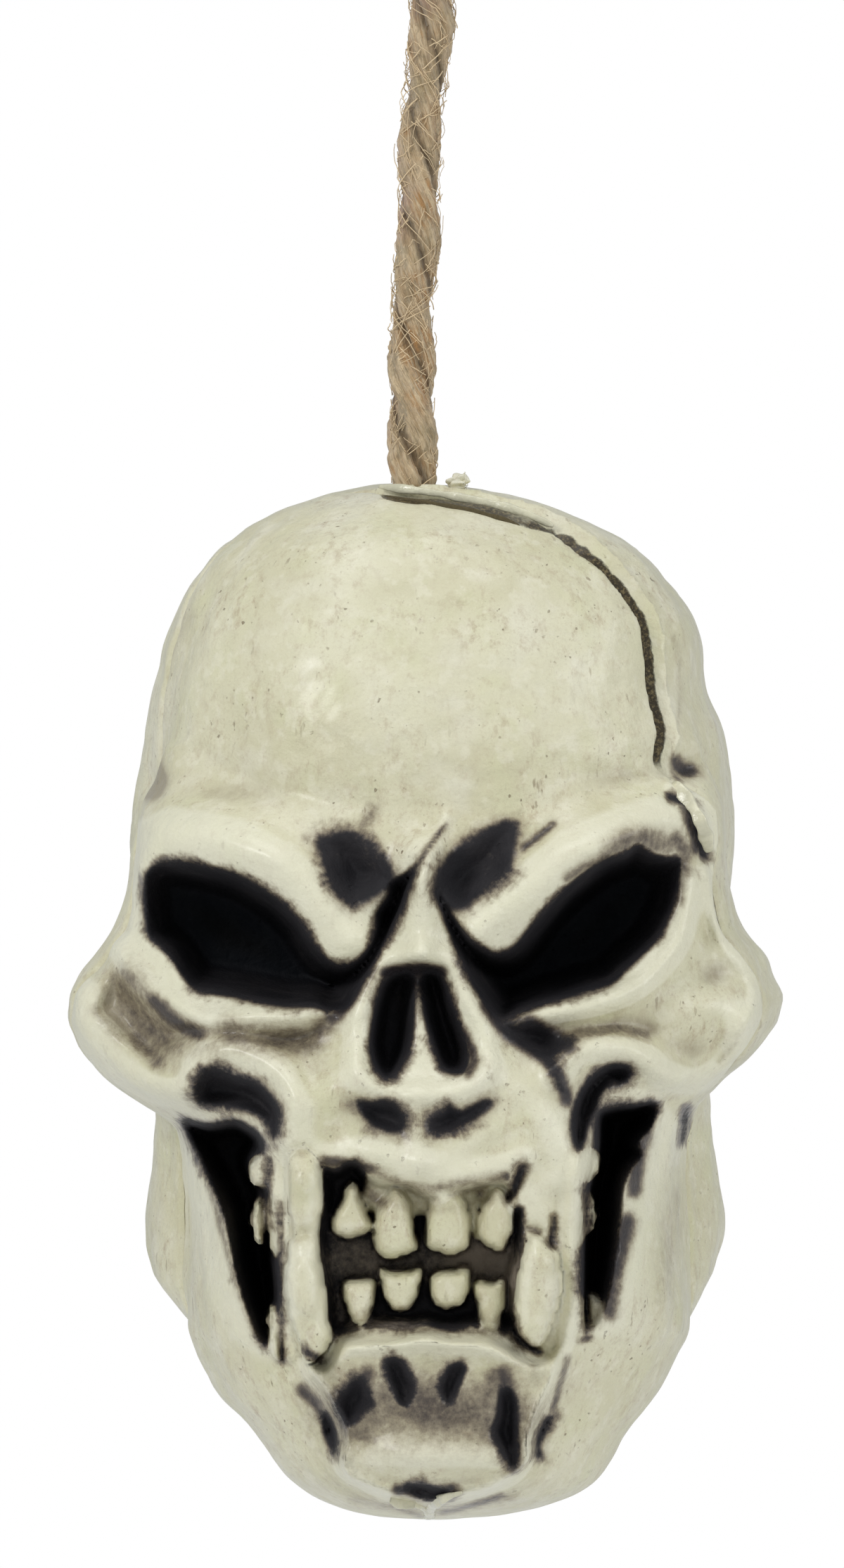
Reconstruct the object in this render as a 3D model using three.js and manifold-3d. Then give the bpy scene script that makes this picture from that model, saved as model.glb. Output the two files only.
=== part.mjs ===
// Hanging skull decoration: a hollow two-part moulded skull on a jute rope with a loop to hang it by.
// Millimetres, +Z up, the face looks along -Y. The origin is the top of the inside of the hanging loop.
import * as THREE from 'three';
import { mergeVertices } from 'three/addons/utils/BufferGeometryUtils.js';
import Module from 'manifold-3d';

const wasm = await Module();
wasm.setup();

// Driving dimensions
const face_width = 82.3;
const skull_height = 118.9;
const skull_depth = 92;
const crown_wall = 2.6;
const rope_diameter = 5;
const loop_height = 38;
const loop_width = 22;
const knot_height = 14;
const knot_width = 13.5;
const shell_gap = 0.3;
const fit_clearance = 0.3;
const overrun = 8;
const weld_distance = 0.0003;

// Rope and knots
const rope_sides = 10;
const strand_gap = 0.8;
const anchor_knot_height = 11;
const anchor_knot_width = 12.5;
const knot_sides = 18;
const loop_steps = 34;
const arc_steps = 8;
const stem_steps = 8;
const tail_steps = 4;
const knot_turns = 2;
const knot_arc_steps = 5;
// The free rope from the crown up to the loop knot: sideways, height above the crown
const rope_route = [
  [-2.2, 0], [-2.3, 3.5], [-2.35, 11.5], [-2.4, 19.5], [-2.1, 24], [-1.7, 28], [-1.55, 32],
  [-1.55, 39.5], [-1.1, 43.5], [-0.6, 48], [-0.25, 52], [-0.2, 56], [-0.1, 60], [0, 63.6],
];

// A leg of the hanging loop, from its knot to the round top: how far it has spread and risen
const leg_shares = [[0, 0], [0.025, 0.058], [0.16, 0.178], [0.457, 0.366], [0.753, 0.589], [0.951, 0.812]];
// The cut end that hangs from the loop knot: backward and height from its start
const tail_route = [[0, 0], [0.3, -3], [1.2, -6.5], [2.6, -10.2], [4.2, -13.8]];
// The end below the knot inside the skull: backward, height from its start
const anchor_tail_route = [[0, 0], [0, -3], [1, -9]];

// Crown hole and the glue beside the rope
const hole_sideways = -1.6;
const hole_land = 1.4;
const hole_chamfer = 0.8;
const glue_width = 4.2;
const glue_depth = 3.4;
const glue_height = 3;
const glue_land = 0.5;

// How finely the surfaces are divided
const head_columns = 62;
const head_rows = 60;
const hollow_columns = 26;
const hollow_rows = 24;
const seam_columns = 26;
const seam_rows = 38;
const blob_columns = 12;
const blob_rows = 8;
const bell_reach = 3;
const curve_steps = 4;
const cast_steps = 70;
const halvings = 13;
const full_turn = 2 * Math.PI;

// Round off of the lofted head above cap_start and below foot_end
const cap_start_share = 0.666;
const foot_end_share = 0.05;
const cap_power = 2.4;
const blend_share = 0.033;
const lip_place_share = 0.005;
const lip_width_share = 0.0135;
const cast_centre_shares = [0.006, 0.043, 0.488];
const view_columns_shares = [
  [0, 0.111, 6], [0.111, 0.181, 8], [0.181, 0.319, 24], [0.319, 0.389, 8], [0.389, 0.5, 6], [0.5, 1, 12],
];
const view_rows_shares = [[0, 0.278, 10], [0.278, 0.544, 22], [0.544, 0.733, 20], [0.733, 1, 8]];

// Sections of the head, bottom to top: height, left edge, right edge, widest depth, front depth, back depth,
// then the powers of the front and back curves. Edges follow face_width, depths follow skull_depth.
const braincase_shares = [
  [0, -0.122, 0.146, 0, -0.087, 0.065, 2.2, 2.2],
  [0.067, -0.182, 0.207, 0.022, -0.13, 0.109, 2.2, 2.2],
  [0.118, -0.243, 0.267, 0.043, -0.152, 0.163, 2.2, 2.2],
  [0.168, -0.31, 0.34, 0.065, -0.152, 0.228, 2.2, 2.2],
  [0.198, -0.348, 0.377, 0.087, -0.141, 0.293, 2.2, 2.2],
  [0.239, -0.39, 0.406, 0.13, -0.12, 0.375, 2.2, 2.2],
  [0.279, -0.4, 0.419, 0.152, -0.109, 0.418, 2.2, 2.2],
  [0.341, -0.388, 0.405, 0.152, -0.13, 0.457, 2.2, 2.2],
  [0.421, -0.38, 0.397, 0.13, -0.217, 0.489, 2.2, 2.2],
  [0.505, -0.395, 0.408, 0.109, -0.304, 0.505, 2.2, 2.2],
  [0.589, -0.411, 0.423, 0.087, -0.37, 0.511, 2.2, 2.2],
  [0.666, -0.417, 0.43, 0.076, -0.389, 0.511, 2.25, 2.2],
  [0.757, -0.405, 0.425, 0.065, -0.391, 0.511, 2.3, 2.2],
  [0.799, -0.405, 0.412, 0.043, -0.389, 0.511, 2.3, 2.2],
  [0.875, -0.417, 0.437, 0.011, -0.386, 0.5, 2.3, 2.2],
  [0.925, -0.428, 0.435, -0.016, -0.386, 0.489, 2.3, 2.2],
  [0.976, -0.44, 0.399, -0.038, -0.386, 0.478, 2.3, 2.2],
  [1.001, -0.413, 0.316, -0.043, -0.38, 0.478, 2.3, 2.2],
];
const mask_shares = [
  [0, -0.168, 0.214, -0.13, -0.337, 0.043, 2.2, 2],
  [0.015, -0.175, 0.221, -0.12, -0.359, 0.065, 2.2, 2],
  [0.035, -0.192, 0.238, -0.109, -0.38, 0.087, 2.2, 2],
  [0.056, -0.216, 0.255, -0.098, -0.396, 0.098, 2.2, 2],
  [0.076, -0.236, 0.272, -0.087, -0.404, 0.109, 2.2, 2],
  [0.097, -0.26, 0.295, -0.076, -0.409, 0.12, 2.2, 2],
  [0.117, -0.289, 0.318, -0.065, -0.412, 0.13, 2.2, 2],
  [0.135, -0.306, 0.334, -0.054, -0.415, 0.141, 2.25, 2],
  [0.16, -0.323, 0.352, -0.043, -0.422, 0.152, 2.3, 2],
  [0.185, -0.334, 0.367, -0.033, -0.433, 0.163, 2.4, 2],
  [0.219, -0.335, 0.365, -0.022, -0.45, 0.163, 2.5, 2],
  [0.278, -0.335, 0.36, -0.011, -0.459, 0.163, 2.5, 2],
  [0.336, -0.34, 0.357, -0.011, -0.463, 0.152, 2.5, 2],
  [0.374, -0.35, 0.362, -0.022, -0.465, 0.13, 2.5, 2],
  [0.401, -0.402, 0.383, -0.043, -0.461, 0.109, 2.4, 2],
  [0.422, -0.445, 0.411, -0.054, -0.454, 0.098, 2.4, 2],
  [0.442, -0.473, 0.445, -0.065, -0.443, 0.092, 2.35, 2],
  [0.463, -0.493, 0.473, -0.076, -0.43, 0.087, 2.3, 2],
  [0.483, -0.502, 0.49, -0.082, -0.42, 0.087, 2.3, 2],
  [0.503, -0.499, 0.497, -0.087, -0.411, 0.087, 2.3, 2],
  [0.524, -0.486, 0.486, -0.092, -0.404, 0.087, 2.3, 2],
  [0.544, -0.464, 0.474, -0.098, -0.4, 0.082, 2.35, 2],
  [0.572, -0.435, 0.44, -0.109, -0.4, 0.065, 2.4, 2],
  [0.606, -0.418, 0.423, -0.12, -0.402, 0.043, 2.5, 2],
  [0.639, -0.408, 0.416, -0.13, -0.402, 0.022, 2.6, 2],
  [0.673, -0.401, 0.408, -0.141, -0.385, 0, 2.5, 2],
  [0.706, -0.389, 0.396, -0.152, -0.342, -0.065, 2.4, 2],
  [0.74, -0.365, 0.371, -0.174, -0.272, -0.13, 2.3, 2],
];
// The hollow inside, in the same columns: the main space and the narrow one behind the teeth
const main_hollow_shares = [
  [0.168, -0.243, 0.273, 0.065, 0.022, 0.13, 2, 2.2],
  [0.202, -0.304, 0.334, 0.076, -0.033, 0.239, 2, 2.2],
  [0.239, -0.343, 0.365, 0.098, -0.057, 0.326, 2.2, 2.2],
  [0.286, -0.36, 0.379, 0.109, -0.057, 0.378, 2.4, 2.2],
  [0.353, -0.348, 0.365, 0.109, -0.057, 0.42, 2.4, 2.2],
  [0.395, -0.34, 0.357, 0.098, -0.071, 0.439, 2.4, 2.2],
  [0.437, -0.345, 0.362, 0.087, -0.13, 0.457, 2.4, 2.2],
  [0.505, -0.36, 0.373, 0.076, -0.137, 0.473, 2.5, 2.2],
  [0.606, -0.377, 0.389, 0.076, -0.137, 0.48, 2.5, 2.2],
  [0.648, -0.382, 0.394, 0.076, -0.163, 0.48, 2.4, 2.2],
  [0.698, -0.377, 0.392, 0.076, -0.304, 0.48, 2.3, 2.2],
  [0.757, -0.371, 0.391, 0.065, -0.359, 0.48, 2.3, 2.2],
  [0.799, -0.371, 0.378, 0.043, -0.359, 0.48, 2.3, 2.2],
  [0.875, -0.383, 0.403, 0.011, -0.357, 0.47, 2.3, 2.2],
  [0.925, -0.394, 0.401, -0.016, -0.357, 0.459, 2.3, 2.2],
  [0.978, -0.389, 0.34, -0.043, -0.354, 0.451, 2.3, 2.2],
];
const muzzle_hollow_shares = [
  [0.059, -0.085, 0.109, -0.152, -0.304, -0.065, 2.2, 2],
  [0.101, -0.122, 0.146, -0.13, -0.326, -0.022, 2.4, 2],
  [0.168, -0.14, 0.152, -0.109, -0.332, 0.087, 2.6, 2],
  [0.252, -0.14, 0.152, -0.109, -0.337, 0.087, 2.6, 2],
  [0.353, -0.14, 0.152, -0.109, -0.337, 0.087, 2.6, 2],
  [0.421, -0.109, 0.115, -0.109, -0.293, 0.065, 2.6, 2],
  [0.463, -0.061, 0.061, -0.109, -0.196, 0.043, 2.6, 2],
];
// Where the two shells meet: height, depth at the left, middle and right, then where the sides begin and end
const seam_shares = [
  [0, 0, 0, 0, 0.243, 0.365],
  [0.336, 0, 0, 0, 0.292, 0.377],
  [0.387, -0.011, -0.011, -0.011, 0.328, 0.401],
  [0.421, -0.12, -0.087, -0.141, 0.352, 0.413],
  [0.454, -0.152, -0.107, -0.239, 0.352, 0.413],
  [0.505, -0.185, -0.107, -0.234, 0.365, 0.425],
  [0.555, -0.201, -0.107, -0.266, 0.365, 0.419],
  [0.614, -0.185, -0.107, -0.272, 0.358, 0.401],
  [0.656, -0.152, -0.104, -0.25, 0.316, 0.377],
  [0.723, -0.109, -0.13, -0.255, 0.097, 0.316],
  [0.782, -0.098, -0.158, -0.234, 0, 0.316],
  [0.858, -0.092, -0.163, -0.217, 0, 0.292],
  [0.925, -0.087, -0.163, -0.201, 0, 0.219],
  [0.967, -0.087, -0.161, -0.174, 0, 0.158],
  [1.001, -0.087, -0.159, -0.159, 0, 0.146],
];

// Raised ridges of the face, each along a line of points
const ridge_shares = {
  left_brow: { height: 0.0457, width: 0.0269, line: [
    [-0.412, 0.642], [-0.375, 0.662], [-0.312, 0.663], [-0.243, 0.649], [-0.189, 0.625], [-0.15, 0.595],
    [-0.114, 0.564]] },
  right_brow: { height: 0.0457, width: 0.0269, line: [
    [0.384, 0.676], [0.33, 0.68], [0.267, 0.667], [0.208, 0.649], [0.154, 0.619], [0.105, 0.591],
    [0.071, 0.572]] },
  frown: { height: 0.0087, width: 0.0076, line: [
    [-0.016, 0.61], [-0.004, 0.633], [0.01, 0.655], [0.025, 0.678]] },
  left_socket_rim: { height: 0.0261, width: 0.0126, line: [
    [-0.431, 0.554], [-0.4, 0.522], [-0.363, 0.501], [-0.312, 0.484], [-0.253, 0.486], [-0.192, 0.488],
    [-0.155, 0.495]] },
  right_socket_rim: { height: 0.0261, width: 0.0126, line: [
    [0.374, 0.619], [0.36, 0.574], [0.333, 0.541], [0.291, 0.515], [0.237, 0.499], [0.178, 0.491],
    [0.134, 0.483]] },
  left_cheek_bar: { height: 0.0326, width: 0.0177, line: [
    [-0.49, 0.507], [-0.476, 0.471], [-0.439, 0.44], [-0.385, 0.418], [-0.339, 0.418], [-0.312, 0.442],
    [-0.28, 0.457], [-0.238, 0.449], [-0.202, 0.434], [-0.188, 0.408], [-0.196, 0.374]] },
  right_cheek_bar: { height: 0.0326, width: 0.0177, line: [
    [0.178, 0.435], [0.214, 0.457], [0.267, 0.459], [0.301, 0.448], [0.335, 0.432], [0.379, 0.427],
    [0.423, 0.449], [0.443, 0.483]] },
  nose_bridge: { height: 0.0391, width: 0.0185, line: [
    [-0.002, 0.642], [-0.006, 0.598], [-0.01, 0.551]] },
  nose_rim: { height: 0.0207, width: 0.0135, line: [
    [-0.012, 0.547], [-0.062, 0.536], [-0.09, 0.503], [-0.1, 0.466], [-0.094, 0.432], [-0.055, 0.414],
    [-0.014, 0.416], [0.036, 0.416], [0.08, 0.435], [0.074, 0.475], [0.049, 0.509], [0.027, 0.54],
    [-0.012, 0.547]] },
  muzzle: { height: 0.0174, width: 0.0235, line: [
    [-0.106, 0.435], [-0.15, 0.402], [-0.169, 0.361]] },
  right_muzzle: { height: 0.0174, width: 0.0235, line: [
    [0.096, 0.435], [0.141, 0.408], [0.178, 0.374], [0.194, 0.34]] },
  gum: { height: 0.013, width: 0.0143, line: [
    [-0.135, 0.354], [-0.076, 0.353], [-0.027, 0.343], [0.031, 0.335], [0.09, 0.343], [0.129, 0.354]] },
  philtrum: { height: 0.0065, width: 0.0118, line: [
    [-0.012, 0.408], [-0.016, 0.381], [-0.01, 0.354]] },
  lip_left: { height: 0.0065, width: 0.0135, line: [
    [-0.106, 0.371], [-0.062, 0.361], [-0.023, 0.354]] },
  lip_right: { height: 0.0065, width: 0.0135, line: [
    [-0.003, 0.351], [0.051, 0.364], [0.095, 0.388]] },
};
const swelling_shares = {
  left_forehead: { height: 0.013, centre: [-0.204, 0.836], radii: [0.186, 0.136] },
  right_cheek_ball: { height: 0.0217, centre: [0.414, 0.496], radii: [0.051, 0.042] },
  left_cheek_ball: { height: 0.0152, centre: [-0.473, 0.49], radii: [0.045, 0.045] },
  nose: { height: 0.0196, centre: [-0.012, 0.49], radii: [0.093, 0.081] },
  muzzle_block: { height: 0.0087, centre: [0.004, 0.364], radii: [0.147, 0.051] },
  brow_left_dip: { height: -0.0076, centre: [-0.272, 0.703], radii: [0.108, 0.018] },
  brow_right_dip: { height: -0.0076, centre: [0.247, 0.72], radii: [0.108, 0.018] },
  temple_left: { height: -0.0152, centre: [-0.392, 0.714], radii: [0.025, 0.041] },
};
// Sunk places, each inside a rim: a depth below the face, or a floor at one depth of the head
const hollow_shares = {
  left_frown_pit: { depth: 0.0283, edge: 0.0336, rim: [
    [-0.155, 0.657], [-0.135, 0.663], [-0.11, 0.666], [-0.086, 0.659], [-0.067, 0.646], [-0.051, 0.632],
    [-0.047, 0.616], [-0.067, 0.604], [-0.088, 0.596], [-0.106, 0.593], [-0.125, 0.602], [-0.139, 0.616],
    [-0.145, 0.632]] },
  right_frown_pit: { depth: 0.0283, edge: 0.0336, rim: [
    [0.008, 0.618], [0.02, 0.635], [0.036, 0.648], [0.064, 0.661], [0.093, 0.672], [0.118, 0.676],
    [0.126, 0.667], [0.123, 0.652], [0.117, 0.634], [0.107, 0.62], [0.086, 0.609], [0.067, 0.599],
    [0.051, 0.59], [0.031, 0.59], [0.014, 0.602]] },
  left_eye: { floor: -0.163, edge: 0.0269, lip: 0.0087, rim: [
    [-0.392, 0.624], [-0.372, 0.636], [-0.345, 0.637], [-0.308, 0.633], [-0.261, 0.624], [-0.223, 0.609],
    [-0.197, 0.596], [-0.171, 0.577], [-0.159, 0.563], [-0.145, 0.549], [-0.127, 0.539], [-0.108, 0.539],
    [-0.086, 0.551], [-0.074, 0.572], [-0.072, 0.587], [-0.056, 0.604], [-0.051, 0.617], [-0.032, 0.625],
    [-0.012, 0.635], [-0.022, 0.613], [-0.033, 0.591], [-0.049, 0.568], [-0.063, 0.551], [-0.076, 0.533],
    [-0.096, 0.511], [-0.11, 0.495], [-0.137, 0.492], [-0.159, 0.496], [-0.197, 0.496], [-0.241, 0.501],
    [-0.275, 0.506], [-0.319, 0.511], [-0.339, 0.524], [-0.36, 0.545], [-0.387, 0.562], [-0.394, 0.581],
    [-0.397, 0.604]] },
  right_eye: { floor: -0.163, edge: 0.0269, lip: 0.0087, rim: [
    [0.056, 0.566], [0.076, 0.555], [0.097, 0.549], [0.119, 0.556], [0.144, 0.577], [0.161, 0.591],
    [0.186, 0.609], [0.216, 0.626], [0.242, 0.638], [0.27, 0.645], [0.291, 0.653], [0.309, 0.645],
    [0.329, 0.641], [0.349, 0.64], [0.351, 0.625], [0.345, 0.598], [0.334, 0.579], [0.321, 0.562],
    [0.296, 0.544], [0.275, 0.531], [0.255, 0.518], [0.223, 0.511], [0.186, 0.503], [0.165, 0.499],
    [0.133, 0.491], [0.106, 0.483], [0.09, 0.488], [0.074, 0.503], [0.055, 0.524], [0.039, 0.551],
    [0.021, 0.582], [0.006, 0.609], [0.016, 0.61], [0.031, 0.59]] },
  left_nostril: { depth: 0.087, edge: 0.0151, rim: [
    [-0.018, 0.528], [-0.041, 0.532], [-0.063, 0.522], [-0.073, 0.503], [-0.079, 0.479], [-0.082, 0.456],
    [-0.073, 0.436], [-0.056, 0.426], [-0.04, 0.433], [-0.024, 0.453], [-0.018, 0.483]] },
  right_nostril: { depth: 0.087, edge: 0.0151, rim: [
    [-0.01, 0.528], [0.012, 0.533], [0.027, 0.52], [0.039, 0.496], [0.051, 0.472], [0.059, 0.452],
    [0.051, 0.434], [0.029, 0.433], [0.014, 0.442], [0.001, 0.469], [-0.008, 0.496]] },
  left_lip_pit: { depth: 0.0196, edge: 0.0135, rim: [
    [-0.1, 0.408], [-0.075, 0.408], [-0.05, 0.41], [-0.032, 0.396], [-0.029, 0.383], [-0.042, 0.376],
    [-0.067, 0.38], [-0.086, 0.389]] },
  right_lip_pit: { depth: 0.0196, edge: 0.0135, rim: [
    [0.027, 0.407], [0.043, 0.399], [0.067, 0.406], [0.084, 0.41], [0.091, 0.404], [0.073, 0.393],
    [0.055, 0.385], [0.031, 0.376], [0.008, 0.375], [-0.002, 0.383], [0.002, 0.392], [0.019, 0.398]] },
  left_cheek: { depth: 0.0326, edge: 0.0219, rim: [
    [-0.433, 0.536], [-0.41, 0.52], [-0.381, 0.503], [-0.348, 0.485], [-0.302, 0.475], [-0.325, 0.462],
    [-0.359, 0.446], [-0.378, 0.438], [-0.398, 0.442], [-0.421, 0.456], [-0.447, 0.473], [-0.468, 0.491],
    [-0.457, 0.517]] },
  left_under_rim: { depth: 0.0174, edge: 0.0151, rim: [
    [-0.284, 0.479], [-0.233, 0.476], [-0.177, 0.479], [-0.135, 0.486], [-0.155, 0.463], [-0.198, 0.452],
    [-0.234, 0.46], [-0.268, 0.469]] },
  left_jaw_notch: { depth: 0.0457, edge: 0.0168, rim: [
    [-0.321, 0.429], [-0.297, 0.441], [-0.263, 0.433], [-0.234, 0.426], [-0.209, 0.408], [-0.2, 0.395],
    [-0.207, 0.375], [-0.215, 0.37], [-0.227, 0.387], [-0.251, 0.396], [-0.291, 0.4], [-0.319, 0.403],
    [-0.324, 0.415]] },
  right_fold: { depth: 0.0217, edge: 0.0135, rim: [
    [0.074, 0.505], [0.106, 0.483], [0.135, 0.484], [0.159, 0.48], [0.183, 0.469], [0.21, 0.468],
    [0.194, 0.457], [0.178, 0.448], [0.182, 0.43], [0.192, 0.414], [0.178, 0.418], [0.165, 0.441],
    [0.133, 0.457], [0.102, 0.473]] },
  right_jaw_notch: { depth: 0.0457, edge: 0.0143, rim: [
    [0.253, 0.443], [0.279, 0.441], [0.284, 0.431], [0.268, 0.421], [0.253, 0.421], [0.24, 0.411],
    [0.233, 0.396], [0.223, 0.381], [0.217, 0.365], [0.208, 0.358], [0.198, 0.371], [0.198, 0.396],
    [0.21, 0.418], [0.228, 0.433]] },
  mouth: { floor: -0.375, edge: 0.0126, rim: [
    [-0.151, 0.346], [-0.128, 0.343], [-0.116, 0.349], [-0.096, 0.35], [-0.078, 0.336], [-0.056, 0.331],
    [-0.024, 0.328], [-0.004, 0.32], [0.016, 0.316], [0.036, 0.323], [0.059, 0.328], [0.084, 0.331],
    [0.106, 0.332], [0.118, 0.32], [0.118, 0.307], [0.132, 0.305], [0.132, 0.283], [0.131, 0.259],
    [0.124, 0.232], [0.122, 0.208], [0.12, 0.191], [0.104, 0.185], [0.09, 0.189], [0.062, 0.191],
    [0.036, 0.187], [0.012, 0.189], [-0.004, 0.192], [-0.028, 0.189], [-0.059, 0.19], [-0.091, 0.189],
    [-0.117, 0.184], [-0.132, 0.18], [-0.141, 0.194], [-0.144, 0.216], [-0.151, 0.243], [-0.156, 0.277],
    [-0.147, 0.3], [-0.149, 0.324]] },
  left_gap: { floor: -0.087, edge: 0.0202, rim: [
    [-0.345, 0.387], [-0.305, 0.385], [-0.268, 0.389], [-0.246, 0.383], [-0.228, 0.372], [-0.225, 0.359],
    [-0.235, 0.344], [-0.214, 0.313], [-0.204, 0.252], [-0.202, 0.212], [-0.216, 0.174], [-0.235, 0.178],
    [-0.263, 0.232], [-0.284, 0.296], [-0.317, 0.344]] },
  right_gap: { floor: -0.087, edge: 0.0202, rim: [
    [0.231, 0.393], [0.253, 0.402], [0.282, 0.404], [0.319, 0.404], [0.312, 0.381], [0.294, 0.366],
    [0.298, 0.354], [0.282, 0.34], [0.27, 0.32], [0.267, 0.293], [0.259, 0.252], [0.247, 0.212],
    [0.233, 0.191], [0.212, 0.195], [0.21, 0.273], [0.214, 0.313], [0.227, 0.354]] },
};
const plate_shares = {
  chin_plate: { height: 0.0543, edge: 0.0101, rim: [
    [-0.172, 0.16], [-0.144, 0.157], [-0.119, 0.179], [-0.091, 0.182], [-0.054, 0.184], [-0.004, 0.189],
    [0.031, 0.185], [0.071, 0.184], [0.1, 0.178], [0.129, 0.166], [0.154, 0.161], [0.188, 0.174],
    [0.184, 0.144], [0.162, 0.11], [0.15, 0.084], [0.15, 0.066], [0.139, 0.053], [0.109, 0.038],
    [0.084, 0.029], [0.047, 0.023], [0.017, 0.015], [-0.01, 0.015], [-0.054, 0.024], [-0.091, 0.033],
    [-0.116, 0.042], [-0.126, 0.054], [-0.128, 0.068], [-0.122, 0.083], [-0.125, 0.098], [-0.135, 0.111],
    [-0.151, 0.129], [-0.169, 0.146]] },
};
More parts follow.
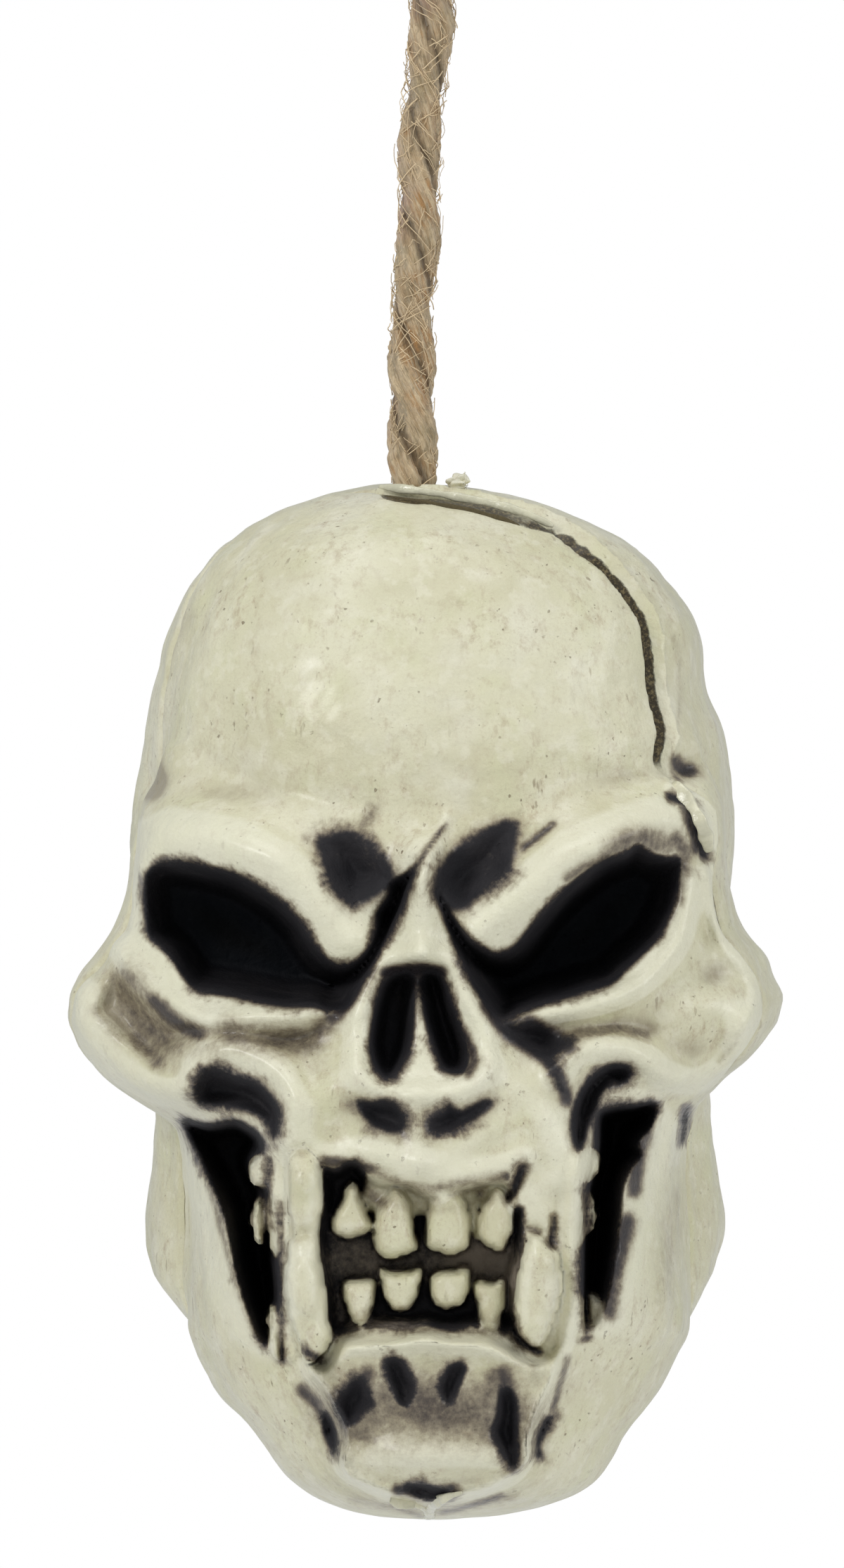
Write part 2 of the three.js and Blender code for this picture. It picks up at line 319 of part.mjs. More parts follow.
const tooth_shares = {
  gum_upper: { face: -0.4283, bulge: 0.0174, edge: 0.0084, rim: [
    [-0.094, 0.312], [-0.09, 0.324], [-0.082, 0.338], [-0.059, 0.343], [-0.024, 0.34], [-0.002, 0.338],
    [0.031, 0.338], [0.071, 0.34], [0.096, 0.338], [0.112, 0.33], [0.118, 0.319], [0.114, 0.303],
    [0.08, 0.305], [0.059, 0.298], [0.031, 0.3], [-0.002, 0.298], [-0.018, 0.297], [-0.047, 0.297],
    [-0.071, 0.297]] },
  upper_1: { face: -0.463, bulge: 0.0283, edge: 0.0109, rim: [
    [-0.112, 0.328], [-0.096, 0.328], [-0.093, 0.315], [-0.087, 0.305], [-0.081, 0.295], [-0.074, 0.288],
    [-0.08, 0.283], [-0.096, 0.277], [-0.117, 0.276], [-0.13, 0.28], [-0.133, 0.291], [-0.127, 0.303],
    [-0.118, 0.313]] },
  upper_2: { face: -0.4696, bulge: 0.0304, edge: 0.0118, rim: [
    [-0.045, 0.324], [-0.031, 0.317], [-0.024, 0.305], [-0.02, 0.291], [-0.016, 0.277], [-0.014, 0.266],
    [-0.029, 0.26], [-0.046, 0.256], [-0.064, 0.258], [-0.073, 0.266], [-0.076, 0.277], [-0.074, 0.29],
    [-0.069, 0.303], [-0.057, 0.315]] },
  upper_3: { face: -0.4696, bulge: 0.0304, edge: 0.0118, rim: [
    [0.007, 0.316], [0.014, 0.322], [0.034, 0.323], [0.048, 0.315], [0.055, 0.303], [0.058, 0.286],
    [0.057, 0.269], [0.045, 0.262], [0.029, 0.26], [0.012, 0.263], [-0.003, 0.268], [-0.004, 0.284],
    [0, 0.3]] },
  upper_4: { face: -0.463, bulge: 0.0283, edge: 0.0109, rim: [
    [0.093, 0.325], [0.109, 0.315], [0.118, 0.303], [0.118, 0.284], [0.111, 0.275], [0.108, 0.267],
    [0.097, 0.263], [0.083, 0.267], [0.073, 0.273], [0.069, 0.282], [0.07, 0.294], [0.075, 0.307],
    [0.084, 0.315]] },
  upper_side: { face: -0.4348, bulge: 0.013, edge: 0.005, rim: [
    [0.06, 0.311], [0.068, 0.311], [0.068, 0.286], [0.065, 0.271], [0.06, 0.286]] },
  lower_1: { face: -0.4522, bulge: 0.0261, edge: 0.0093, rim: [
    [-0.116, 0.234], [-0.094, 0.236], [-0.073, 0.235], [-0.073, 0.22], [-0.077, 0.206], [-0.086, 0.195],
    [-0.096, 0.193], [-0.106, 0.198], [-0.114, 0.214], [-0.119, 0.225]] },
  lower_2: { face: -0.4565, bulge: 0.0261, edge: 0.0093, rim: [
    [-0.066, 0.246], [-0.049, 0.243], [-0.031, 0.244], [-0.009, 0.246], [-0.01, 0.234], [-0.013, 0.222],
    [-0.02, 0.213], [-0.03, 0.206], [-0.043, 0.205], [-0.055, 0.213], [-0.062, 0.225]] },
  lower_3: { face: -0.4565, bulge: 0.0261, edge: 0.0093, rim: [
    [0.005, 0.239], [0.022, 0.245], [0.039, 0.246], [0.058, 0.245], [0.058, 0.231], [0.053, 0.218],
    [0.042, 0.21], [0.022, 0.208], [0.008, 0.214], [0.003, 0.228]] },
  lower_4: { face: -0.4522, bulge: 0.0261, edge: 0.0093, rim: [
    [0.061, 0.232], [0.074, 0.235], [0.089, 0.233], [0.104, 0.236], [0.108, 0.225], [0.108, 0.213],
    [0.102, 0.2], [0.096, 0.189], [0.084, 0.189], [0.073, 0.195], [0.069, 0.208], [0.065, 0.22]] },
  left_stub: { face: -0.4848, bulge: 0.0261, edge: 0.0185, rim: [
    [-0.192, 0.354], [-0.171, 0.362], [-0.149, 0.346], [-0.146, 0.329], [-0.145, 0.312], [-0.149, 0.294],
    [-0.154, 0.281], [-0.184, 0.281], [-0.19, 0.294], [-0.194, 0.312], [-0.195, 0.33]] },
  stub_lump: { face: -0.4913, bulge: 0.0152, edge: 0.0135, rim: [
    [-0.186, 0.34], [-0.165, 0.347], [-0.151, 0.335], [-0.153, 0.32], [-0.171, 0.313], [-0.186, 0.321]] },
  left_fang: { face: -0.4837, bulge: 0.0283, edge: 0.0202, rim: [
    [-0.184, 0.284], [-0.155, 0.284], [-0.148, 0.254], [-0.141, 0.225], [-0.138, 0.199], [-0.131, 0.184],
    [-0.137, 0.174], [-0.153, 0.16], [-0.169, 0.157], [-0.183, 0.182], [-0.194, 0.208], [-0.198, 0.234],
    [-0.194, 0.26]] },
  fang_lump: { face: -0.4924, bulge: 0.013, edge: 0.0151, rim: [
    [-0.19, 0.246], [-0.172, 0.259], [-0.155, 0.248], [-0.149, 0.225], [-0.157, 0.201], [-0.176, 0.203],
    [-0.188, 0.221]] },
  right_fang: { face: -0.4837, bulge: 0.0283, edge: 0.0202, rim: [
    [0.144, 0.279], [0.162, 0.272], [0.177, 0.26], [0.181, 0.243], [0.182, 0.225], [0.177, 0.208],
    [0.168, 0.19], [0.154, 0.172], [0.141, 0.174], [0.123, 0.187], [0.121, 0.199], [0.121, 0.216],
    [0.123, 0.234], [0.128, 0.25], [0.134, 0.265]] },
  left_molar_1: { face: -0.3804, bulge: 0.0239, edge: 0.0076, rim: [
    [-0.247, 0.346], [-0.237, 0.353], [-0.225, 0.353], [-0.219, 0.34], [-0.225, 0.324], [-0.241, 0.324],
    [-0.249, 0.335]] },
  left_molar_6: { face: -0.3859, bulge: 0.0239, edge: 0.0076, rim: [
    [-0.218, 0.353], [-0.204, 0.35], [-0.196, 0.338], [-0.2, 0.32], [-0.216, 0.317], [-0.221, 0.334]] },
  left_molar_2: { face: -0.3587, bulge: 0.0239, edge: 0.0067, rim: [
    [-0.242, 0.305], [-0.231, 0.313], [-0.225, 0.289], [-0.228, 0.266], [-0.239, 0.27], [-0.246, 0.288]] },
  left_molar_3: { face: -0.3696, bulge: 0.0239, edge: 0.0067, rim: [
    [-0.223, 0.312], [-0.21, 0.313], [-0.205, 0.288], [-0.208, 0.259], [-0.219, 0.263], [-0.224, 0.288]] },
  left_molar_4: { face: -0.3804, bulge: 0.0239, edge: 0.0067, rim: [
    [-0.202, 0.309], [-0.189, 0.303], [-0.185, 0.283], [-0.19, 0.262], [-0.201, 0.26], [-0.203, 0.286]] },
  left_molar_5: { face: -0.3696, bulge: 0.0239, edge: 0.0067, rim: [
    [-0.223, 0.202], [-0.214, 0.21], [-0.206, 0.194], [-0.202, 0.16], [-0.214, 0.16], [-0.222, 0.18]] },
  left_molar_7: { face: -0.3761, bulge: 0.0239, edge: 0.0067, rim: [
    [-0.204, 0.209], [-0.194, 0.203], [-0.183, 0.183], [-0.176, 0.159], [-0.196, 0.155], [-0.202, 0.18]] },
  right_molar_1: { face: -0.3804, bulge: 0.0239, edge: 0.0076, rim: [
    [0.21, 0.354], [0.227, 0.359], [0.24, 0.351], [0.237, 0.338], [0.223, 0.331], [0.21, 0.335]] },
  right_molar_2: { face: -0.3804, bulge: 0.0239, edge: 0.0067, rim: [
    [0.2, 0.316], [0.21, 0.319], [0.219, 0.303], [0.221, 0.283], [0.212, 0.27], [0.2, 0.27]] },
  right_molar_3: { face: -0.3587, bulge: 0.0217, edge: 0.0059, rim: [
    [0.221, 0.319], [0.229, 0.315], [0.236, 0.296], [0.231, 0.281], [0.223, 0.279], [0.222, 0.3]] },
  right_molar_4: { face: -0.3696, bulge: 0.0239, edge: 0.0067, rim: [
    [0.202, 0.217], [0.212, 0.218], [0.219, 0.201], [0.216, 0.18], [0.202, 0.18]] },
  right_molar_5: { face: -0.3587, bulge: 0.0239, edge: 0.0067, rim: [
    [0.221, 0.218], [0.233, 0.221], [0.245, 0.203], [0.237, 0.183], [0.225, 0.184], [0.221, 0.201]] },
};
const chin_hollow_shares = {
  chin_pit_1: { depth: 0.0283, edge: 0.0168, rim: [
    [-0.096, 0.147], [-0.082, 0.139], [-0.075, 0.127], [-0.071, 0.115], [-0.086, 0.107], [-0.104, 0.094],
    [-0.119, 0.099], [-0.128, 0.111], [-0.13, 0.121], [-0.117, 0.133]] },
  chin_pit_2: { depth: 0.0283, edge: 0.0135, rim: [
    [-0.061, 0.158], [-0.049, 0.164], [-0.033, 0.16], [-0.023, 0.149], [-0.015, 0.136], [-0.018, 0.123],
    [-0.028, 0.114], [-0.041, 0.117], [-0.05, 0.129], [-0.057, 0.14]] },
  chin_pit_3: { depth: 0.0239, edge: 0.0126, rim: [
    [0.029, 0.156], [0.047, 0.159], [0.055, 0.152], [0.048, 0.139], [0.04, 0.123], [0.029, 0.114],
    [0.019, 0.121], [0.013, 0.134], [0.021, 0.148]] },
  chin_pit_4: { depth: 0.0326, edge: 0.0151, rim: [
    [0.097, 0.13], [0.109, 0.137], [0.121, 0.129], [0.127, 0.115], [0.127, 0.098], [0.127, 0.075],
    [0.126, 0.06], [0.116, 0.054], [0.103, 0.066], [0.091, 0.08], [0.085, 0.092], [0.093, 0.109]] },
  chin_left_hollow: { depth: 0.0261, edge: 0.0101, rim: [
    [-0.148, 0.111], [-0.135, 0.106], [-0.125, 0.09], [-0.123, 0.077], [-0.127, 0.066], [-0.139, 0.076],
    [-0.147, 0.093]] },
  chin_right_hollow: { depth: 0.0239, edge: 0.0084, rim: [
    [0.161, 0.102], [0.176, 0.103], [0.165, 0.088], [0.157, 0.076], [0.159, 0.064], [0.149, 0.066],
    [0.15, 0.085]] },
  chin_notch: { depth: 0.0283, edge: 0.0101, rim: [
    [-0.041, 0.037], [-0.018, 0.043], [0.012, 0.039], [0.037, 0.034], [0.031, 0.026], [-0.002, 0.024],
    [-0.027, 0.03]] },
};
const edge_ridge_shares = {
  muzzle_edge: { height: 0.0196, width: 0.0076, line: [
    [0.21, 0.357], [0.202, 0.312], [0.199, 0.274], [0.204, 0.225], [0.196, 0.191], [0.186, 0.154]] },
  chin_lip: { height: 0.013, width: 0.0109, line: [
    [-0.165, 0.156], [-0.135, 0.164], [-0.106, 0.174], [-0.054, 0.178], [0.003, 0.18], [0.071, 0.176],
    [0.12, 0.167], [0.157, 0.157]] },
  chin_rim_left: { height: 0.0174, width: 0.0084, line: [
    [-0.159, 0.144], [-0.135, 0.121], [-0.116, 0.095], [-0.114, 0.069], [-0.116, 0.052], [-0.086, 0.038],
    [-0.051, 0.028]] },
  chin_rim_right: { height: 0.0174, width: 0.0084, line: [
    [0.183, 0.147], [0.159, 0.115], [0.141, 0.085], [0.139, 0.066], [0.12, 0.046], [0.08, 0.034],
    [0.031, 0.024]] },
  chin_boss: { height: 0.0196, width: 0.0168, line: [
    [-0.106, 0.062], [-0.047, 0.068], [0.031, 0.068], [0.09, 0.065]] },
  seam_lip_cheek: { height: 0.0152, width: 0.0067, line: [
    [0.339, 0.709], [0.376, 0.68], [0.392, 0.645], [0.39, 0.612], [0.398, 0.577], [0.428, 0.543],
    [0.451, 0.52], [0.453, 0.492], [0.423, 0.456]] },
};

// Small sums
const clamp = (v, lo, hi) => Math.min(Math.max(v, lo), hi);

function smoothstep(a, b, v) {
  const t = clamp((v - a) / (b - a), 0, 1);
  return t * t * (3 - 2 * t);
}

function blended_least(a, b, k) {
  const h = clamp(0.5 + (0.5 * (b - a)) / k, 0, 1);
  return b + (a - b) * h - k * h * (1 - h);
}

// A smooth line through the rows of a table, one column against the first, that never overshoots
function column_line(rows, column) {
  const secants = rows.slice(1).map((row, i) => (row[column] - rows[i][column]) / (row[0] - rows[i][0]));
  const slopes = rows.map((row, i) => {
    if (i === 0) return secants[0];
    if (i === rows.length - 1) return secants[i - 1];
    const [a, b] = [secants[i - 1], secants[i]];
    return a * b <= 0 ? 0 : (2 * a * b) / (a + b);
  });
  return (at) => {
    const s = clamp(at, rows[0][0], rows[rows.length - 1][0]);
    let i = 0;
    while (i < rows.length - 2 && s > rows[i + 1][0]) i += 1;
    const h = rows[i + 1][0] - rows[i][0];
    const t = (s - rows[i][0]) / h;
    const [t2, t3] = [t * t, t * t * t];
    return (2 * t3 - 3 * t2 + 1) * rows[i][column] + (t3 - 2 * t2 + t) * h * slopes[i]
      + (3 * t2 - 2 * t3) * rows[i + 1][column] + (t3 - t2) * h * slopes[i + 1];
  };
}

// A lofted mass: its front and back depth at a place, or null outside its outline
function loft(rows, top_share, foot_share, foot_start_share) {
  const line = [1, 2, 3, 4, 5, 6, 7].map((column) => column_line(rows, column));
  return (x, z) => {
    const s = z / skull_height;
    if (s <= rows[0][0] || s >= rows[rows.length - 1][0]) return null;
    const up = clamp((s - cap_start_share) / (top_share - cap_start_share), 0, 1);
    const down = clamp((foot_start_share - s) / (foot_start_share - foot_share), 0, 1);
    const cap = (1 - up ** cap_power) ** (1 / cap_power) * (1 - down ** cap_power) ** (1 / cap_power);
    const [left, right] = [line[0](s) * cap * face_width, line[1](s) * cap * face_width];
    const reach = Math.abs(x - (left + right) / 2) / Math.max((right - left) / 2, Number.EPSILON);
    if (reach >= 1) return null;
    const widest = line[2](s) * skull_depth;
    const front = line[3](s) * skull_depth;
    const back = line[4](s) * skull_depth;
    const [front_power, back_power] = [line[5](s), line[6](s)];
    return [
      widest + (front - widest) * cap * (1 - reach ** front_power) ** (1 / front_power),
      widest + (back - widest) * cap * (1 - reach ** back_power) ** (1 / back_power),
    ];
  };
}

// A smooth curve through points given as shares of the face's width and the skull's height
function curve_points(shares, closed) {
  const p = shares.map(([x, z]) => [x * face_width, z * skull_height]);
  const spline = new THREE.CatmullRomCurve3(
    p.map(([x, z]) => new THREE.Vector3(x, 0, z)), closed, 'catmullrom', 0.5);
  const count = (closed ? p.length : p.length - 1) * curve_steps;
  const points = [];
  for (let i = 0; i <= count; i += 1) points.push(spline.getPoint(i / count));
  return points.map((v) => [v.x, v.z]);
}

// Distance to a curve, negative inside a closed one, or null further off than the reach
function distance_to(points, closed, reach) {
  const xs = points.map((p) => p[0]);
  const zs = points.map((p) => p[1]);
  const box = [Math.min(...xs) - reach, Math.max(...xs) + reach, Math.min(...zs) - reach, Math.max(...zs) + reach];
  return (x, z) => {
    if (x < box[0] || x > box[1] || z < box[2] || z > box[3]) return null;
    let best = Infinity;
    let inside = false;
    for (let i = 0; i < points.length - 1; i += 1) {
      const [ax, az] = points[i];
      const [ex, ez] = [points[i + 1][0] - ax, points[i + 1][1] - az];
      const t = clamp(((x - ax) * ex + (z - az) * ez) / (ex * ex + ez * ez || 1), 0, 1);
      best = Math.min(best, (x - ax - t * ex) ** 2 + (z - az - t * ez) ** 2);
      if (closed && az > z !== az + ez > z && x < ax + ((z - az) * ex) / ez) inside = !inside;
    }
    return inside ? -Math.sqrt(best) : Math.sqrt(best);
  };
}

// Each of these returns a step that moves the face's depth at a place
function ridge_step({ line, height, width }) {
  const reach = width * skull_height;
  const distance = distance_to(curve_points(line, false), false, bell_reach * reach);
  return (x, z, y) => {
    const d = distance(x, z);
    return d === null ? y : y - height * skull_depth * Math.exp(-((d / reach) ** 2));
  };
}

function swelling_step({ centre, radii, height }) {
  return (x, z, y) => {
    const u = (x / face_width - centre[0]) / radii[0];
    const v = (z / skull_height - centre[1]) / radii[1];
    return y - height * skull_depth * Math.exp(-(u * u + v * v));
  };
}

function hollow_step({ rim, depth, floor, edge, lip = 0 }) {
  const lip_width = lip_width_share * skull_height;
  const distance = distance_to(curve_points(rim, true), true, bell_reach * lip_width);
  return (x, z, y) => {
    const d = distance(x, z);
    if (d === null) return y;
    const raised = y - lip * skull_depth * Math.exp(-(((d - lip_place_share * skull_height) / lip_width) ** 2));
    const sunk = smoothstep(0, edge * skull_height, -d);
    if (floor === undefined) return raised + depth * skull_depth * sunk;
    return raised + Math.max(floor * skull_depth - raised, 0) * sunk;
  };
}

function plate_step({ rim, height, edge }) {
  const distance = distance_to(curve_points(rim, true), true, 0);
  return (x, z, y) => {
    const d = distance(x, z);
    return d === null ? y : y - height * skull_depth * smoothstep(0, edge * skull_height, -d);
  };
}

function tooth_step({ rim, face, bulge, edge }) {
  const distance = distance_to(curve_points(rim, true), true, 0);
  return (x, z, y) => {
    const d = distance(x, z);
    if (d === null || d >= 0) return y;
    const inward = clamp(-d / (edge * skull_height), 0, 1);
    return Math.min(y, (face + bulge * (1 - Math.sqrt(1 - (1 - inward) ** 2))) * skull_depth);
  };
}

const face_steps = [
  ...Object.values(ridge_shares).map(ridge_step),
  ...Object.values(swelling_shares).map(swelling_step),
  ...Object.values(hollow_shares).map(hollow_step),
  ...Object.values(plate_shares).map(plate_step),
  ...Object.values(tooth_shares).map(tooth_step),
  ...Object.values(chin_hollow_shares).map(hollow_step),
  ...Object.values(edge_ridge_shares).map(ridge_step),
];

// The head's outside: true where a point lies in it
const wall_share = crown_wall / skull_height;
const braincase = loft(braincase_shares, 1, 0, foot_end_share);
const mask = loft(mask_shares, 1, 0, foot_end_share);
const blend = blend_share * skull_depth;

function in_head(x, y, z) {
  const [b, m] = [braincase(x, z), mask(x, z)];
  if (!b && !m) return false;
  const back = b && m ? -blended_least(-b[1], -m[1], blend) : (b ?? m)[1];
  if (y > back) return false;
  const front = b && m ? blended_least(b[0], m[0], blend) : (b ?? m)[0];
  return y >= face_steps.reduce((depth, step) => step(x, z, depth), front);
}

const main_hollow = loft(main_hollow_shares, 1 - wall_share, wall_share, foot_end_share);
const muzzle_hollow = loft(muzzle_hollow_shares, 1, 0, foot_end_share);

function in_hollow(x, y, z) {
  const spans = [main_hollow(x, z), muzzle_hollow(x, z)];
  return spans.some((span) => span !== null && y >= span[0] && y <= span[1]);
}

// Angle along a row or column of the ball, close together where the face has detail
function spread(spans, part) {
  const total = spans.reduce((sum, span) => sum + span[2], 0);
  let steps = part * total;
  for (const [from, to, count] of spans) {
    if (steps <= count) return from + ((to - from) * steps) / count;
    steps -= count;
  }
  return 1;
}

const even_spans = [[0, 1, 1]];

// A ball whose points are moved out or in along their rays until they lie on the surface
function cast_ball(columns, rows, column_spans, row_spans, inside) {
  const ball = new THREE.SphereGeometry(1, columns, rows);
  const place = ball.attributes.position;
  const centre = [
    cast_centre_shares[0] * face_width, cast_centre_shares[1] * skull_depth, cast_centre_shares[2] * skull_height,
  ];
  for (let i = 0; i < place.count; i += 1) {
    const turn = spread(column_spans, (i % (columns + 1)) / columns) % 1;
    const tilt = spread(row_spans, Math.floor(i / (columns + 1)) / rows);
    const flat = tilt === 0 || tilt === 1 ? 0 : Math.sin(tilt * Math.PI);
    const ray = [-Math.cos(turn * full_turn) * flat, -Math.sin(turn * full_turn) * flat, Math.cos(tilt * Math.PI)];
    const at = (t) => ray.map((r, k) => centre[k] + r * t);
    let outer = skull_height;
    const pace = outer / cast_steps;
    while (outer > pace && !inside(...at(outer - pace))) outer -= pace;
    let inner = outer - pace;
    for (let k = 0; k < halvings; k += 1) {
      const middle = (inner + outer) / 2;
      if (inside(...at(middle))) inner = middle;
      else outer = middle;
    }
    place.setXYZ(i, ...at(inner));
  }
  return ball;
}

// Geometry to solid and back
function solid(geometry) {
  const bare = geometry.index ? geometry.clone() : geometry;
  bare.deleteAttribute('normal');
  bare.deleteAttribute('uv');
  const merged = mergeVertices(bare, weld_distance);
  return new wasm.Manifold(new wasm.Mesh({
    numProp: 3,
    vertProperties: new Float32Array(merged.attributes.position.array),
    triVerts: new Uint32Array(merged.index.array),
  }));
}

function geometry_of(body) {
  const mesh = body.getMesh();
  const geometry = new THREE.BufferGeometry();
  geometry.setAttribute('position', new THREE.BufferAttribute(mesh.vertProperties, mesh.numProp));
  geometry.setIndex(new THREE.BufferAttribute(mesh.triVerts, 1));
  geometry.computeVertexNormals();
  return geometry;
}

// A block whose one face is the seam surface, set back by half the gap
const seam_line = [1, 2, 3, 4, 5].map((column) => column_line(seam_shares, column));

function seam_depth(x, z) {
  const [left, middle, right, inner, outer] = seam_line.map((line) => line(z / skull_height));
  const to_left = smoothstep(inner, outer, -x / face_width);
  const to_right = smoothstep(inner, outer, x / face_width);
  return (middle + (left - middle) * to_left + (right - middle) * to_right) * skull_depth;
}

// All that lies in front of the seam, moved back or forward by a distance square to it
function front_block(offset) {
  const [width, height] = [face_width + 2 * overrun, skull_height + 2 * overrun];
  const block = new THREE.BoxGeometry(width, skull_depth, height, seam_columns, 1, seam_rows);
  block.translate(0, 0, skull_height / 2);
  const place = block.attributes.position;
  const near = shell_gap;
  for (let i = 0; i < place.count; i += 1) {
    const [x, z] = [place.getX(i), place.getZ(i)];
    const depth = seam_depth(x, z);
    const slope = Math.hypot(seam_depth(x + near, z) - depth, seam_depth(x, z + near) - depth) / near;
    place.setY(i, place.getY(i) > 0 ? depth + offset * Math.hypot(1, slope) : -skull_depth);
  }
  return solid(block);
}

// The rope's hole through the crown
const hole_radius = rope_diameter / 2 + fit_clearance;
const hole_mouth = hole_radius + hole_chamfer;
const hole_depth_place = seam_depth(hole_sideways, skull_height) + hole_mouth + hole_land;
const glue_offset = hole_mouth + glue_land + glue_width / 2;

function crown_height() {
  let [low, high] = [skull_height / 2, skull_height];
  for (let k = 0; k < 2 * halvings; k += 1) {
    const middle = (low + high) / 2;
    if (in_head(hole_sideways, hole_depth_place, middle)) low = middle;
    else high = middle;
  }
  return low;
}

const crown_z = crown_height();

function crown_hole() {
  const profile = [
    new THREE.Vector2(0, -overrun),
    new THREE.Vector2(hole_radius, -overrun),
    new THREE.Vector2(hole_radius, -hole_chamfer),
    new THREE.Vector2(hole_mouth + overrun, overrun),
    new THREE.Vector2(0, overrun),
  ];
  const tool = new THREE.LatheGeometry(profile, knot_sides);
  tool.rotateX(Math.PI / 2);
  tool.translate(hole_sideways, hole_depth_place, crown_z);
  return solid(tool);
}

// The two shells
const head = solid(cast_ball(head_columns, head_rows, view_columns_shares, view_rows_shares, in_head));
const hollow = solid(cast_ball(hollow_columns, hollow_rows, even_spans, even_spans, in_hollow));
const shell = head.subtract(hollow).subtract(crown_hole());
const front_shell = shell.intersect(front_block(-shell_gap / 2));
const rear_shell = shell.subtract(front_block(shell_gap / 2));

// The glue blob lies on the crown beside the rope
function glue_blob() {
  const blob = new THREE.SphereGeometry(1, blob_columns, blob_rows);
  blob.scale(glue_width / 2, glue_depth / 2, glue_height / 2);
  blob.rotateX(Math.PI / 2);
  blob.translate(hole_sideways + glue_offset, hole_depth_place, crown_z);
  return solid(blob).subtract(head.translate(0, 0, fit_clearance));
}

// Ropes: a round section drawn along a smooth line
function section_points(radius) {
  const points = [];
  for (let i = 0; i < rope_sides; i += 1) {
    const turn = (i / rope_sides) * full_turn;
    points.push(new THREE.Vector2(radius * Math.cos(turn), radius * Math.sin(turn)));
  }
  return points;
}

function rope_along(points, steps) {
  const path = new THREE.CatmullRomCurve3(points.map((p) => new THREE.Vector3(...p)), false, 'centripetal');
  return new THREE.ExtrudeGeometry(new THREE.Shape(section_points(rope_diameter / 2)), {
    extrudePath: path, steps, bevelEnabled: false,
  });
}

// The hanging loop: two legs rise from the knot and meet in half a circle
function loop_points() {
  const half_gap = (rope_diameter + strand_gap) / 2;
  const arc_radius = loop_width / 2;
  const arc_height = rope_diameter / 2 - arc_radius;
  const foot = fit_clearance - loop_height;
  const leg = leg_shares.map(([spread_share, rise_share]) => [
    half_gap + spread_share * (arc_radius - half_gap), 0, foot + rise_share * (arc_height - foot),
  ]);
  const points = leg.map(([x, y, z]) => [-x, y, z]);
  for (let i = 0; i <= arc_steps; i += 1) {
    const turn = (i / arc_steps) * Math.PI;
    points.push([-arc_radius * Math.cos(turn), 0, arc_height + arc_radius * Math.sin(turn)]);
  }
  return [...points, ...leg.reverse()];
}

const end_radius = rope_diameter / 2;
const stem_length = rope_route[rope_route.length - 1][1];
const knot_foot = -(loop_height + knot_height);
const stem_top = knot_foot - fit_clearance - end_radius;
const stem_foot = stem_top - stem_length;

// The stem has round ends, centred where the rope bends at the crown and at the loop knot
function rope_stem() {
  const route = rope_route.map(([x, z]) => [x, 0, stem_foot + z]);
  const ball = ([x, y, z]) => {
    const end = new THREE.SphereGeometry(end_radius, rope_sides, rope_sides);
    end.rotateX(Math.PI / 2);
    end.translate(x, y, z);
    return solid(end);
  };
  return solid(rope_along(route, stem_steps)).add(ball(route[0])).add(ball(route[route.length - 1]));
}

// A knot: turns of rope wound close round the standing parts
function knot(width, height) {
  const core = width / 2 - rope_diameter / 2;
  const turn_height = height / knot_turns;
  const points = [new THREE.Vector2(0, 0)];
  for (let turn = 0; turn < knot_turns; turn += 1) {
    for (let k = turn === 0 ? 0 : 1; k <= knot_arc_steps; k += 1) {
      const angle = (k / knot_arc_steps - 0.5) * Math.PI;
      points.push(new THREE.Vector2(
        core + (rope_diameter / 2) * Math.cos(angle),
        (turn + 0.5) * turn_height + (turn_height / 2) * Math.sin(angle),
      ));
    }
  }
  points.push(new THREE.Vector2(0, height));
  const body = new THREE.LatheGeometry(points, knot_sides);
  body.rotateX(Math.PI / 2);
  return body;
}

// How high the hollow reaches over one place of the skull
function ceiling_over(x, y) {
  let [low, high] = [skull_height / 2, skull_height];
  for (let k = 0; k < 2 * halvings; k += 1) {
    const middle = (low + high) / 2;
    if (in_hollow(x, y, middle)) low = middle;
    else high = middle;
  }
  return low;
}

// The object, each body with its own group
const object = new THREE.Group();

function finish(color, roughness) {
  return new THREE.MeshStandardMaterial({ color, roughness, metalness: 0 });
}

const bone = finish(0xdcd9be, 0.42);
const jute = finish(0xa98a68, 0.95);
const dried_glue = finish(0xe9e8df, 0.35);

function add_piece(parent, name, geometry, material, place = [0, 0, 0]) {
  const mesh = new THREE.Mesh(geometry, material);
  mesh.name = name;
  mesh.position.set(...place);
  parent.add(mesh);
}

const tail_start = rope_diameter + strand_gap / 2;
const tail_points = tail_route.map(([y, z]) => [0, tail_start + y, knot_foot - fit_clearance + z]);
add_piece(object, 'hanging_loop', rope_along(loop_points(), loop_steps), jute);
add_piece(object, 'loop_knot', knot(knot_width, knot_height), jute, [0, 0, knot_foot]);
add_piece(object, 'rope_tail', rope_along(tail_points, tail_steps), jute);
add_piece(object, 'rope_stem', geometry_of(rope_stem()), jute);

const skull = new THREE.Group();
skull.position.set(rope_route[0][0] - hole_sideways, -hole_depth_place, stem_foot - crown_z);
object.add(skull);
add_piece(skull, 'front_shell', geometry_of(front_shell), bone);
add_piece(skull, 'rear_shell', geometry_of(rear_shell), bone);
add_piece(skull, 'crown_glue', geometry_of(glue_blob()), dried_glue);

const anchor_seat = anchor_knot_width / 2;
const ceiling = Math.min(...[[1, 0], [-1, 0], [0, 1], [0, -1]].map(
  ([x, y]) => ceiling_over(hole_sideways + x * anchor_seat, hole_depth_place + y * anchor_seat)));
const anchor_top = Math.min(ceiling, crown_z - end_radius) - fit_clearance;
const anchor_foot = anchor_top - anchor_knot_height;
const anchor_tail_points = anchor_tail_route.map(
  ([y, z]) => [hole_sideways, hole_depth_place + y, anchor_foot - fit_clearance + z]);
add_piece(skull, 'anchor_knot', knot(anchor_knot_width, anchor_knot_height), jute,
  [hole_sideways, hole_depth_place, anchor_foot]);
add_piece(skull, 'anchor_tail', rope_along(anchor_tail_points, tail_steps), jute);

export default object;
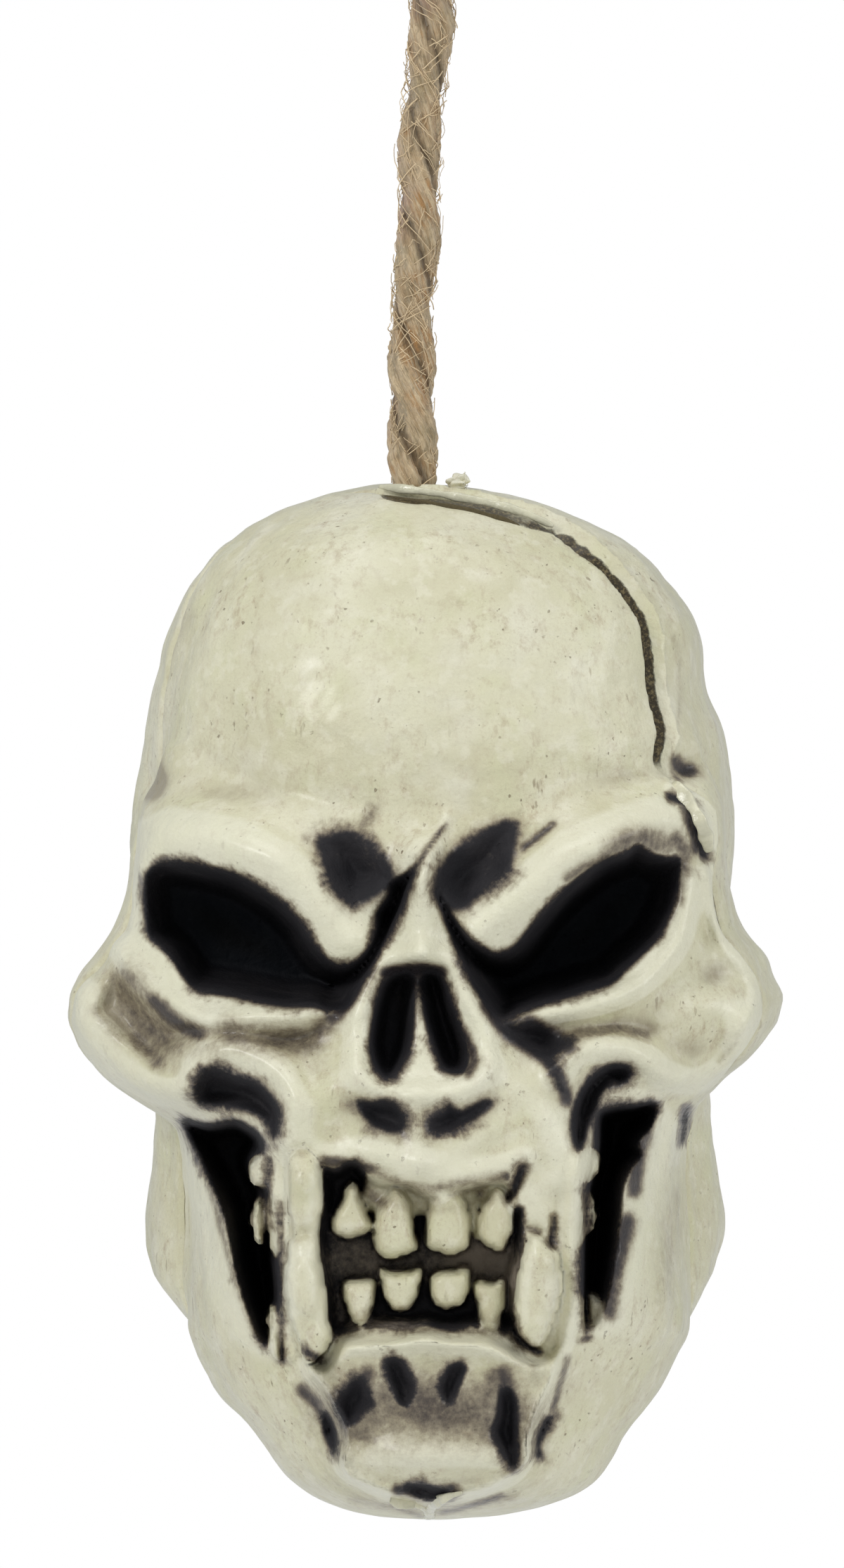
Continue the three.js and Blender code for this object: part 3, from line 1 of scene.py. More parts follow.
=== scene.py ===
"""Looks of a hanging skull decoration: a two-part moulded skull, washed dark in its hollows, on a jute rope.

Lengths are metres and +Z is up. The head is worked out in its own frame, with its foot at height 0. Its
tables hold shares of the face's width and of the skull's height and depth, unless a comment says millimetres.
"""
import itertools
import math

import bmesh
import bpy
import numpy as np
import openvdb
from mathutils import Matrix, Vector


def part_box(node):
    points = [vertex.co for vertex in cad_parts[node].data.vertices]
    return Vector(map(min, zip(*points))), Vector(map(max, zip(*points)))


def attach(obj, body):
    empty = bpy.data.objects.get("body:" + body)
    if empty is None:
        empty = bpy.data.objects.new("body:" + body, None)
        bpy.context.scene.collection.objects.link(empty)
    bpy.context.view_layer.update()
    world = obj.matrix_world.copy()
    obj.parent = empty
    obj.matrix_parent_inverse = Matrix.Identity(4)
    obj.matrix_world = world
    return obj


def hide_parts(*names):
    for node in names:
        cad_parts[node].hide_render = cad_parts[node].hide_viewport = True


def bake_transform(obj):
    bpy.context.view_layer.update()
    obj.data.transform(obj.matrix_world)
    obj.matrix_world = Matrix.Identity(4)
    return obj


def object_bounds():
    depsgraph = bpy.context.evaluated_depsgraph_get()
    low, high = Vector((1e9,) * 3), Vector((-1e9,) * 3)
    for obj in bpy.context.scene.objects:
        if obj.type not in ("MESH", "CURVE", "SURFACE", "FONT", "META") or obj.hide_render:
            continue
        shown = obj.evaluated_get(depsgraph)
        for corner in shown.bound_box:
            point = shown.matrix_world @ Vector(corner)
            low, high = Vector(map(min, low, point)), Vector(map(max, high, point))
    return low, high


bl_info = {
    "name": "Hanging skull",
    "version": (1, 0, 0),
    "blender": (4, 5, 0),
    "location": "View3D > Sidebar > Skull",
    "description": "Builds the finished skull, its rope and its stage around the packed frame",
    "category": "Add Mesh",
}

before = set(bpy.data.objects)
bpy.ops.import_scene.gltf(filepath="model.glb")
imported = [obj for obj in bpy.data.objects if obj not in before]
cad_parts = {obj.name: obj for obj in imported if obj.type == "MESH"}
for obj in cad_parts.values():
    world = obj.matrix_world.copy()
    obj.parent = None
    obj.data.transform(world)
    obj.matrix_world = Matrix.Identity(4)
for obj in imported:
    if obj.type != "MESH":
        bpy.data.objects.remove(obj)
CAD_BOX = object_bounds()

# Driving sizes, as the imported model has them
MM = 0.001
FACE_WIDTH = 82.3 * MM
SKULL_HEIGHT = 118.9 * MM
SKULL_DEPTH = 92 * MM
CROWN_WALL = 2.6 * MM
ROPE_DIAMETER = 5 * MM
LOOP_HEIGHT = 38 * MM
LOOP_WIDTH = 22 * MM
KNOT_HEIGHT = 14 * MM
KNOT_WIDTH = 13.5 * MM
ANCHOR_KNOT_HEIGHT = 11 * MM
ANCHOR_KNOT_WIDTH = 12.5 * MM
SHELL_GAP = 0.3 * MM
CLEARANCE = 0.3 * MM
STRAND_GAP = 0.8 * MM
HOLE_SIDEWAYS = -1.6 * MM
HOLE_CHAMFER = 0.8 * MM
HOLE_LAND = 1.4 * MM
HOLE_RADIUS = ROPE_DIAMETER / 2 + CLEARANCE
HOLE_MOUTH = HOLE_RADIUS + HOLE_CHAMFER

# The free rope from the crown up to the loop knot: sideways and height above the crown
ROPE_ROUTE = [(x * MM, z * MM) for x, z in (
    (-2.2, 0), (-2.3, 3.5), (-2.35, 11.5), (-2.4, 19.5), (-2.1, 24), (-1.7, 28), (-1.55, 32),
    (-1.55, 39.5), (-1.1, 43.5), (-0.6, 48), (-0.25, 52), (-0.2, 56), (-0.1, 60), (0, 63.6))]
# How thick that rope is against its diameter, at heights above the crown
STEM_GIRTH = [(z * MM, scale) for z, scale in (
    (0, 1.06), (4, 1.14), (7, 1.2), (11, 1.17), (15, 1.05), (19, 0.95), (27, 1.02), (39, 0.97), (47, 0.92),
    (53, 1))]
# Heights of the foot of the loop's knot and of the free rope's two ends
KNOT_FOOT = -(LOOP_HEIGHT + KNOT_HEIGHT)
STEM_TOP = KNOT_FOOT - CLEARANCE - ROPE_DIAMETER / 2
STEM_FOOT = STEM_TOP - ROPE_ROUTE[-1][1]
# A leg of the hanging loop, from its knot to the round top: how far it has spread and risen
LEG_SHARES = ((0, 0), (0.025, 0.058), (0.16, 0.178), (0.457, 0.366), (0.753, 0.589), (0.951, 0.812))
# The cut ends at the two knots: backward and height from their starts
TAIL_ROUTE = [(y * MM, z * MM) for y, z in ((0, 0), (0.3, -3), (1.2, -6.5), (2.6, -10.2), (4.2, -13.8))]
ANCHOR_TAIL_ROUTE = [(y * MM, z * MM) for y, z in ((0, 0), (0, -3), (1, -9))]

# The lofted head is rounded off above the cap's start and below the foot's end, by this power
CAP_START_SHARE = 0.666
FOOT_END_SHARE = 0.05
CAP_POWER = 2.4
# How wide the two masses of the head run together
BLEND_SHARE = 0.033
# Into how many pieces a smooth curve is cut between two points of its table: on the face, and along a rope
LINE_STEPS = 6
PATH_STEPS = 24
# The lip round a hollow: how far outside its rim, and half its width
LIP_PLACE_SHARE = 0.005
LIP_WIDTH_SHARE = 0.0135

# How dark a hollow is from which it is washed, and from which its wash is deep
WASHED_FROM = 0.88
DEEP_FROM = 0.93
# How far the crispest wash fades, and how far in from its edge one that isn't deep stays as grey as it is
CRISP_FADE = 0.8 * MM
SHALLOW_DARK = 1.6 * MM
# How far outside every hollow the wash takes a plain place to be
UNWASHED = -8 * MM
# The part of a groove's width that its dark reaches, and how much of the smoke the teeth keep off
GROOVE_DARK_PART = 0.6
TOOTH_CLEAN_PART = 0.35
# Edge of a tooth: where its face begins, the clean band round it, and how steeply the wash stops there
TOOTH_EDGE = 0.1 * MM
TOOTH_BAND = 0.3 * MM
TOOTH_WIPE = 6
# The deepest place that counts for dirt and painted shade in the hollows, and how wide these look around
# themselves
# Places that stand out against the same surroundings get wear and a painted highlight
CAVITY_DEPTH = 8 * MM
NEAR_REACH = 1.2 * MM
FAR_REACH = 3.5 * MM
# How deep under the outside the paint and the full fineness of the mesh reach
SKIN_DEPTH = 1.2 * MM
# How deep the paint is whole, and how far behind the face it is whole and has ended
SKIN_WHOLE = 0.5 * MM
FACE_WHOLE = 2 * MM
FACE_ENDED = 6 * MM
# Grids of the two shells, forward and backward ends
FRONT_GRID_SHARES = (-0.52, 0.04)
REAR_GRID_SHARES = (-0.32, 0.52)
# How far the shells' edges are rounded where they meet
EDGE_ROUND = 1.0 * MM
# Inside the skin the rear shell's edge runs on into a step of the front shell's
SEAM_TUCK = 1.0 * MM
SEAM_TUCK_BELOW = 0.8 * MM
# How far down from the crown the rope's hole goes
HOLE_REACH = 8 * MM
# The moulding's unevenness, in millimetres: height and size of the swells, and a seed
LUMPS = ((0.2, 14, 3), (0.09, 5, 4), (0.035, 2.2, 9))

# Laid rope: spacing of its rings, how many points each has, and a ply's radius and place in the rope's radius
ROPE_STEP = 0.35 * MM
PLY_POINTS = 36
PLY_SHARE = 0.8
PLY_AWAY_SHARE = 0.26
# A ply's fibres turn once in this many turns of the lay
SPIN_SHARE = 1.6
# A loose fibre's points along it, how much it wanders from each to the next, and its least and most radius
# in millimetres
FIBRE_ROWS = 9
FIBRE_WANDER = 0.06 * MM
FIBRE_RADII = (0.035, 0.075)
# A film's points round it
FILM_SIDES = 12
# Loose fibres of each rope: how many stand off it, how many lie across it, and a seed
LOOSE_FIBRES = {"rope_stem": (260, 170, 5), "hanging_loop": (300, 110, 8), "loop_knot": (220, 60, 12),
                "rope_tail": (110, 30, 16)}
# The two kinds: how far they stand off and their lengths in millimetres, and the most that they turn round
# the rope in radians
FIBRE_KINDS = {"hairs": (0.35, (0.6, 2.2), 1.2), "crossings": (0.22, (2.5, 6), 2.6)}

# The floor's radius in metres, and the colour of the soft light from all sides
FLOOR_RADIUS = 0.9
SKY = (0.92, 0.96, 1.0)
# Lamps, in metres: place, size and power against the key light's
LAMPS = {
    "key": ((-0.62, -0.66, 0.34), 0.35, 1.0),
    "side": ((0.75, -0.35, 0.05), 0.5, 0.52),
    "top": ((-0.05, -0.15, 0.6), 0.5, 0.4),
}

# Colours of the moulding, as a paint chart gives them: its tints, wear, dirt, wash and broken edge
# Of these, the crest ivory is partly wear and partly a painted highlight, and dust, smoke and soot are partly
# painted shade
CREAM = (226, 222, 203)
OLIVE = (208, 206, 168)
WORN_TAN = (168, 148, 120)
CHALK = (230, 226, 204)
SCRATCH_BROWN = (118, 98, 72)
CREST_WEAR_AND_HIGHLIGHT = (233, 230, 207)
DUST_AND_SHADE = (142, 128, 104)
SMOKE_AND_SHADE_BROWN = (84, 74, 66)
SOOT_AND_SHADE = (38, 35, 38)
WASH_GREY = (36, 35, 38)
WASH_BLOTCH = (47, 45, 47)
THIN_WASH = (150, 138, 124)
# Black painted deep inside the hollows as their shade
DEEP_HOLLOW_SHADE = (1, 2, 3)
# The seam's dark is its broken edge, and under the crown's lip a painted shadow of the lip
SEAM_DARK_AND_SHADOW = (58, 50, 33)
SEAM_PALE_SPECK = (124, 110, 76)
# Colours of the rope, which go over its two main ones
STRAW = (222, 204, 174)
BARK = (124, 104, 78)
AMBER = (178, 126, 66)
MOSS = (150, 138, 100)
BLUSH = (170, 132, 120)
HUSK = (132, 118, 90)
OAT = (212, 190, 158)
# Painted shade in the grooves where the two plies meet
PLY_GAP_SHADE = (98, 80, 56)

# What the picture shows: the middle of it and its height there
PICTURE_CENTRE = (-1.25 * MM, -10 * MM, -152.6 * MM)
PICTURE_HEIGHT = 179.8 * MM

# Sections of the head, bottom to top: height, left edge, right edge, widest depth, front depth, back depth,
# then the powers of the front and back curves
BRAINCASE_SHARES = (
    (0, -0.122, 0.146, 0, -0.087, 0.065, 2.2, 2.2),
    (0.067, -0.182, 0.207, 0.022, -0.13, 0.109, 2.2, 2.2),
    (0.118, -0.243, 0.267, 0.043, -0.152, 0.163, 2.2, 2.2),
    (0.168, -0.31, 0.34, 0.065, -0.152, 0.228, 2.2, 2.2),
    (0.198, -0.348, 0.377, 0.087, -0.141, 0.293, 2.2, 2.2),
    (0.239, -0.39, 0.406, 0.13, -0.12, 0.375, 2.2, 2.2),
    (0.279, -0.4, 0.419, 0.152, -0.109, 0.418, 2.2, 2.2),
    (0.341, -0.388, 0.405, 0.152, -0.13, 0.457, 2.2, 2.2),
    (0.421, -0.38, 0.397, 0.13, -0.217, 0.489, 2.2, 2.2),
    (0.505, -0.395, 0.408, 0.109, -0.304, 0.505, 2.2, 2.2),
    (0.589, -0.411, 0.423, 0.087, -0.37, 0.511, 2.2, 2.2),
    (0.666, -0.417, 0.43, 0.076, -0.389, 0.511, 2.25, 2.2),
    (0.757, -0.405, 0.425, 0.065, -0.391, 0.511, 2.3, 2.2),
    (0.799, -0.405, 0.412, 0.043, -0.389, 0.511, 2.3, 2.2),
    (0.875, -0.417, 0.437, 0.011, -0.386, 0.5, 2.3, 2.2),
    (0.925, -0.428, 0.435, -0.016, -0.386, 0.489, 2.3, 2.2),
    (0.976, -0.44, 0.399, -0.038, -0.386, 0.478, 2.3, 2.2),
    (1.001, -0.413, 0.316, -0.043, -0.38, 0.478, 2.3, 2.2),
)
MASK_SHARES = (
    (0, -0.168, 0.214, -0.13, -0.337, 0.043, 2.2, 2),
    (0.015, -0.175, 0.221, -0.12, -0.359, 0.065, 2.2, 2),
    (0.035, -0.192, 0.238, -0.109, -0.38, 0.087, 2.2, 2),
    (0.056, -0.216, 0.255, -0.098, -0.396, 0.098, 2.2, 2),
    (0.076, -0.236, 0.272, -0.087, -0.404, 0.109, 2.2, 2),
    (0.097, -0.26, 0.295, -0.076, -0.409, 0.12, 2.2, 2),
    (0.117, -0.289, 0.318, -0.065, -0.412, 0.13, 2.2, 2),
    (0.135, -0.306, 0.334, -0.054, -0.415, 0.141, 2.25, 2),
    (0.16, -0.323, 0.352, -0.043, -0.422, 0.152, 2.3, 2),
    (0.185, -0.334, 0.367, -0.033, -0.433, 0.163, 2.4, 2),
    (0.219, -0.335, 0.365, -0.022, -0.45, 0.163, 2.5, 2),
    (0.278, -0.335, 0.36, -0.011, -0.459, 0.163, 2.5, 2),
    (0.336, -0.34, 0.357, -0.011, -0.463, 0.152, 2.5, 2),
    (0.374, -0.35, 0.362, -0.022, -0.465, 0.13, 2.5, 2),
    (0.401, -0.402, 0.383, -0.043, -0.461, 0.109, 2.4, 2),
    (0.422, -0.445, 0.411, -0.054, -0.454, 0.098, 2.4, 2),
    (0.442, -0.473, 0.445, -0.065, -0.443, 0.092, 2.35, 2),
    (0.463, -0.493, 0.473, -0.076, -0.43, 0.087, 2.3, 2),
    (0.483, -0.502, 0.49, -0.082, -0.42, 0.087, 2.3, 2),
    (0.503, -0.499, 0.497, -0.087, -0.411, 0.087, 2.3, 2),
    (0.524, -0.486, 0.486, -0.092, -0.404, 0.087, 2.3, 2),
    (0.544, -0.464, 0.474, -0.098, -0.4, 0.082, 2.35, 2),
    (0.572, -0.435, 0.44, -0.109, -0.4, 0.065, 2.4, 2),
    (0.606, -0.418, 0.423, -0.12, -0.402, 0.043, 2.5, 2),
    (0.639, -0.408, 0.416, -0.13, -0.402, 0.022, 2.6, 2),
    (0.673, -0.401, 0.408, -0.141, -0.385, 0, 2.5, 2),
    (0.706, -0.389, 0.396, -0.152, -0.342, -0.065, 2.4, 2),
    (0.74, -0.365, 0.371, -0.174, -0.272, -0.13, 2.3, 2),
)
# The hollow inside: the main space and the narrow one behind the teeth
MAIN_HOLLOW_SHARES = (
    (0.168, -0.243, 0.273, 0.065, 0.022, 0.13, 2, 2.2),
    (0.202, -0.304, 0.334, 0.076, -0.033, 0.239, 2, 2.2),
    (0.239, -0.343, 0.365, 0.098, -0.057, 0.326, 2.2, 2.2),
    (0.286, -0.36, 0.379, 0.109, -0.057, 0.378, 2.4, 2.2),
    (0.353, -0.348, 0.365, 0.109, -0.057, 0.42, 2.4, 2.2),
    (0.395, -0.34, 0.357, 0.098, -0.071, 0.439, 2.4, 2.2),
    (0.437, -0.345, 0.362, 0.087, -0.13, 0.457, 2.4, 2.2),
    (0.505, -0.36, 0.373, 0.076, -0.137, 0.473, 2.5, 2.2),
    (0.606, -0.377, 0.389, 0.076, -0.137, 0.48, 2.5, 2.2),
    (0.648, -0.382, 0.394, 0.076, -0.163, 0.48, 2.4, 2.2),
    (0.698, -0.377, 0.392, 0.076, -0.304, 0.48, 2.3, 2.2),
    (0.757, -0.371, 0.391, 0.065, -0.359, 0.48, 2.3, 2.2),
    (0.799, -0.371, 0.378, 0.043, -0.359, 0.48, 2.3, 2.2),
    (0.875, -0.383, 0.403, 0.011, -0.357, 0.47, 2.3, 2.2),
    (0.925, -0.394, 0.401, -0.016, -0.357, 0.459, 2.3, 2.2),
    (0.978, -0.389, 0.34, -0.043, -0.354, 0.451, 2.3, 2.2),
)
MUZZLE_HOLLOW_SHARES = (
    (0.059, -0.085, 0.109, -0.152, -0.304, -0.065, 2.2, 2),
    (0.101, -0.122, 0.146, -0.13, -0.326, -0.022, 2.4, 2),
    (0.168, -0.14, 0.152, -0.109, -0.332, 0.087, 2.6, 2),
    (0.252, -0.14, 0.152, -0.109, -0.337, 0.087, 2.6, 2),
    (0.353, -0.14, 0.152, -0.109, -0.337, 0.087, 2.6, 2),
    (0.421, -0.109, 0.115, -0.109, -0.293, 0.065, 2.6, 2),
    (0.463, -0.061, 0.061, -0.109, -0.196, 0.043, 2.6, 2),
)
# Where the shells meet: height, depth at the left, middle and right, then where the sides begin and end
SEAM_SHARES = (
    (0, 0, 0, 0, 0.243, 0.365),
    (0.336, 0, 0, 0, 0.292, 0.377),
    (0.387, -0.011, -0.011, -0.011, 0.328, 0.401),
    (0.421, -0.12, -0.087, -0.141, 0.352, 0.413),
    (0.454, -0.152, -0.107, -0.239, 0.352, 0.413),
    (0.505, -0.185, -0.107, -0.234, 0.365, 0.425),
    (0.555, -0.201, -0.107, -0.266, 0.365, 0.419),
    (0.614, -0.185, -0.107, -0.272, 0.358, 0.401),
    (0.656, -0.152, -0.104, -0.25, 0.316, 0.377),
    (0.723, -0.109, -0.13, -0.255, 0.097, 0.316),
    (0.782, -0.098, -0.158, -0.234, 0, 0.316),
    (0.858, -0.092, -0.163, -0.217, 0, 0.292),
    (0.925, -0.087, -0.163, -0.201, 0, 0.219),
    (0.967, -0.087, -0.161, -0.174, 0, 0.158),
    (1.001, -0.087, -0.159, -0.159, 0, 0.146),
)
# In the tables of the face a height or depth is a share of the skull's depth, and a width, edge or fade one
# of its height. Points are sideways and upward shares.
# Raised ridges: height, width, points
RIDGE_SHARES = {
    "left_brow": (0.0457, 0.0269, (
        (-0.412, 0.642), (-0.375, 0.662), (-0.312, 0.663), (-0.243, 0.649), (-0.189, 0.625),
        (-0.15, 0.595), (-0.114, 0.564))),
    "right_brow": (0.0457, 0.0269, (
        (0.384, 0.676), (0.33, 0.68), (0.267, 0.667), (0.208, 0.649), (0.154, 0.619), (0.105, 0.591),
        (0.071, 0.572))),
    "frown": (0.0087, 0.0076, ((-0.016, 0.61), (-0.004, 0.633), (0.01, 0.655), (0.025, 0.678))),
    "left_socket_rim": (0.0261, 0.0126, (
        (-0.431, 0.554), (-0.4, 0.522), (-0.363, 0.501), (-0.312, 0.484), (-0.253, 0.486),
        (-0.192, 0.488), (-0.155, 0.495))),
    "right_socket_rim": (0.0261, 0.0126, (
        (0.374, 0.619), (0.36, 0.574), (0.333, 0.541), (0.291, 0.515), (0.237, 0.499), (0.178, 0.491),
        (0.134, 0.483))),
    "left_cheek_bar": (0.0326, 0.0177, (
        (-0.49, 0.507), (-0.476, 0.471), (-0.439, 0.44), (-0.385, 0.418), (-0.339, 0.418),
        (-0.312, 0.442), (-0.28, 0.457), (-0.238, 0.449), (-0.202, 0.434), (-0.188, 0.408),
        (-0.196, 0.374))),
    "right_cheek_bar": (0.0326, 0.0177, (
        (0.178, 0.435), (0.214, 0.457), (0.267, 0.459), (0.301, 0.448), (0.335, 0.432), (0.379, 0.427),
        (0.423, 0.449), (0.443, 0.483))),
    "nose_bridge": (0.0391, 0.0185, ((-0.002, 0.642), (-0.006, 0.598), (-0.01, 0.551))),
    "nose_rim": (0.0207, 0.0135, (
        (-0.012, 0.547), (-0.062, 0.536), (-0.09, 0.503), (-0.1, 0.466), (-0.094, 0.432), (-0.055, 0.414),
        (-0.014, 0.416), (0.036, 0.416), (0.08, 0.435), (0.074, 0.475), (0.049, 0.509), (0.027, 0.54),
        (-0.012, 0.547))),
    "muzzle": (0.0174, 0.0235, ((-0.106, 0.435), (-0.15, 0.402), (-0.169, 0.361))),
    "right_muzzle": (0.0174, 0.0235, ((0.096, 0.435), (0.141, 0.408), (0.178, 0.374), (0.194, 0.34))),
    "gum": (0.013, 0.0143, (
        (-0.135, 0.354), (-0.076, 0.353), (-0.027, 0.343), (0.031, 0.335), (0.09, 0.343), (0.129, 0.354))),
    "philtrum": (0.0065, 0.0118, ((-0.012, 0.408), (-0.016, 0.381), (-0.01, 0.354))),
    "lip_left": (0.0065, 0.0135, ((-0.106, 0.371), (-0.062, 0.361), (-0.023, 0.354))),
    "lip_right": (0.0065, 0.0135, ((-0.003, 0.351), (0.051, 0.364), (0.095, 0.388))),
}
# Swellings: height, centre, radii
SWELLING_SHARES = {
    "left_forehead": (0.013, (-0.204, 0.836), (0.186, 0.136)),
    "right_cheek_ball": (0.0217, (0.414, 0.496), (0.051, 0.042)),
    "left_cheek_ball": (0.0152, (-0.473, 0.49), (0.045, 0.045)),
    "nose": (0.0196, (-0.012, 0.49), (0.093, 0.081)),
    "muzzle_block": (0.0087, (0.004, 0.364), (0.147, 0.051)),
    "brow_left_dip": (-0.0076, (-0.272, 0.703), (0.108, 0.018)),
    "brow_right_dip": (-0.0076, (0.247, 0.72), (0.108, 0.018)),
    "temple_left": (-0.0152, (-0.392, 0.714), (0.025, 0.041)),
}
# Sunk places: depth, floor where it is level, edge, lip, how dark, how far the dark fades, rim
HOLLOW_SHARES = {
    "left_frown_pit": (0.0283, None, 0.0336, 0, 1, 0.0118, (
        (-0.155, 0.657), (-0.135, 0.663), (-0.11, 0.666), (-0.086, 0.659), (-0.067, 0.646),
        (-0.051, 0.632), (-0.047, 0.616), (-0.067, 0.604), (-0.088, 0.596), (-0.106, 0.593),
        (-0.125, 0.602), (-0.139, 0.616), (-0.145, 0.632))),
    "right_frown_pit": (0.0283, None, 0.0336, 0, 1, 0.0118, (
        (0.008, 0.618), (0.02, 0.635), (0.036, 0.648), (0.064, 0.661), (0.093, 0.672), (0.118, 0.676),
        (0.126, 0.667), (0.123, 0.652), (0.117, 0.634), (0.107, 0.62), (0.086, 0.609), (0.067, 0.599),
        (0.051, 0.59), (0.031, 0.59), (0.014, 0.602))),
    "left_eye": (0, -0.163, 0.0269, 0.0087, 1, 0.0067, (
        (-0.392, 0.624), (-0.372, 0.636), (-0.345, 0.637), (-0.308, 0.633), (-0.261, 0.624),
        (-0.223, 0.609), (-0.197, 0.596), (-0.171, 0.577), (-0.159, 0.563), (-0.145, 0.549),
        (-0.127, 0.539), (-0.108, 0.539), (-0.086, 0.551), (-0.074, 0.572), (-0.072, 0.587),
        (-0.056, 0.604), (-0.051, 0.617), (-0.032, 0.625), (-0.012, 0.635), (-0.022, 0.613),
        (-0.033, 0.591), (-0.049, 0.568), (-0.063, 0.551), (-0.076, 0.533), (-0.096, 0.511),
        (-0.11, 0.495), (-0.137, 0.492), (-0.159, 0.496), (-0.197, 0.496), (-0.241, 0.501),
        (-0.275, 0.506), (-0.319, 0.511), (-0.339, 0.524), (-0.36, 0.545), (-0.387, 0.562),
        (-0.394, 0.581), (-0.397, 0.604))),
    "right_eye": (0, -0.163, 0.0269, 0.0087, 1, 0.0067, (
        (0.056, 0.566), (0.076, 0.555), (0.097, 0.549), (0.119, 0.556), (0.144, 0.577), (0.161, 0.591),
        (0.186, 0.609), (0.216, 0.626), (0.242, 0.638), (0.27, 0.645), (0.291, 0.653), (0.309, 0.645),
        (0.329, 0.641), (0.349, 0.64), (0.351, 0.625), (0.345, 0.598), (0.334, 0.579), (0.321, 0.562),
        (0.296, 0.544), (0.275, 0.531), (0.255, 0.518), (0.223, 0.511), (0.186, 0.503), (0.165, 0.499),
        (0.133, 0.491), (0.106, 0.483), (0.09, 0.488), (0.074, 0.503), (0.055, 0.524), (0.039, 0.551),
        (0.021, 0.582), (0.006, 0.609), (0.016, 0.61), (0.031, 0.59))),
    "left_nostril": (0.087, None, 0.0151, 0, 1, 0.0067, (
        (-0.018, 0.528), (-0.041, 0.532), (-0.063, 0.522), (-0.073, 0.503), (-0.079, 0.479),
        (-0.082, 0.456), (-0.073, 0.436), (-0.056, 0.426), (-0.04, 0.433), (-0.024, 0.453),
        (-0.018, 0.483))),
    "right_nostril": (0.087, None, 0.0151, 0, 1, 0.0067, (
        (-0.01, 0.528), (0.012, 0.533), (0.027, 0.52), (0.039, 0.496), (0.051, 0.472), (0.059, 0.452),
        (0.051, 0.434), (0.029, 0.433), (0.014, 0.442), (0.001, 0.469), (-0.008, 0.496))),
    "left_lip_pit": (0.0196, None, 0.0135, 0, 0.95, 0.0101, (
        (-0.1, 0.408), (-0.075, 0.408), (-0.05, 0.41), (-0.032, 0.396), (-0.029, 0.383), (-0.042, 0.376),
        (-0.067, 0.38), (-0.086, 0.389))),
    "right_lip_pit": (0.0196, None, 0.0135, 0, 0.95, 0.0101, (
        (0.027, 0.407), (0.043, 0.399), (0.067, 0.406), (0.084, 0.41), (0.091, 0.404), (0.073, 0.393),
        (0.055, 0.385), (0.031, 0.376), (0.008, 0.375), (-0.002, 0.383), (0.002, 0.392), (0.019, 0.398))),
    "left_cheek": (0.0326, None, 0.0219, 0, 0.3, 0.0219, (
        (-0.433, 0.536), (-0.41, 0.52), (-0.381, 0.503), (-0.348, 0.485), (-0.302, 0.475),
        (-0.325, 0.462), (-0.359, 0.446), (-0.378, 0.438), (-0.398, 0.442), (-0.421, 0.456),
        (-0.447, 0.473), (-0.468, 0.491), (-0.457, 0.517))),
    "left_under_rim": (0.0174, None, 0.0151, 0, 0.4, 0.0135, (
        (-0.284, 0.479), (-0.233, 0.476), (-0.177, 0.479), (-0.135, 0.486), (-0.155, 0.463),
        (-0.198, 0.452), (-0.234, 0.46), (-0.268, 0.469))),
    "left_jaw_notch": (0.0457, None, 0.0168, 0, 1, 0.0101, (
        (-0.321, 0.429), (-0.297, 0.441), (-0.263, 0.433), (-0.234, 0.426), (-0.209, 0.408),
        (-0.2, 0.395), (-0.207, 0.375), (-0.215, 0.37), (-0.227, 0.387), (-0.251, 0.396), (-0.291, 0.4),
        (-0.319, 0.403), (-0.324, 0.415))),
    "right_fold": (0.0217, None, 0.0135, 0, 0.96, 0.0101, (
        (0.074, 0.505), (0.106, 0.483), (0.135, 0.484), (0.159, 0.48), (0.183, 0.469), (0.21, 0.468),
        (0.194, 0.457), (0.178, 0.448), (0.182, 0.43), (0.192, 0.414), (0.178, 0.418), (0.165, 0.441),
        (0.133, 0.457), (0.102, 0.473))),
    "right_jaw_notch": (0.0457, None, 0.0143, 0, 1, 0.0084, (
        (0.253, 0.443), (0.279, 0.441), (0.284, 0.431), (0.268, 0.421), (0.253, 0.421), (0.24, 0.411),
        (0.233, 0.396), (0.223, 0.381), (0.217, 0.365), (0.208, 0.358), (0.198, 0.371), (0.198, 0.396),
        (0.21, 0.418), (0.228, 0.433))),
    "mouth": (0, -0.375, 0.0126, 0, 0.9, 0.0059, (
        (-0.151, 0.346), (-0.128, 0.343), (-0.116, 0.349), (-0.096, 0.35), (-0.078, 0.336),
        (-0.056, 0.331), (-0.024, 0.328), (-0.004, 0.32), (0.016, 0.316), (0.036, 0.323), (0.059, 0.328),
        (0.084, 0.331), (0.106, 0.332), (0.118, 0.32), (0.118, 0.307), (0.132, 0.305), (0.132, 0.283),
        (0.131, 0.259), (0.124, 0.232), (0.122, 0.208), (0.12, 0.191), (0.104, 0.185), (0.09, 0.189),
        (0.062, 0.191), (0.036, 0.187), (0.012, 0.189), (-0.004, 0.192), (-0.028, 0.189), (-0.059, 0.19),
        (-0.091, 0.189), (-0.117, 0.184), (-0.132, 0.18), (-0.141, 0.194), (-0.144, 0.216),
        (-0.151, 0.243), (-0.156, 0.277), (-0.147, 0.3), (-0.149, 0.324))),
    "left_gap": (0, -0.087, 0.0202, 0, 1, 0.0076, (
        (-0.345, 0.387), (-0.305, 0.385), (-0.268, 0.389), (-0.246, 0.383), (-0.228, 0.372),
        (-0.225, 0.359), (-0.235, 0.344), (-0.214, 0.313), (-0.204, 0.252), (-0.202, 0.212),
        (-0.216, 0.174), (-0.235, 0.178), (-0.263, 0.232), (-0.284, 0.296), (-0.317, 0.344))),
    "right_gap": (0, -0.087, 0.0202, 0, 1, 0.0076, (
        (0.231, 0.393), (0.253, 0.402), (0.282, 0.404), (0.319, 0.404), (0.312, 0.381), (0.294, 0.366),
        (0.298, 0.354), (0.282, 0.34), (0.27, 0.32), (0.267, 0.293), (0.259, 0.252), (0.247, 0.212),
        (0.233, 0.191), (0.212, 0.195), (0.21, 0.273), (0.214, 0.313), (0.227, 0.354))),
}
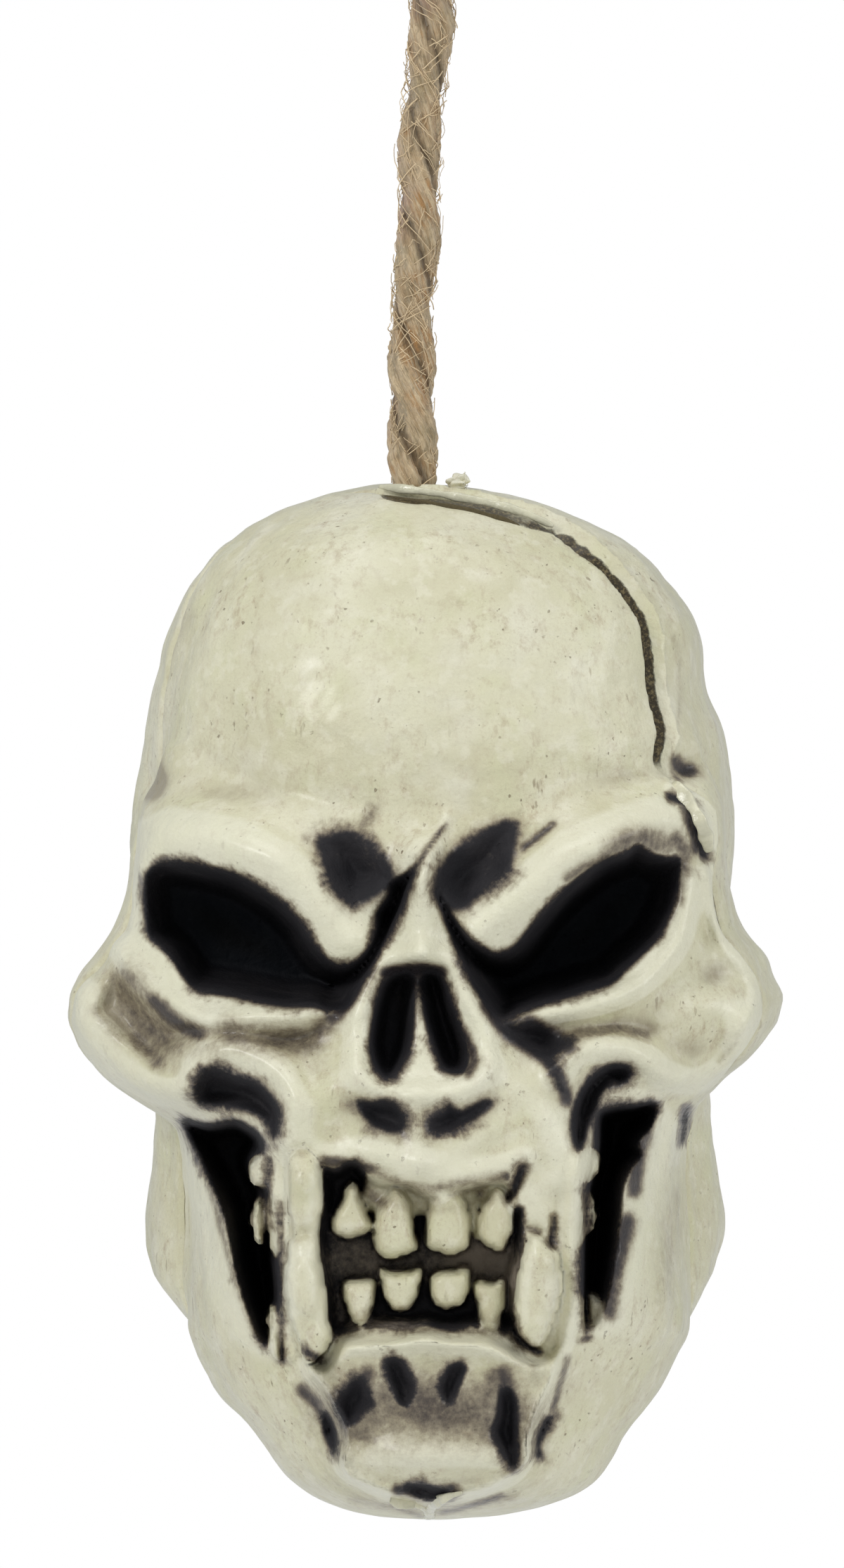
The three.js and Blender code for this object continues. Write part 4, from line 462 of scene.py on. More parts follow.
# Raised plates: height, edge, rim
PLATE_SHARES = {
    "chin_plate": (0.0543, 0.0101, (
        (-0.172, 0.16), (-0.144, 0.157), (-0.119, 0.179), (-0.091, 0.182), (-0.054, 0.184),
        (-0.004, 0.189), (0.031, 0.185), (0.071, 0.184), (0.1, 0.178), (0.129, 0.166), (0.154, 0.161),
        (0.188, 0.174), (0.184, 0.144), (0.162, 0.11), (0.15, 0.084), (0.15, 0.066), (0.139, 0.053),
        (0.109, 0.038), (0.084, 0.029), (0.047, 0.023), (0.017, 0.015), (-0.01, 0.015), (-0.054, 0.024),
        (-0.091, 0.033), (-0.116, 0.042), (-0.126, 0.054), (-0.128, 0.068), (-0.122, 0.083),
        (-0.125, 0.098), (-0.135, 0.111), (-0.151, 0.129), (-0.169, 0.146))),
}
# Teeth and gums: depth of the face, bulge, edge, rim
TOOTH_SHARES = {
    "gum_upper": (-0.4283, 0.0174, 0.0084, (
        (-0.094, 0.312), (-0.09, 0.324), (-0.082, 0.338), (-0.059, 0.343), (-0.024, 0.34),
        (-0.002, 0.338), (0.031, 0.338), (0.071, 0.34), (0.096, 0.338), (0.112, 0.33), (0.118, 0.319),
        (0.114, 0.303), (0.08, 0.305), (0.059, 0.298), (0.031, 0.3), (-0.002, 0.298), (-0.018, 0.297),
        (-0.047, 0.297), (-0.071, 0.297))),
    "upper_1": (-0.463, 0.0283, 0.0109, (
        (-0.112, 0.328), (-0.096, 0.328), (-0.093, 0.315), (-0.087, 0.305), (-0.081, 0.295),
        (-0.074, 0.288), (-0.08, 0.283), (-0.096, 0.277), (-0.117, 0.276), (-0.13, 0.28), (-0.133, 0.291),
        (-0.127, 0.303), (-0.118, 0.313))),
    "upper_2": (-0.4696, 0.0304, 0.0118, (
        (-0.045, 0.324), (-0.031, 0.317), (-0.024, 0.305), (-0.02, 0.291), (-0.016, 0.277),
        (-0.014, 0.266), (-0.029, 0.26), (-0.046, 0.256), (-0.064, 0.258), (-0.073, 0.266),
        (-0.076, 0.277), (-0.074, 0.29), (-0.069, 0.303), (-0.057, 0.315))),
    "upper_3": (-0.4696, 0.0304, 0.0118, (
        (0.007, 0.316), (0.014, 0.322), (0.034, 0.323), (0.048, 0.315), (0.055, 0.303), (0.058, 0.286),
        (0.057, 0.269), (0.045, 0.262), (0.029, 0.26), (0.012, 0.263), (-0.003, 0.268), (-0.004, 0.284),
        (0, 0.3))),
    "upper_4": (-0.463, 0.0283, 0.0109, (
        (0.093, 0.325), (0.109, 0.315), (0.118, 0.303), (0.118, 0.284), (0.111, 0.275), (0.108, 0.267),
        (0.097, 0.263), (0.083, 0.267), (0.073, 0.273), (0.069, 0.282), (0.07, 0.294), (0.075, 0.307),
        (0.084, 0.315))),
    "upper_side": (-0.4348, 0.013, 0.005, (
        (0.06, 0.311), (0.068, 0.311), (0.068, 0.286), (0.065, 0.271), (0.06, 0.286))),
    "lower_1": (-0.4522, 0.0261, 0.0093, (
        (-0.116, 0.234), (-0.094, 0.236), (-0.073, 0.235), (-0.073, 0.22), (-0.077, 0.206),
        (-0.086, 0.195), (-0.096, 0.193), (-0.106, 0.198), (-0.114, 0.214), (-0.119, 0.225))),
    "lower_2": (-0.4565, 0.0261, 0.0093, (
        (-0.066, 0.246), (-0.049, 0.243), (-0.031, 0.244), (-0.009, 0.246), (-0.01, 0.234),
        (-0.013, 0.222), (-0.02, 0.213), (-0.03, 0.206), (-0.043, 0.205), (-0.055, 0.213), (-0.062, 0.225))),
    "lower_3": (-0.4565, 0.0261, 0.0093, (
        (0.005, 0.239), (0.022, 0.245), (0.039, 0.246), (0.058, 0.245), (0.058, 0.231), (0.053, 0.218),
        (0.042, 0.21), (0.022, 0.208), (0.008, 0.214), (0.003, 0.228))),
    "lower_4": (-0.4522, 0.0261, 0.0093, (
        (0.061, 0.232), (0.074, 0.235), (0.089, 0.233), (0.104, 0.236), (0.108, 0.225), (0.108, 0.213),
        (0.102, 0.2), (0.096, 0.189), (0.084, 0.189), (0.073, 0.195), (0.069, 0.208), (0.065, 0.22))),
    "left_stub": (-0.4848, 0.0261, 0.0185, (
        (-0.192, 0.354), (-0.171, 0.362), (-0.149, 0.346), (-0.146, 0.329), (-0.145, 0.312),
        (-0.149, 0.294), (-0.154, 0.281), (-0.184, 0.281), (-0.19, 0.294), (-0.194, 0.312), (-0.195, 0.33))),
    "stub_lump": (-0.4913, 0.0152, 0.0135, (
        (-0.186, 0.34), (-0.165, 0.347), (-0.151, 0.335), (-0.153, 0.32), (-0.171, 0.313), (-0.186, 0.321))),
    "left_fang": (-0.4837, 0.0283, 0.0202, (
        (-0.184, 0.284), (-0.155, 0.284), (-0.148, 0.254), (-0.141, 0.225), (-0.138, 0.199),
        (-0.131, 0.184), (-0.137, 0.174), (-0.153, 0.16), (-0.169, 0.157), (-0.183, 0.182),
        (-0.194, 0.208), (-0.198, 0.234), (-0.194, 0.26))),
    "fang_lump": (-0.4924, 0.013, 0.0151, (
        (-0.19, 0.246), (-0.172, 0.259), (-0.155, 0.248), (-0.149, 0.225), (-0.157, 0.201),
        (-0.176, 0.203), (-0.188, 0.221))),
    "right_fang": (-0.4837, 0.0283, 0.0202, (
        (0.144, 0.279), (0.162, 0.272), (0.177, 0.26), (0.181, 0.243), (0.182, 0.225), (0.177, 0.208),
        (0.168, 0.19), (0.154, 0.172), (0.141, 0.174), (0.123, 0.187), (0.121, 0.199), (0.121, 0.216),
        (0.123, 0.234), (0.128, 0.25), (0.134, 0.265))),
    "left_molar_1": (-0.3804, 0.0239, 0.0076, (
        (-0.247, 0.346), (-0.237, 0.353), (-0.225, 0.353), (-0.219, 0.34), (-0.225, 0.324),
        (-0.241, 0.324), (-0.249, 0.335))),
    "left_molar_6": (-0.3859, 0.0239, 0.0076, (
        (-0.218, 0.353), (-0.204, 0.35), (-0.196, 0.338), (-0.2, 0.32), (-0.216, 0.317), (-0.221, 0.334))),
    "left_molar_2": (-0.3587, 0.0239, 0.0067, (
        (-0.242, 0.305), (-0.231, 0.313), (-0.225, 0.289), (-0.228, 0.266), (-0.239, 0.27),
        (-0.246, 0.288))),
    "left_molar_3": (-0.3696, 0.0239, 0.0067, (
        (-0.223, 0.312), (-0.21, 0.313), (-0.205, 0.288), (-0.208, 0.259), (-0.219, 0.263),
        (-0.224, 0.288))),
    "left_molar_4": (-0.3804, 0.0239, 0.0067, (
        (-0.202, 0.309), (-0.189, 0.303), (-0.185, 0.283), (-0.19, 0.262), (-0.201, 0.26), (-0.203, 0.286))),
    "left_molar_5": (-0.3696, 0.0239, 0.0067, (
        (-0.223, 0.202), (-0.214, 0.21), (-0.206, 0.194), (-0.202, 0.16), (-0.214, 0.16), (-0.222, 0.18))),
    "left_molar_7": (-0.3761, 0.0239, 0.0067, (
        (-0.204, 0.209), (-0.194, 0.203), (-0.183, 0.183), (-0.176, 0.159), (-0.196, 0.155),
        (-0.202, 0.18))),
    "right_molar_1": (-0.3804, 0.0239, 0.0076, (
        (0.21, 0.354), (0.227, 0.359), (0.24, 0.351), (0.237, 0.338), (0.223, 0.331), (0.21, 0.335))),
    "right_molar_2": (-0.3804, 0.0239, 0.0067, (
        (0.2, 0.316), (0.21, 0.319), (0.219, 0.303), (0.221, 0.283), (0.212, 0.27), (0.2, 0.27))),
    "right_molar_3": (-0.3587, 0.0217, 0.0059, (
        (0.221, 0.319), (0.229, 0.315), (0.236, 0.296), (0.231, 0.281), (0.223, 0.279), (0.222, 0.3))),
    "right_molar_4": (-0.3696, 0.0239, 0.0067, (
        (0.202, 0.217), (0.212, 0.218), (0.219, 0.201), (0.216, 0.18), (0.202, 0.18))),
    "right_molar_5": (-0.3587, 0.0239, 0.0067, (
        (0.221, 0.218), (0.233, 0.221), (0.245, 0.203), (0.237, 0.183), (0.225, 0.184), (0.221, 0.201))),
}
# Hollows and ridges made after the teeth, in the same columns as those before
CHIN_HOLLOW_SHARES = {
    "chin_pit_1": (0.0283, None, 0.0168, 0, 1, 0.0118, (
        (-0.096, 0.147), (-0.082, 0.139), (-0.075, 0.127), (-0.071, 0.115), (-0.086, 0.107),
        (-0.104, 0.094), (-0.119, 0.099), (-0.128, 0.111), (-0.13, 0.121), (-0.117, 0.133))),
    "chin_pit_2": (0.0283, None, 0.0135, 0, 1, 0.0067, (
        (-0.061, 0.158), (-0.049, 0.164), (-0.033, 0.16), (-0.023, 0.149), (-0.015, 0.136),
        (-0.018, 0.123), (-0.028, 0.114), (-0.041, 0.117), (-0.05, 0.129), (-0.057, 0.14))),
    "chin_pit_3": (0.0239, None, 0.0126, 0, 1, 0.0076, (
        (0.029, 0.156), (0.047, 0.159), (0.055, 0.152), (0.048, 0.139), (0.04, 0.123), (0.029, 0.114),
        (0.019, 0.121), (0.013, 0.134), (0.021, 0.148))),
    "chin_pit_4": (0.0326, None, 0.0151, 0, 1, 0.0084, (
        (0.097, 0.13), (0.109, 0.137), (0.121, 0.129), (0.127, 0.115), (0.127, 0.098), (0.127, 0.075),
        (0.126, 0.06), (0.116, 0.054), (0.103, 0.066), (0.091, 0.08), (0.085, 0.092), (0.093, 0.109))),
    "chin_left_hollow": (0.0261, None, 0.0101, 0, 1, 0.0084, (
        (-0.148, 0.111), (-0.135, 0.106), (-0.125, 0.09), (-0.123, 0.077), (-0.127, 0.066),
        (-0.139, 0.076), (-0.147, 0.093))),
    "chin_right_hollow": (0.0239, None, 0.0084, 0, 1, 0.0084, (
        (0.161, 0.102), (0.176, 0.103), (0.165, 0.088), (0.157, 0.076), (0.159, 0.064), (0.149, 0.066),
        (0.15, 0.085))),
    "chin_notch": (0.0283, None, 0.0101, 0, 0.95, 0.0076, (
        (-0.041, 0.037), (-0.018, 0.043), (0.012, 0.039), (0.037, 0.034), (0.031, 0.026), (-0.002, 0.024),
        (-0.027, 0.03))),
}
EDGE_RIDGE_SHARES = {
    "muzzle_edge": (0.0196, 0.0076, (
        (0.21, 0.357), (0.202, 0.312), (0.199, 0.274), (0.204, 0.225), (0.196, 0.191), (0.186, 0.154))),
    "chin_lip": (0.013, 0.0109, (
        (-0.165, 0.156), (-0.135, 0.164), (-0.106, 0.174), (-0.054, 0.178), (0.003, 0.18), (0.071, 0.176),
        (0.12, 0.167), (0.157, 0.157))),
    "chin_rim_left": (0.0239, 0.0076, (
        (-0.159, 0.144), (-0.135, 0.121), (-0.12, 0.095), (-0.12, 0.069), (-0.116, 0.052),
        (-0.086, 0.038), (-0.051, 0.028))),
    "chin_rim_right": (0.0239, 0.0076, (
        (0.183, 0.147), (0.159, 0.115), (0.141, 0.085), (0.139, 0.066), (0.12, 0.046), (0.08, 0.034),
        (0.031, 0.024))),
    "chin_boss": (0.0196, 0.0168, ((-0.106, 0.062), (-0.047, 0.068), (0.031, 0.068), (0.09, 0.065))),
    "seam_lip_cheek": (0.0152, 0.0067, (
        (0.339, 0.709), (0.376, 0.68), (0.392, 0.645), (0.39, 0.612), (0.398, 0.577), (0.428, 0.543),
        (0.451, 0.52), (0.453, 0.492), (0.423, 0.456))),
}
# Scored lines: depth, width, how dark, points
GROOVE_SHARES = {
    "molar_line_1": (0.0076, 0.0024, 0.9, ((-0.22, 0.35), (-0.222, 0.32))),
    "molar_line_2": (0.0076, 0.0024, 0.9, ((-0.225, 0.311), (-0.225, 0.265))),
    "molar_line_3": (0.0076, 0.0024, 0.9, ((-0.204, 0.309), (-0.203, 0.26))),
    "molar_line_4": (0.0076, 0.0024, 0.9, ((-0.204, 0.206), (-0.202, 0.159))),
    "molar_line_5": (0.0076, 0.0024, 0.9, ((0.22, 0.315), (0.222, 0.282))),
    "molar_line_6": (0.0076, 0.0024, 0.9, ((0.22, 0.214), (0.221, 0.184))),
    "column_waist": (0.0087, 0.0067, 0.45, ((-0.194, 0.284), (-0.174, 0.279), (-0.149, 0.282))),
    "left_frown_line": (0.0065, 0.0076, 0.6, ((-0.032, 0.61), (-0.018, 0.631), (-0.002, 0.649))),
    "right_frown_line": (0.0087, 0.0059, 0.7, ((0.131, 0.648), (0.151, 0.659), (0.174, 0.671))),
    "left_rim_crease": (0.0109, 0.0084, 0.66, (
        (-0.407, 0.52), (-0.369, 0.498), (-0.32, 0.476), (-0.272, 0.473))),
    "right_rim_crease": (0.0109, 0.0109, 0.45, (
        (0.141, 0.475), (0.188, 0.475), (0.255, 0.476), (0.302, 0.473))),
    "slit_right": (0.0152, 0.005, 0.95, ((0.13, 0.343), (0.122, 0.327), (0.112, 0.313))),
    "fang_crease": (0.0087, 0.005, 0.7, ((0.137, 0.285), (0.147, 0.285), (0.155, 0.281))),
    "fang_slit": (0.0109, 0.0034, 0.9, ((0.174, 0.296), (0.173, 0.283), (0.171, 0.27))),
    "fang_foot": (0.013, 0.005, 0.9, ((0.114, 0.197), (0.122, 0.183), (0.134, 0.174), (0.154, 0.166))),
    "column_foot": (0.0109, 0.005, 0.95, ((-0.167, 0.168), (-0.159, 0.164), (-0.152, 0.161))),
    "jaw_slit_right": (0.0174, 0.005, 0.95, ((0.36, 0.395), (0.359, 0.378), (0.357, 0.364))),
    "cheek_crease_right": (0.0109, 0.005, 0.5, ((0.429, 0.463), (0.417, 0.453), (0.405, 0.442))),
    "torn_crack": (0.0152, 0.0067, 0.95, (
        (0.338, 0.697), (0.359, 0.692), (0.368, 0.68), (0.374, 0.663), (0.384, 0.642))),
    "corner_crease": (0.0065, 0.0042, 0.7, ((0.351, 0.636), (0.366, 0.631), (0.38, 0.62))),
    "left_temple_line": (0.013, 0.0185, 0.1, (
        (-0.339, 0.87), (-0.365, 0.815), (-0.374, 0.761), (-0.372, 0.72))),
}
# Dimples: depth, centre, radii, how dark
DIMPLE_SHARES = {
    "nose_top": (0.0217, (-0.014, 0.522), (0.033, 0.014), 0.9),
    "left_temple": (0.0152, (-0.38, 0.712), (0.013, 0.015), 0.15),
    "right_temple": (0.0261, (0.359, 0.723), (0.024, 0.011), 1),
    "right_cheek_dish": (0.0141, (0.398, 0.525), (0.025, 0.016), 0.35),
    "spot_corner": (0.0087, (-0.174, 0.357), (0.012, 0.007), 0.7),
    "gum_spot": (0.0109, (0.073, 0.317), (0.01, 0.007), 1.1),
    "tooth_gap": (0.0065, (-0.012, 0.283), (0.009, 0.018), 1.1),
    "chin_spot": (0.0043, (0.055, 0.106), (0.009, 0.006), 0.6),
}
# Smudges of the wash and painted shade, each along a line: how dark, half width, points
STAIN_AND_SHADE_SHARES = {
    "left_pit_smear": (0.55, 0.0115, ((-0.135, 0.661), (-0.091, 0.67), (-0.076, 0.686))),
    "left_pit_speck": (0.6, 0.0061, ((-0.171, 0.66), (-0.163, 0.655))),
    "left_pit_side": (0.6, 0.0081, ((-0.062, 0.642), (-0.042, 0.625))),
    "left_frown": (0.75, 0.0047, ((-0.014, 0.633), (0.007, 0.655), (0.025, 0.671))),
    "left_nose_side": (0.9, 0.0081, ((-0.09, 0.524), (-0.112, 0.498), (-0.131, 0.486))),
    "left_nose_fade": (0.6, 0.0176, ((-0.127, 0.492), (-0.149, 0.475), (-0.161, 0.46))),
    "left_cheek_dark": (0.78, 0.0115, ((-0.382, 0.503), (-0.351, 0.482), (-0.317, 0.471))),
    "left_cheek_mid": (0.64, 0.0312, ((-0.419, 0.515), (-0.404, 0.486), (-0.365, 0.463))),
    "left_cheek_low": (0.68, 0.0149, ((-0.404, 0.467), (-0.374, 0.445))),
    "left_cheek_out": (0.5, 0.0136, ((-0.459, 0.49), (-0.429, 0.469))),
    "left_cheek_wide": (0.42, 0.019, ((-0.351, 0.456), (-0.272, 0.459), (-0.204, 0.463))),
    "left_under": (0.6, 0.0244, ((-0.272, 0.471), (-0.219, 0.464), (-0.169, 0.463))),
    "nose_top_smoke": (1, 0.0088, ((-0.057, 0.529), (-0.012, 0.533), (0.018, 0.53))),
    "nostril_right": (0.8, 0.0081, ((0.047, 0.476), (0.063, 0.449), (0.055, 0.434))),
    "nostril_left": (0.5, 0.0061, ((-0.071, 0.517), (-0.08, 0.483))),
    "nose_corner": (0.45, 0.0047, ((0.08, 0.449), (0.09, 0.425))),
    "lip_left": (0.6, 0.0149, ((-0.106, 0.405), (-0.067, 0.387), (-0.032, 0.38))),
    "lip_right": (0.6, 0.0136, ((0.002, 0.38), (0.041, 0.387), (0.09, 0.408))),
    "right_fold": (0.95, 0.0095, (
        (0.08, 0.5), (0.11, 0.472), (0.151, 0.453), (0.178, 0.435), (0.192, 0.408))),
    "right_fold_lobe": (0.95, 0.0136, ((0.139, 0.48), (0.192, 0.461))),
    "right_under": (0.64, 0.0115, ((0.202, 0.469), (0.255, 0.476), (0.302, 0.471))),
    "right_brow_top": (0.63, 0.019, ((0.259, 0.648), (0.288, 0.658), (0.329, 0.652))),
    "right_brow_under": (0.68, 0.0095, ((0.194, 0.621), (0.221, 0.632), (0.249, 0.642))),
    "right_brow_end": (0.68, 0.0122, ((0.345, 0.659), (0.357, 0.642), (0.353, 0.625))),
    "right_rim_end": (0.6, 0.0081, ((0.349, 0.625), (0.351, 0.61), (0.349, 0.596))),
    "right_slash": (0.8, 0.0054, ((0.131, 0.648), (0.151, 0.659), (0.174, 0.672))),
    "right_pit_smear": (0.5, 0.0068, ((0.09, 0.674), (0.129, 0.681))),
    "forehead_scuff": (0.25, 0.0081, ((0.237, 0.712), (0.286, 0.686))),
    "left_notch_brown": (0.7, 0.0109, ((-0.314, 0.431), (-0.302, 0.408))),
    "left_wall": (0.6, 0.0061, ((-0.223, 0.388), (-0.21, 0.361))),
    "mouth_corner": (0.6, 0.0068, ((-0.149, 0.343), (-0.137, 0.351))),
    "gum_left": (0.95, 0.0115, ((-0.101, 0.344), (-0.084, 0.321), (-0.065, 0.311))),
    "gum_middle": (0.65, 0.0088, ((-0.047, 0.324), (-0.018, 0.319), (0.012, 0.312))),
    "gum_right": (0.8, 0.0088, ((0.036, 0.319), (0.08, 0.324))),
    "right_slit": (1, 0.0054, ((0.13, 0.343), (0.114, 0.312))),
    "fang_top": (0.7, 0.0054, ((0.135, 0.286), (0.155, 0.281))),
    "fang_foot": (0.8, 0.0047, ((0.118, 0.189), (0.134, 0.174), (0.154, 0.166))),
    "column": (0.9, 0.0061, ((-0.167, 0.168), (-0.153, 0.163))),
    "pit_1": (0.75, 0.0149, ((-0.084, 0.147), (-0.106, 0.12), (-0.116, 0.098))),
    "pit_1_low": (0.66, 0.0149, ((-0.106, 0.09), (-0.078, 0.085))),
    "pit_2": (0.7, 0.0088, ((-0.047, 0.161), (-0.035, 0.117))),
    "pit_3": (0.7, 0.0088, ((0.046, 0.159), (0.029, 0.117))),
    "pit_4": (0.8, 0.0129, ((0.105, 0.147), (0.118, 0.11), (0.118, 0.062))),
    # On the chin plate: partly a brown smudge, partly painted shade
    "plate_middle": (0.5, 0.0203, ((-0.086, 0.09), (-0.008, 0.099), (0.08, 0.094))),
    "plate_wide": (0.64, 0.057, ((-0.106, 0.107), (-0.008, 0.117), (0.1, 0.11))),
    "pit_4_side": (0.65, 0.0122, ((0.09, 0.147), (0.08, 0.117), (0.09, 0.083))),
    "mouth_top_smoke": (0.8, 0.0088, (
        (-0.143, 0.349), (-0.106, 0.347), (-0.067, 0.338), (-0.008, 0.324), (0.051, 0.33), (0.106, 0.334))),
    "lower_roots": (0.62, 0.0088, ((-0.112, 0.201), (-0.047, 0.208), (0.024, 0.209), (0.094, 0.197))),
    "upper_roots": (0.6, 0.0095, ((-0.108, 0.323), (-0.067, 0.313), (0.012, 0.303), (0.09, 0.313))),
    "mouth_low_smoke": (0.6, 0.0075, ((-0.127, 0.183), (-0.047, 0.189), (0.031, 0.189), (0.106, 0.186))),
    "mouth_right_smoke": (0.4, 0.0122, ((0.09, 0.252), (0.118, 0.246), (0.112, 0.218))),
    "plate_corner": (0.45, 0.0081, ((0.144, 0.154), (0.154, 0.137))),
    "notch": (0.9, 0.0088, ((-0.041, 0.035), (-0.008, 0.034), (0.036, 0.035))),
    "left_of_plate": (0.75, 0.0102, ((-0.174, 0.129), (-0.147, 0.109), (-0.135, 0.079))),
    "right_of_plate": (0.65, 0.0061, ((0.194, 0.161), (0.176, 0.117), (0.157, 0.076))),
    "right_foot": (0.8, 0.0061, ((0.21, 0.178), (0.225, 0.18))),
    # Under the chin and beside the drip: painted shade
    "under_chin": (0.45, 0.0102, ((-0.106, 0.022), (-0.037, 0.014), (0.031, 0.014), (0.12, 0.027))),
    "beside_drip_left": (0.62, 0.0061, ((-0.049, 0.018), (-0.029, 0.011), (-0.01, 0.005))),
    "beside_drip_right": (0.7, 0.0061, ((0.02, 0.009), (0.055, 0.016), (0.102, 0.027))),
    "right_gap_stain": (0.8, 0.0115, ((0.304, 0.381), (0.291, 0.347), (0.286, 0.32))),
    "right_gap_low": (0.85, 0.0136, ((0.276, 0.29), (0.259, 0.246), (0.249, 0.205))),
    "left_gap_edge": (0.6, 0.0068, ((-0.331, 0.368), (-0.302, 0.32), (-0.268, 0.239), (-0.238, 0.181))),
    "jaw_slit": (0.7, 0.0054, ((0.366, 0.395), (0.368, 0.373))),
    # Low on the jaw's sides and along the rear crease: painted shade
    "jaw_right_low": (0.36, 0.0203, ((0.345, 0.313), (0.325, 0.212))),
    "rear_crease": (0.4, 0.0054, ((0.343, 0.853), (0.351, 0.829), (0.353, 0.798), (0.347, 0.768))),
    "jaw_left_low": (0.2, 0.0176, ((-0.302, 0.212), (-0.263, 0.137))),
    "crown": (0.4, 0.0068, ((-0.062, 0.988), (-0.008, 0.983), (0.041, 0.978))),
    "crown_left": (0.3, 0.0054, ((-0.135, 0.968), (-0.086, 0.983))),
    "left_temple": (0.55, 0.0061, ((-0.376, 0.716), (-0.378, 0.705))),
    "right_temple": (0.9, 0.0088, ((0.345, 0.734), (0.351, 0.718))),
    "right_temple_fade": (0.5, 0.0115, ((0.36, 0.73), (0.376, 0.72))),
    "torn_smudge": (0.85, 0.0075, ((0.353, 0.693), (0.365, 0.669), (0.372, 0.646))),
}
# Where the wash lies thin in the mouth: how thin, half width, points
HAZE_SHARES = {
    "mouth_haze": (0.6, 0.0298, ((-0.12, 0.258), (-0.008, 0.251), (0.102, 0.248))),
    "mouth_haze_right": (1, 0.0217, ((0.041, 0.256), (0.102, 0.252), (0.114, 0.225))),
    "mouth_haze_low": (0.5, 0.0109, ((-0.12, 0.218), (-0.11, 0.197), (-0.008, 0.191))),
}
# Films the mould left, and a painted shadow: width, thickness and lift off the face at both ends, in
# millimetres, then the line
FILM_SHARES = {
    "seam_lip_crown": (1, 0.9, (0.5, 0.8), (
        (-0.07, 0.998), (-0.008, 0.993), (0.051, 0.986), (0.11, 0.977), (0.154, 0.966), (0.178, 0.958))),
    # A dark strip that stands for the shadow under the crown's lip, with some dirt of the seam
    "crown_shadow": (0.62, 0.4, (0.1, 0.1), (
        (-0.063, 0.988), (-0.008, 0.982), (0.051, 0.975), (0.102, 0.966), (0.131, 0.958))),
    "torn_edge": (1.6, 0.45, (0.3, 1.4), (
        (0.339, 0.712), (0.359, 0.696), (0.374, 0.68), (0.385, 0.662), (0.392, 0.643))),
    "chin_chip": (1.7, 0.5, (0.6, 0.3), ((-0.055, 0.026), (-0.035, 0.023), (-0.014, 0.02))),
    "chin_drip": (1.2, 0.6, (0.0, 0.2), (
        (0.051, 0.033), (0.027, 0.028), (0.01, 0.021), (0.003, 0.012), (0.003, 0.001))),
    "chin_drip_branch": (0.9, 0.5, (0.0, 0.2), (
        (-0.031, 0.022), (-0.016, 0.019), (-0.004, 0.014), (0.002, 0.006))),
}

# Small sums
def smoothstep(a, b, v):
    t = np.clip((v - a) / (b - a), 0, 1)
    return t * t * (3 - 2 * t)


def bell_at(v, middle, width):
    return np.exp(-((v - middle) / width) ** 2)


def between(a, b, c, d, t):
    """A place on the smooth curve from b to c that comes from a and goes on to d."""
    return 0.5 * (2 * b + (c - a) * t + (2 * a - 5 * b + 4 * c - d) * t ** 2
                  + (3 * b - a - 3 * c + d) * t ** 3)


def blended_least(a, b, k):
    h = np.clip(0.5 + 0.5 * (b - a) / k, 0, 1)
    return b + (a - b) * h - k * h * (1 - h)


def column(rows, index, at):
    """A smooth line through one column of a table against its first, that never overshoots."""
    heights = np.array([row[0] for row in rows])
    values = np.array([row[index] for row in rows])
    secants = np.diff(values) / np.diff(heights)
    slopes = np.zeros_like(values)
    slopes[0], slopes[-1] = secants[0], secants[-1]
    for i in range(1, len(values) - 1):
        a, b = secants[i - 1], secants[i]
        slopes[i] = 0 if a * b <= 0 else 2 * a * b / (a + b)
    s = np.clip(at, heights[0], heights[-1])
    i = np.clip(np.searchsorted(heights, s) - 1, 0, len(heights) - 2)
    h = heights[i + 1] - heights[i]
    t = (s - heights[i]) / h
    t2, t3 = t * t, t * t * t
    return ((2 * t3 - 3 * t2 + 1) * values[i] + (t3 - 2 * t2 + t) * h * slopes[i]
            + (3 * t2 - 2 * t3) * values[i + 1] + (t3 - t2) * h * slopes[i + 1])


# The head as lofted masses
class Loft:
    """One lofted mass, from a table of sections, at the heights it is asked for."""

    def __init__(self, rows, z, top_share=1.0, foot_share=0.0, foot_start_share=FOOT_END_SHARE):
        share = z / SKULL_HEIGHT
        self.low, self.high = rows[0][0] * SKULL_HEIGHT, rows[-1][0] * SKULL_HEIGHT
        self.z = z
        up = np.clip((share - CAP_START_SHARE) / (top_share - CAP_START_SHARE), 0, None)
        down = np.clip((foot_start_share - share) / (foot_start_share - foot_share), 0, None)
        self.rounding = up ** CAP_POWER + down ** CAP_POWER
        cap = np.clip(1 - self.rounding, 0, 1) ** (1 / CAP_POWER)
        left, right = (column(rows, i, share) * FACE_WIDTH for i in (1, 2))
        self.half = (right - left) / 2
        self.centre = (left + right) / 2 * cap
        self.widest, self.front, self.back = (column(rows, i, share) * SKULL_DEPTH for i in (3, 4, 5))
        self.front_power, self.back_power = (column(rows, i, share) for i in (6, 7))
        self.cap = cap

    def front_depth(self, x):
        """Depth of the front at sideways places x and this loft's heights, held at its edge past it."""
        reach = np.abs(x[:, None] - self.centre) / np.maximum(self.half * self.cap, 1e-6)
        arc = (1 - np.clip(reach, 0, 1) ** self.front_power) ** (1 / self.front_power)
        return np.where((self.z > self.high) | (self.z < self.low), SKULL_DEPTH,
                        self.widest + (self.front - self.widest) * self.cap * arc)

    def solid(self, x, y, shift=None):
        """A field that is negative inside, about as long as a distance. The front is moved back by shift."""
        across = (np.abs(x[:, None] - self.centre) / self.half)[:, None, :]
        ahead = y if shift is None else y - shift[:, None, :]
        front = np.clip((self.widest - ahead) / (self.widest - self.front), 0, None)
        back = np.clip((y - self.widest) / (self.back - self.widest), 0, None)
        field = 0
        for part, power in ((front, self.front_power), (back, self.back_power)):
            plan = across ** power + part ** power
            plan **= CAP_POWER / power
            field = np.maximum(field, (plan + self.rounding) ** (1 / CAP_POWER))
        field = (field - 1) * (self.half * 0.8 + 0.2 * (self.widest - self.front))
        return np.maximum(field, np.maximum(self.low - self.z, self.z - self.high))


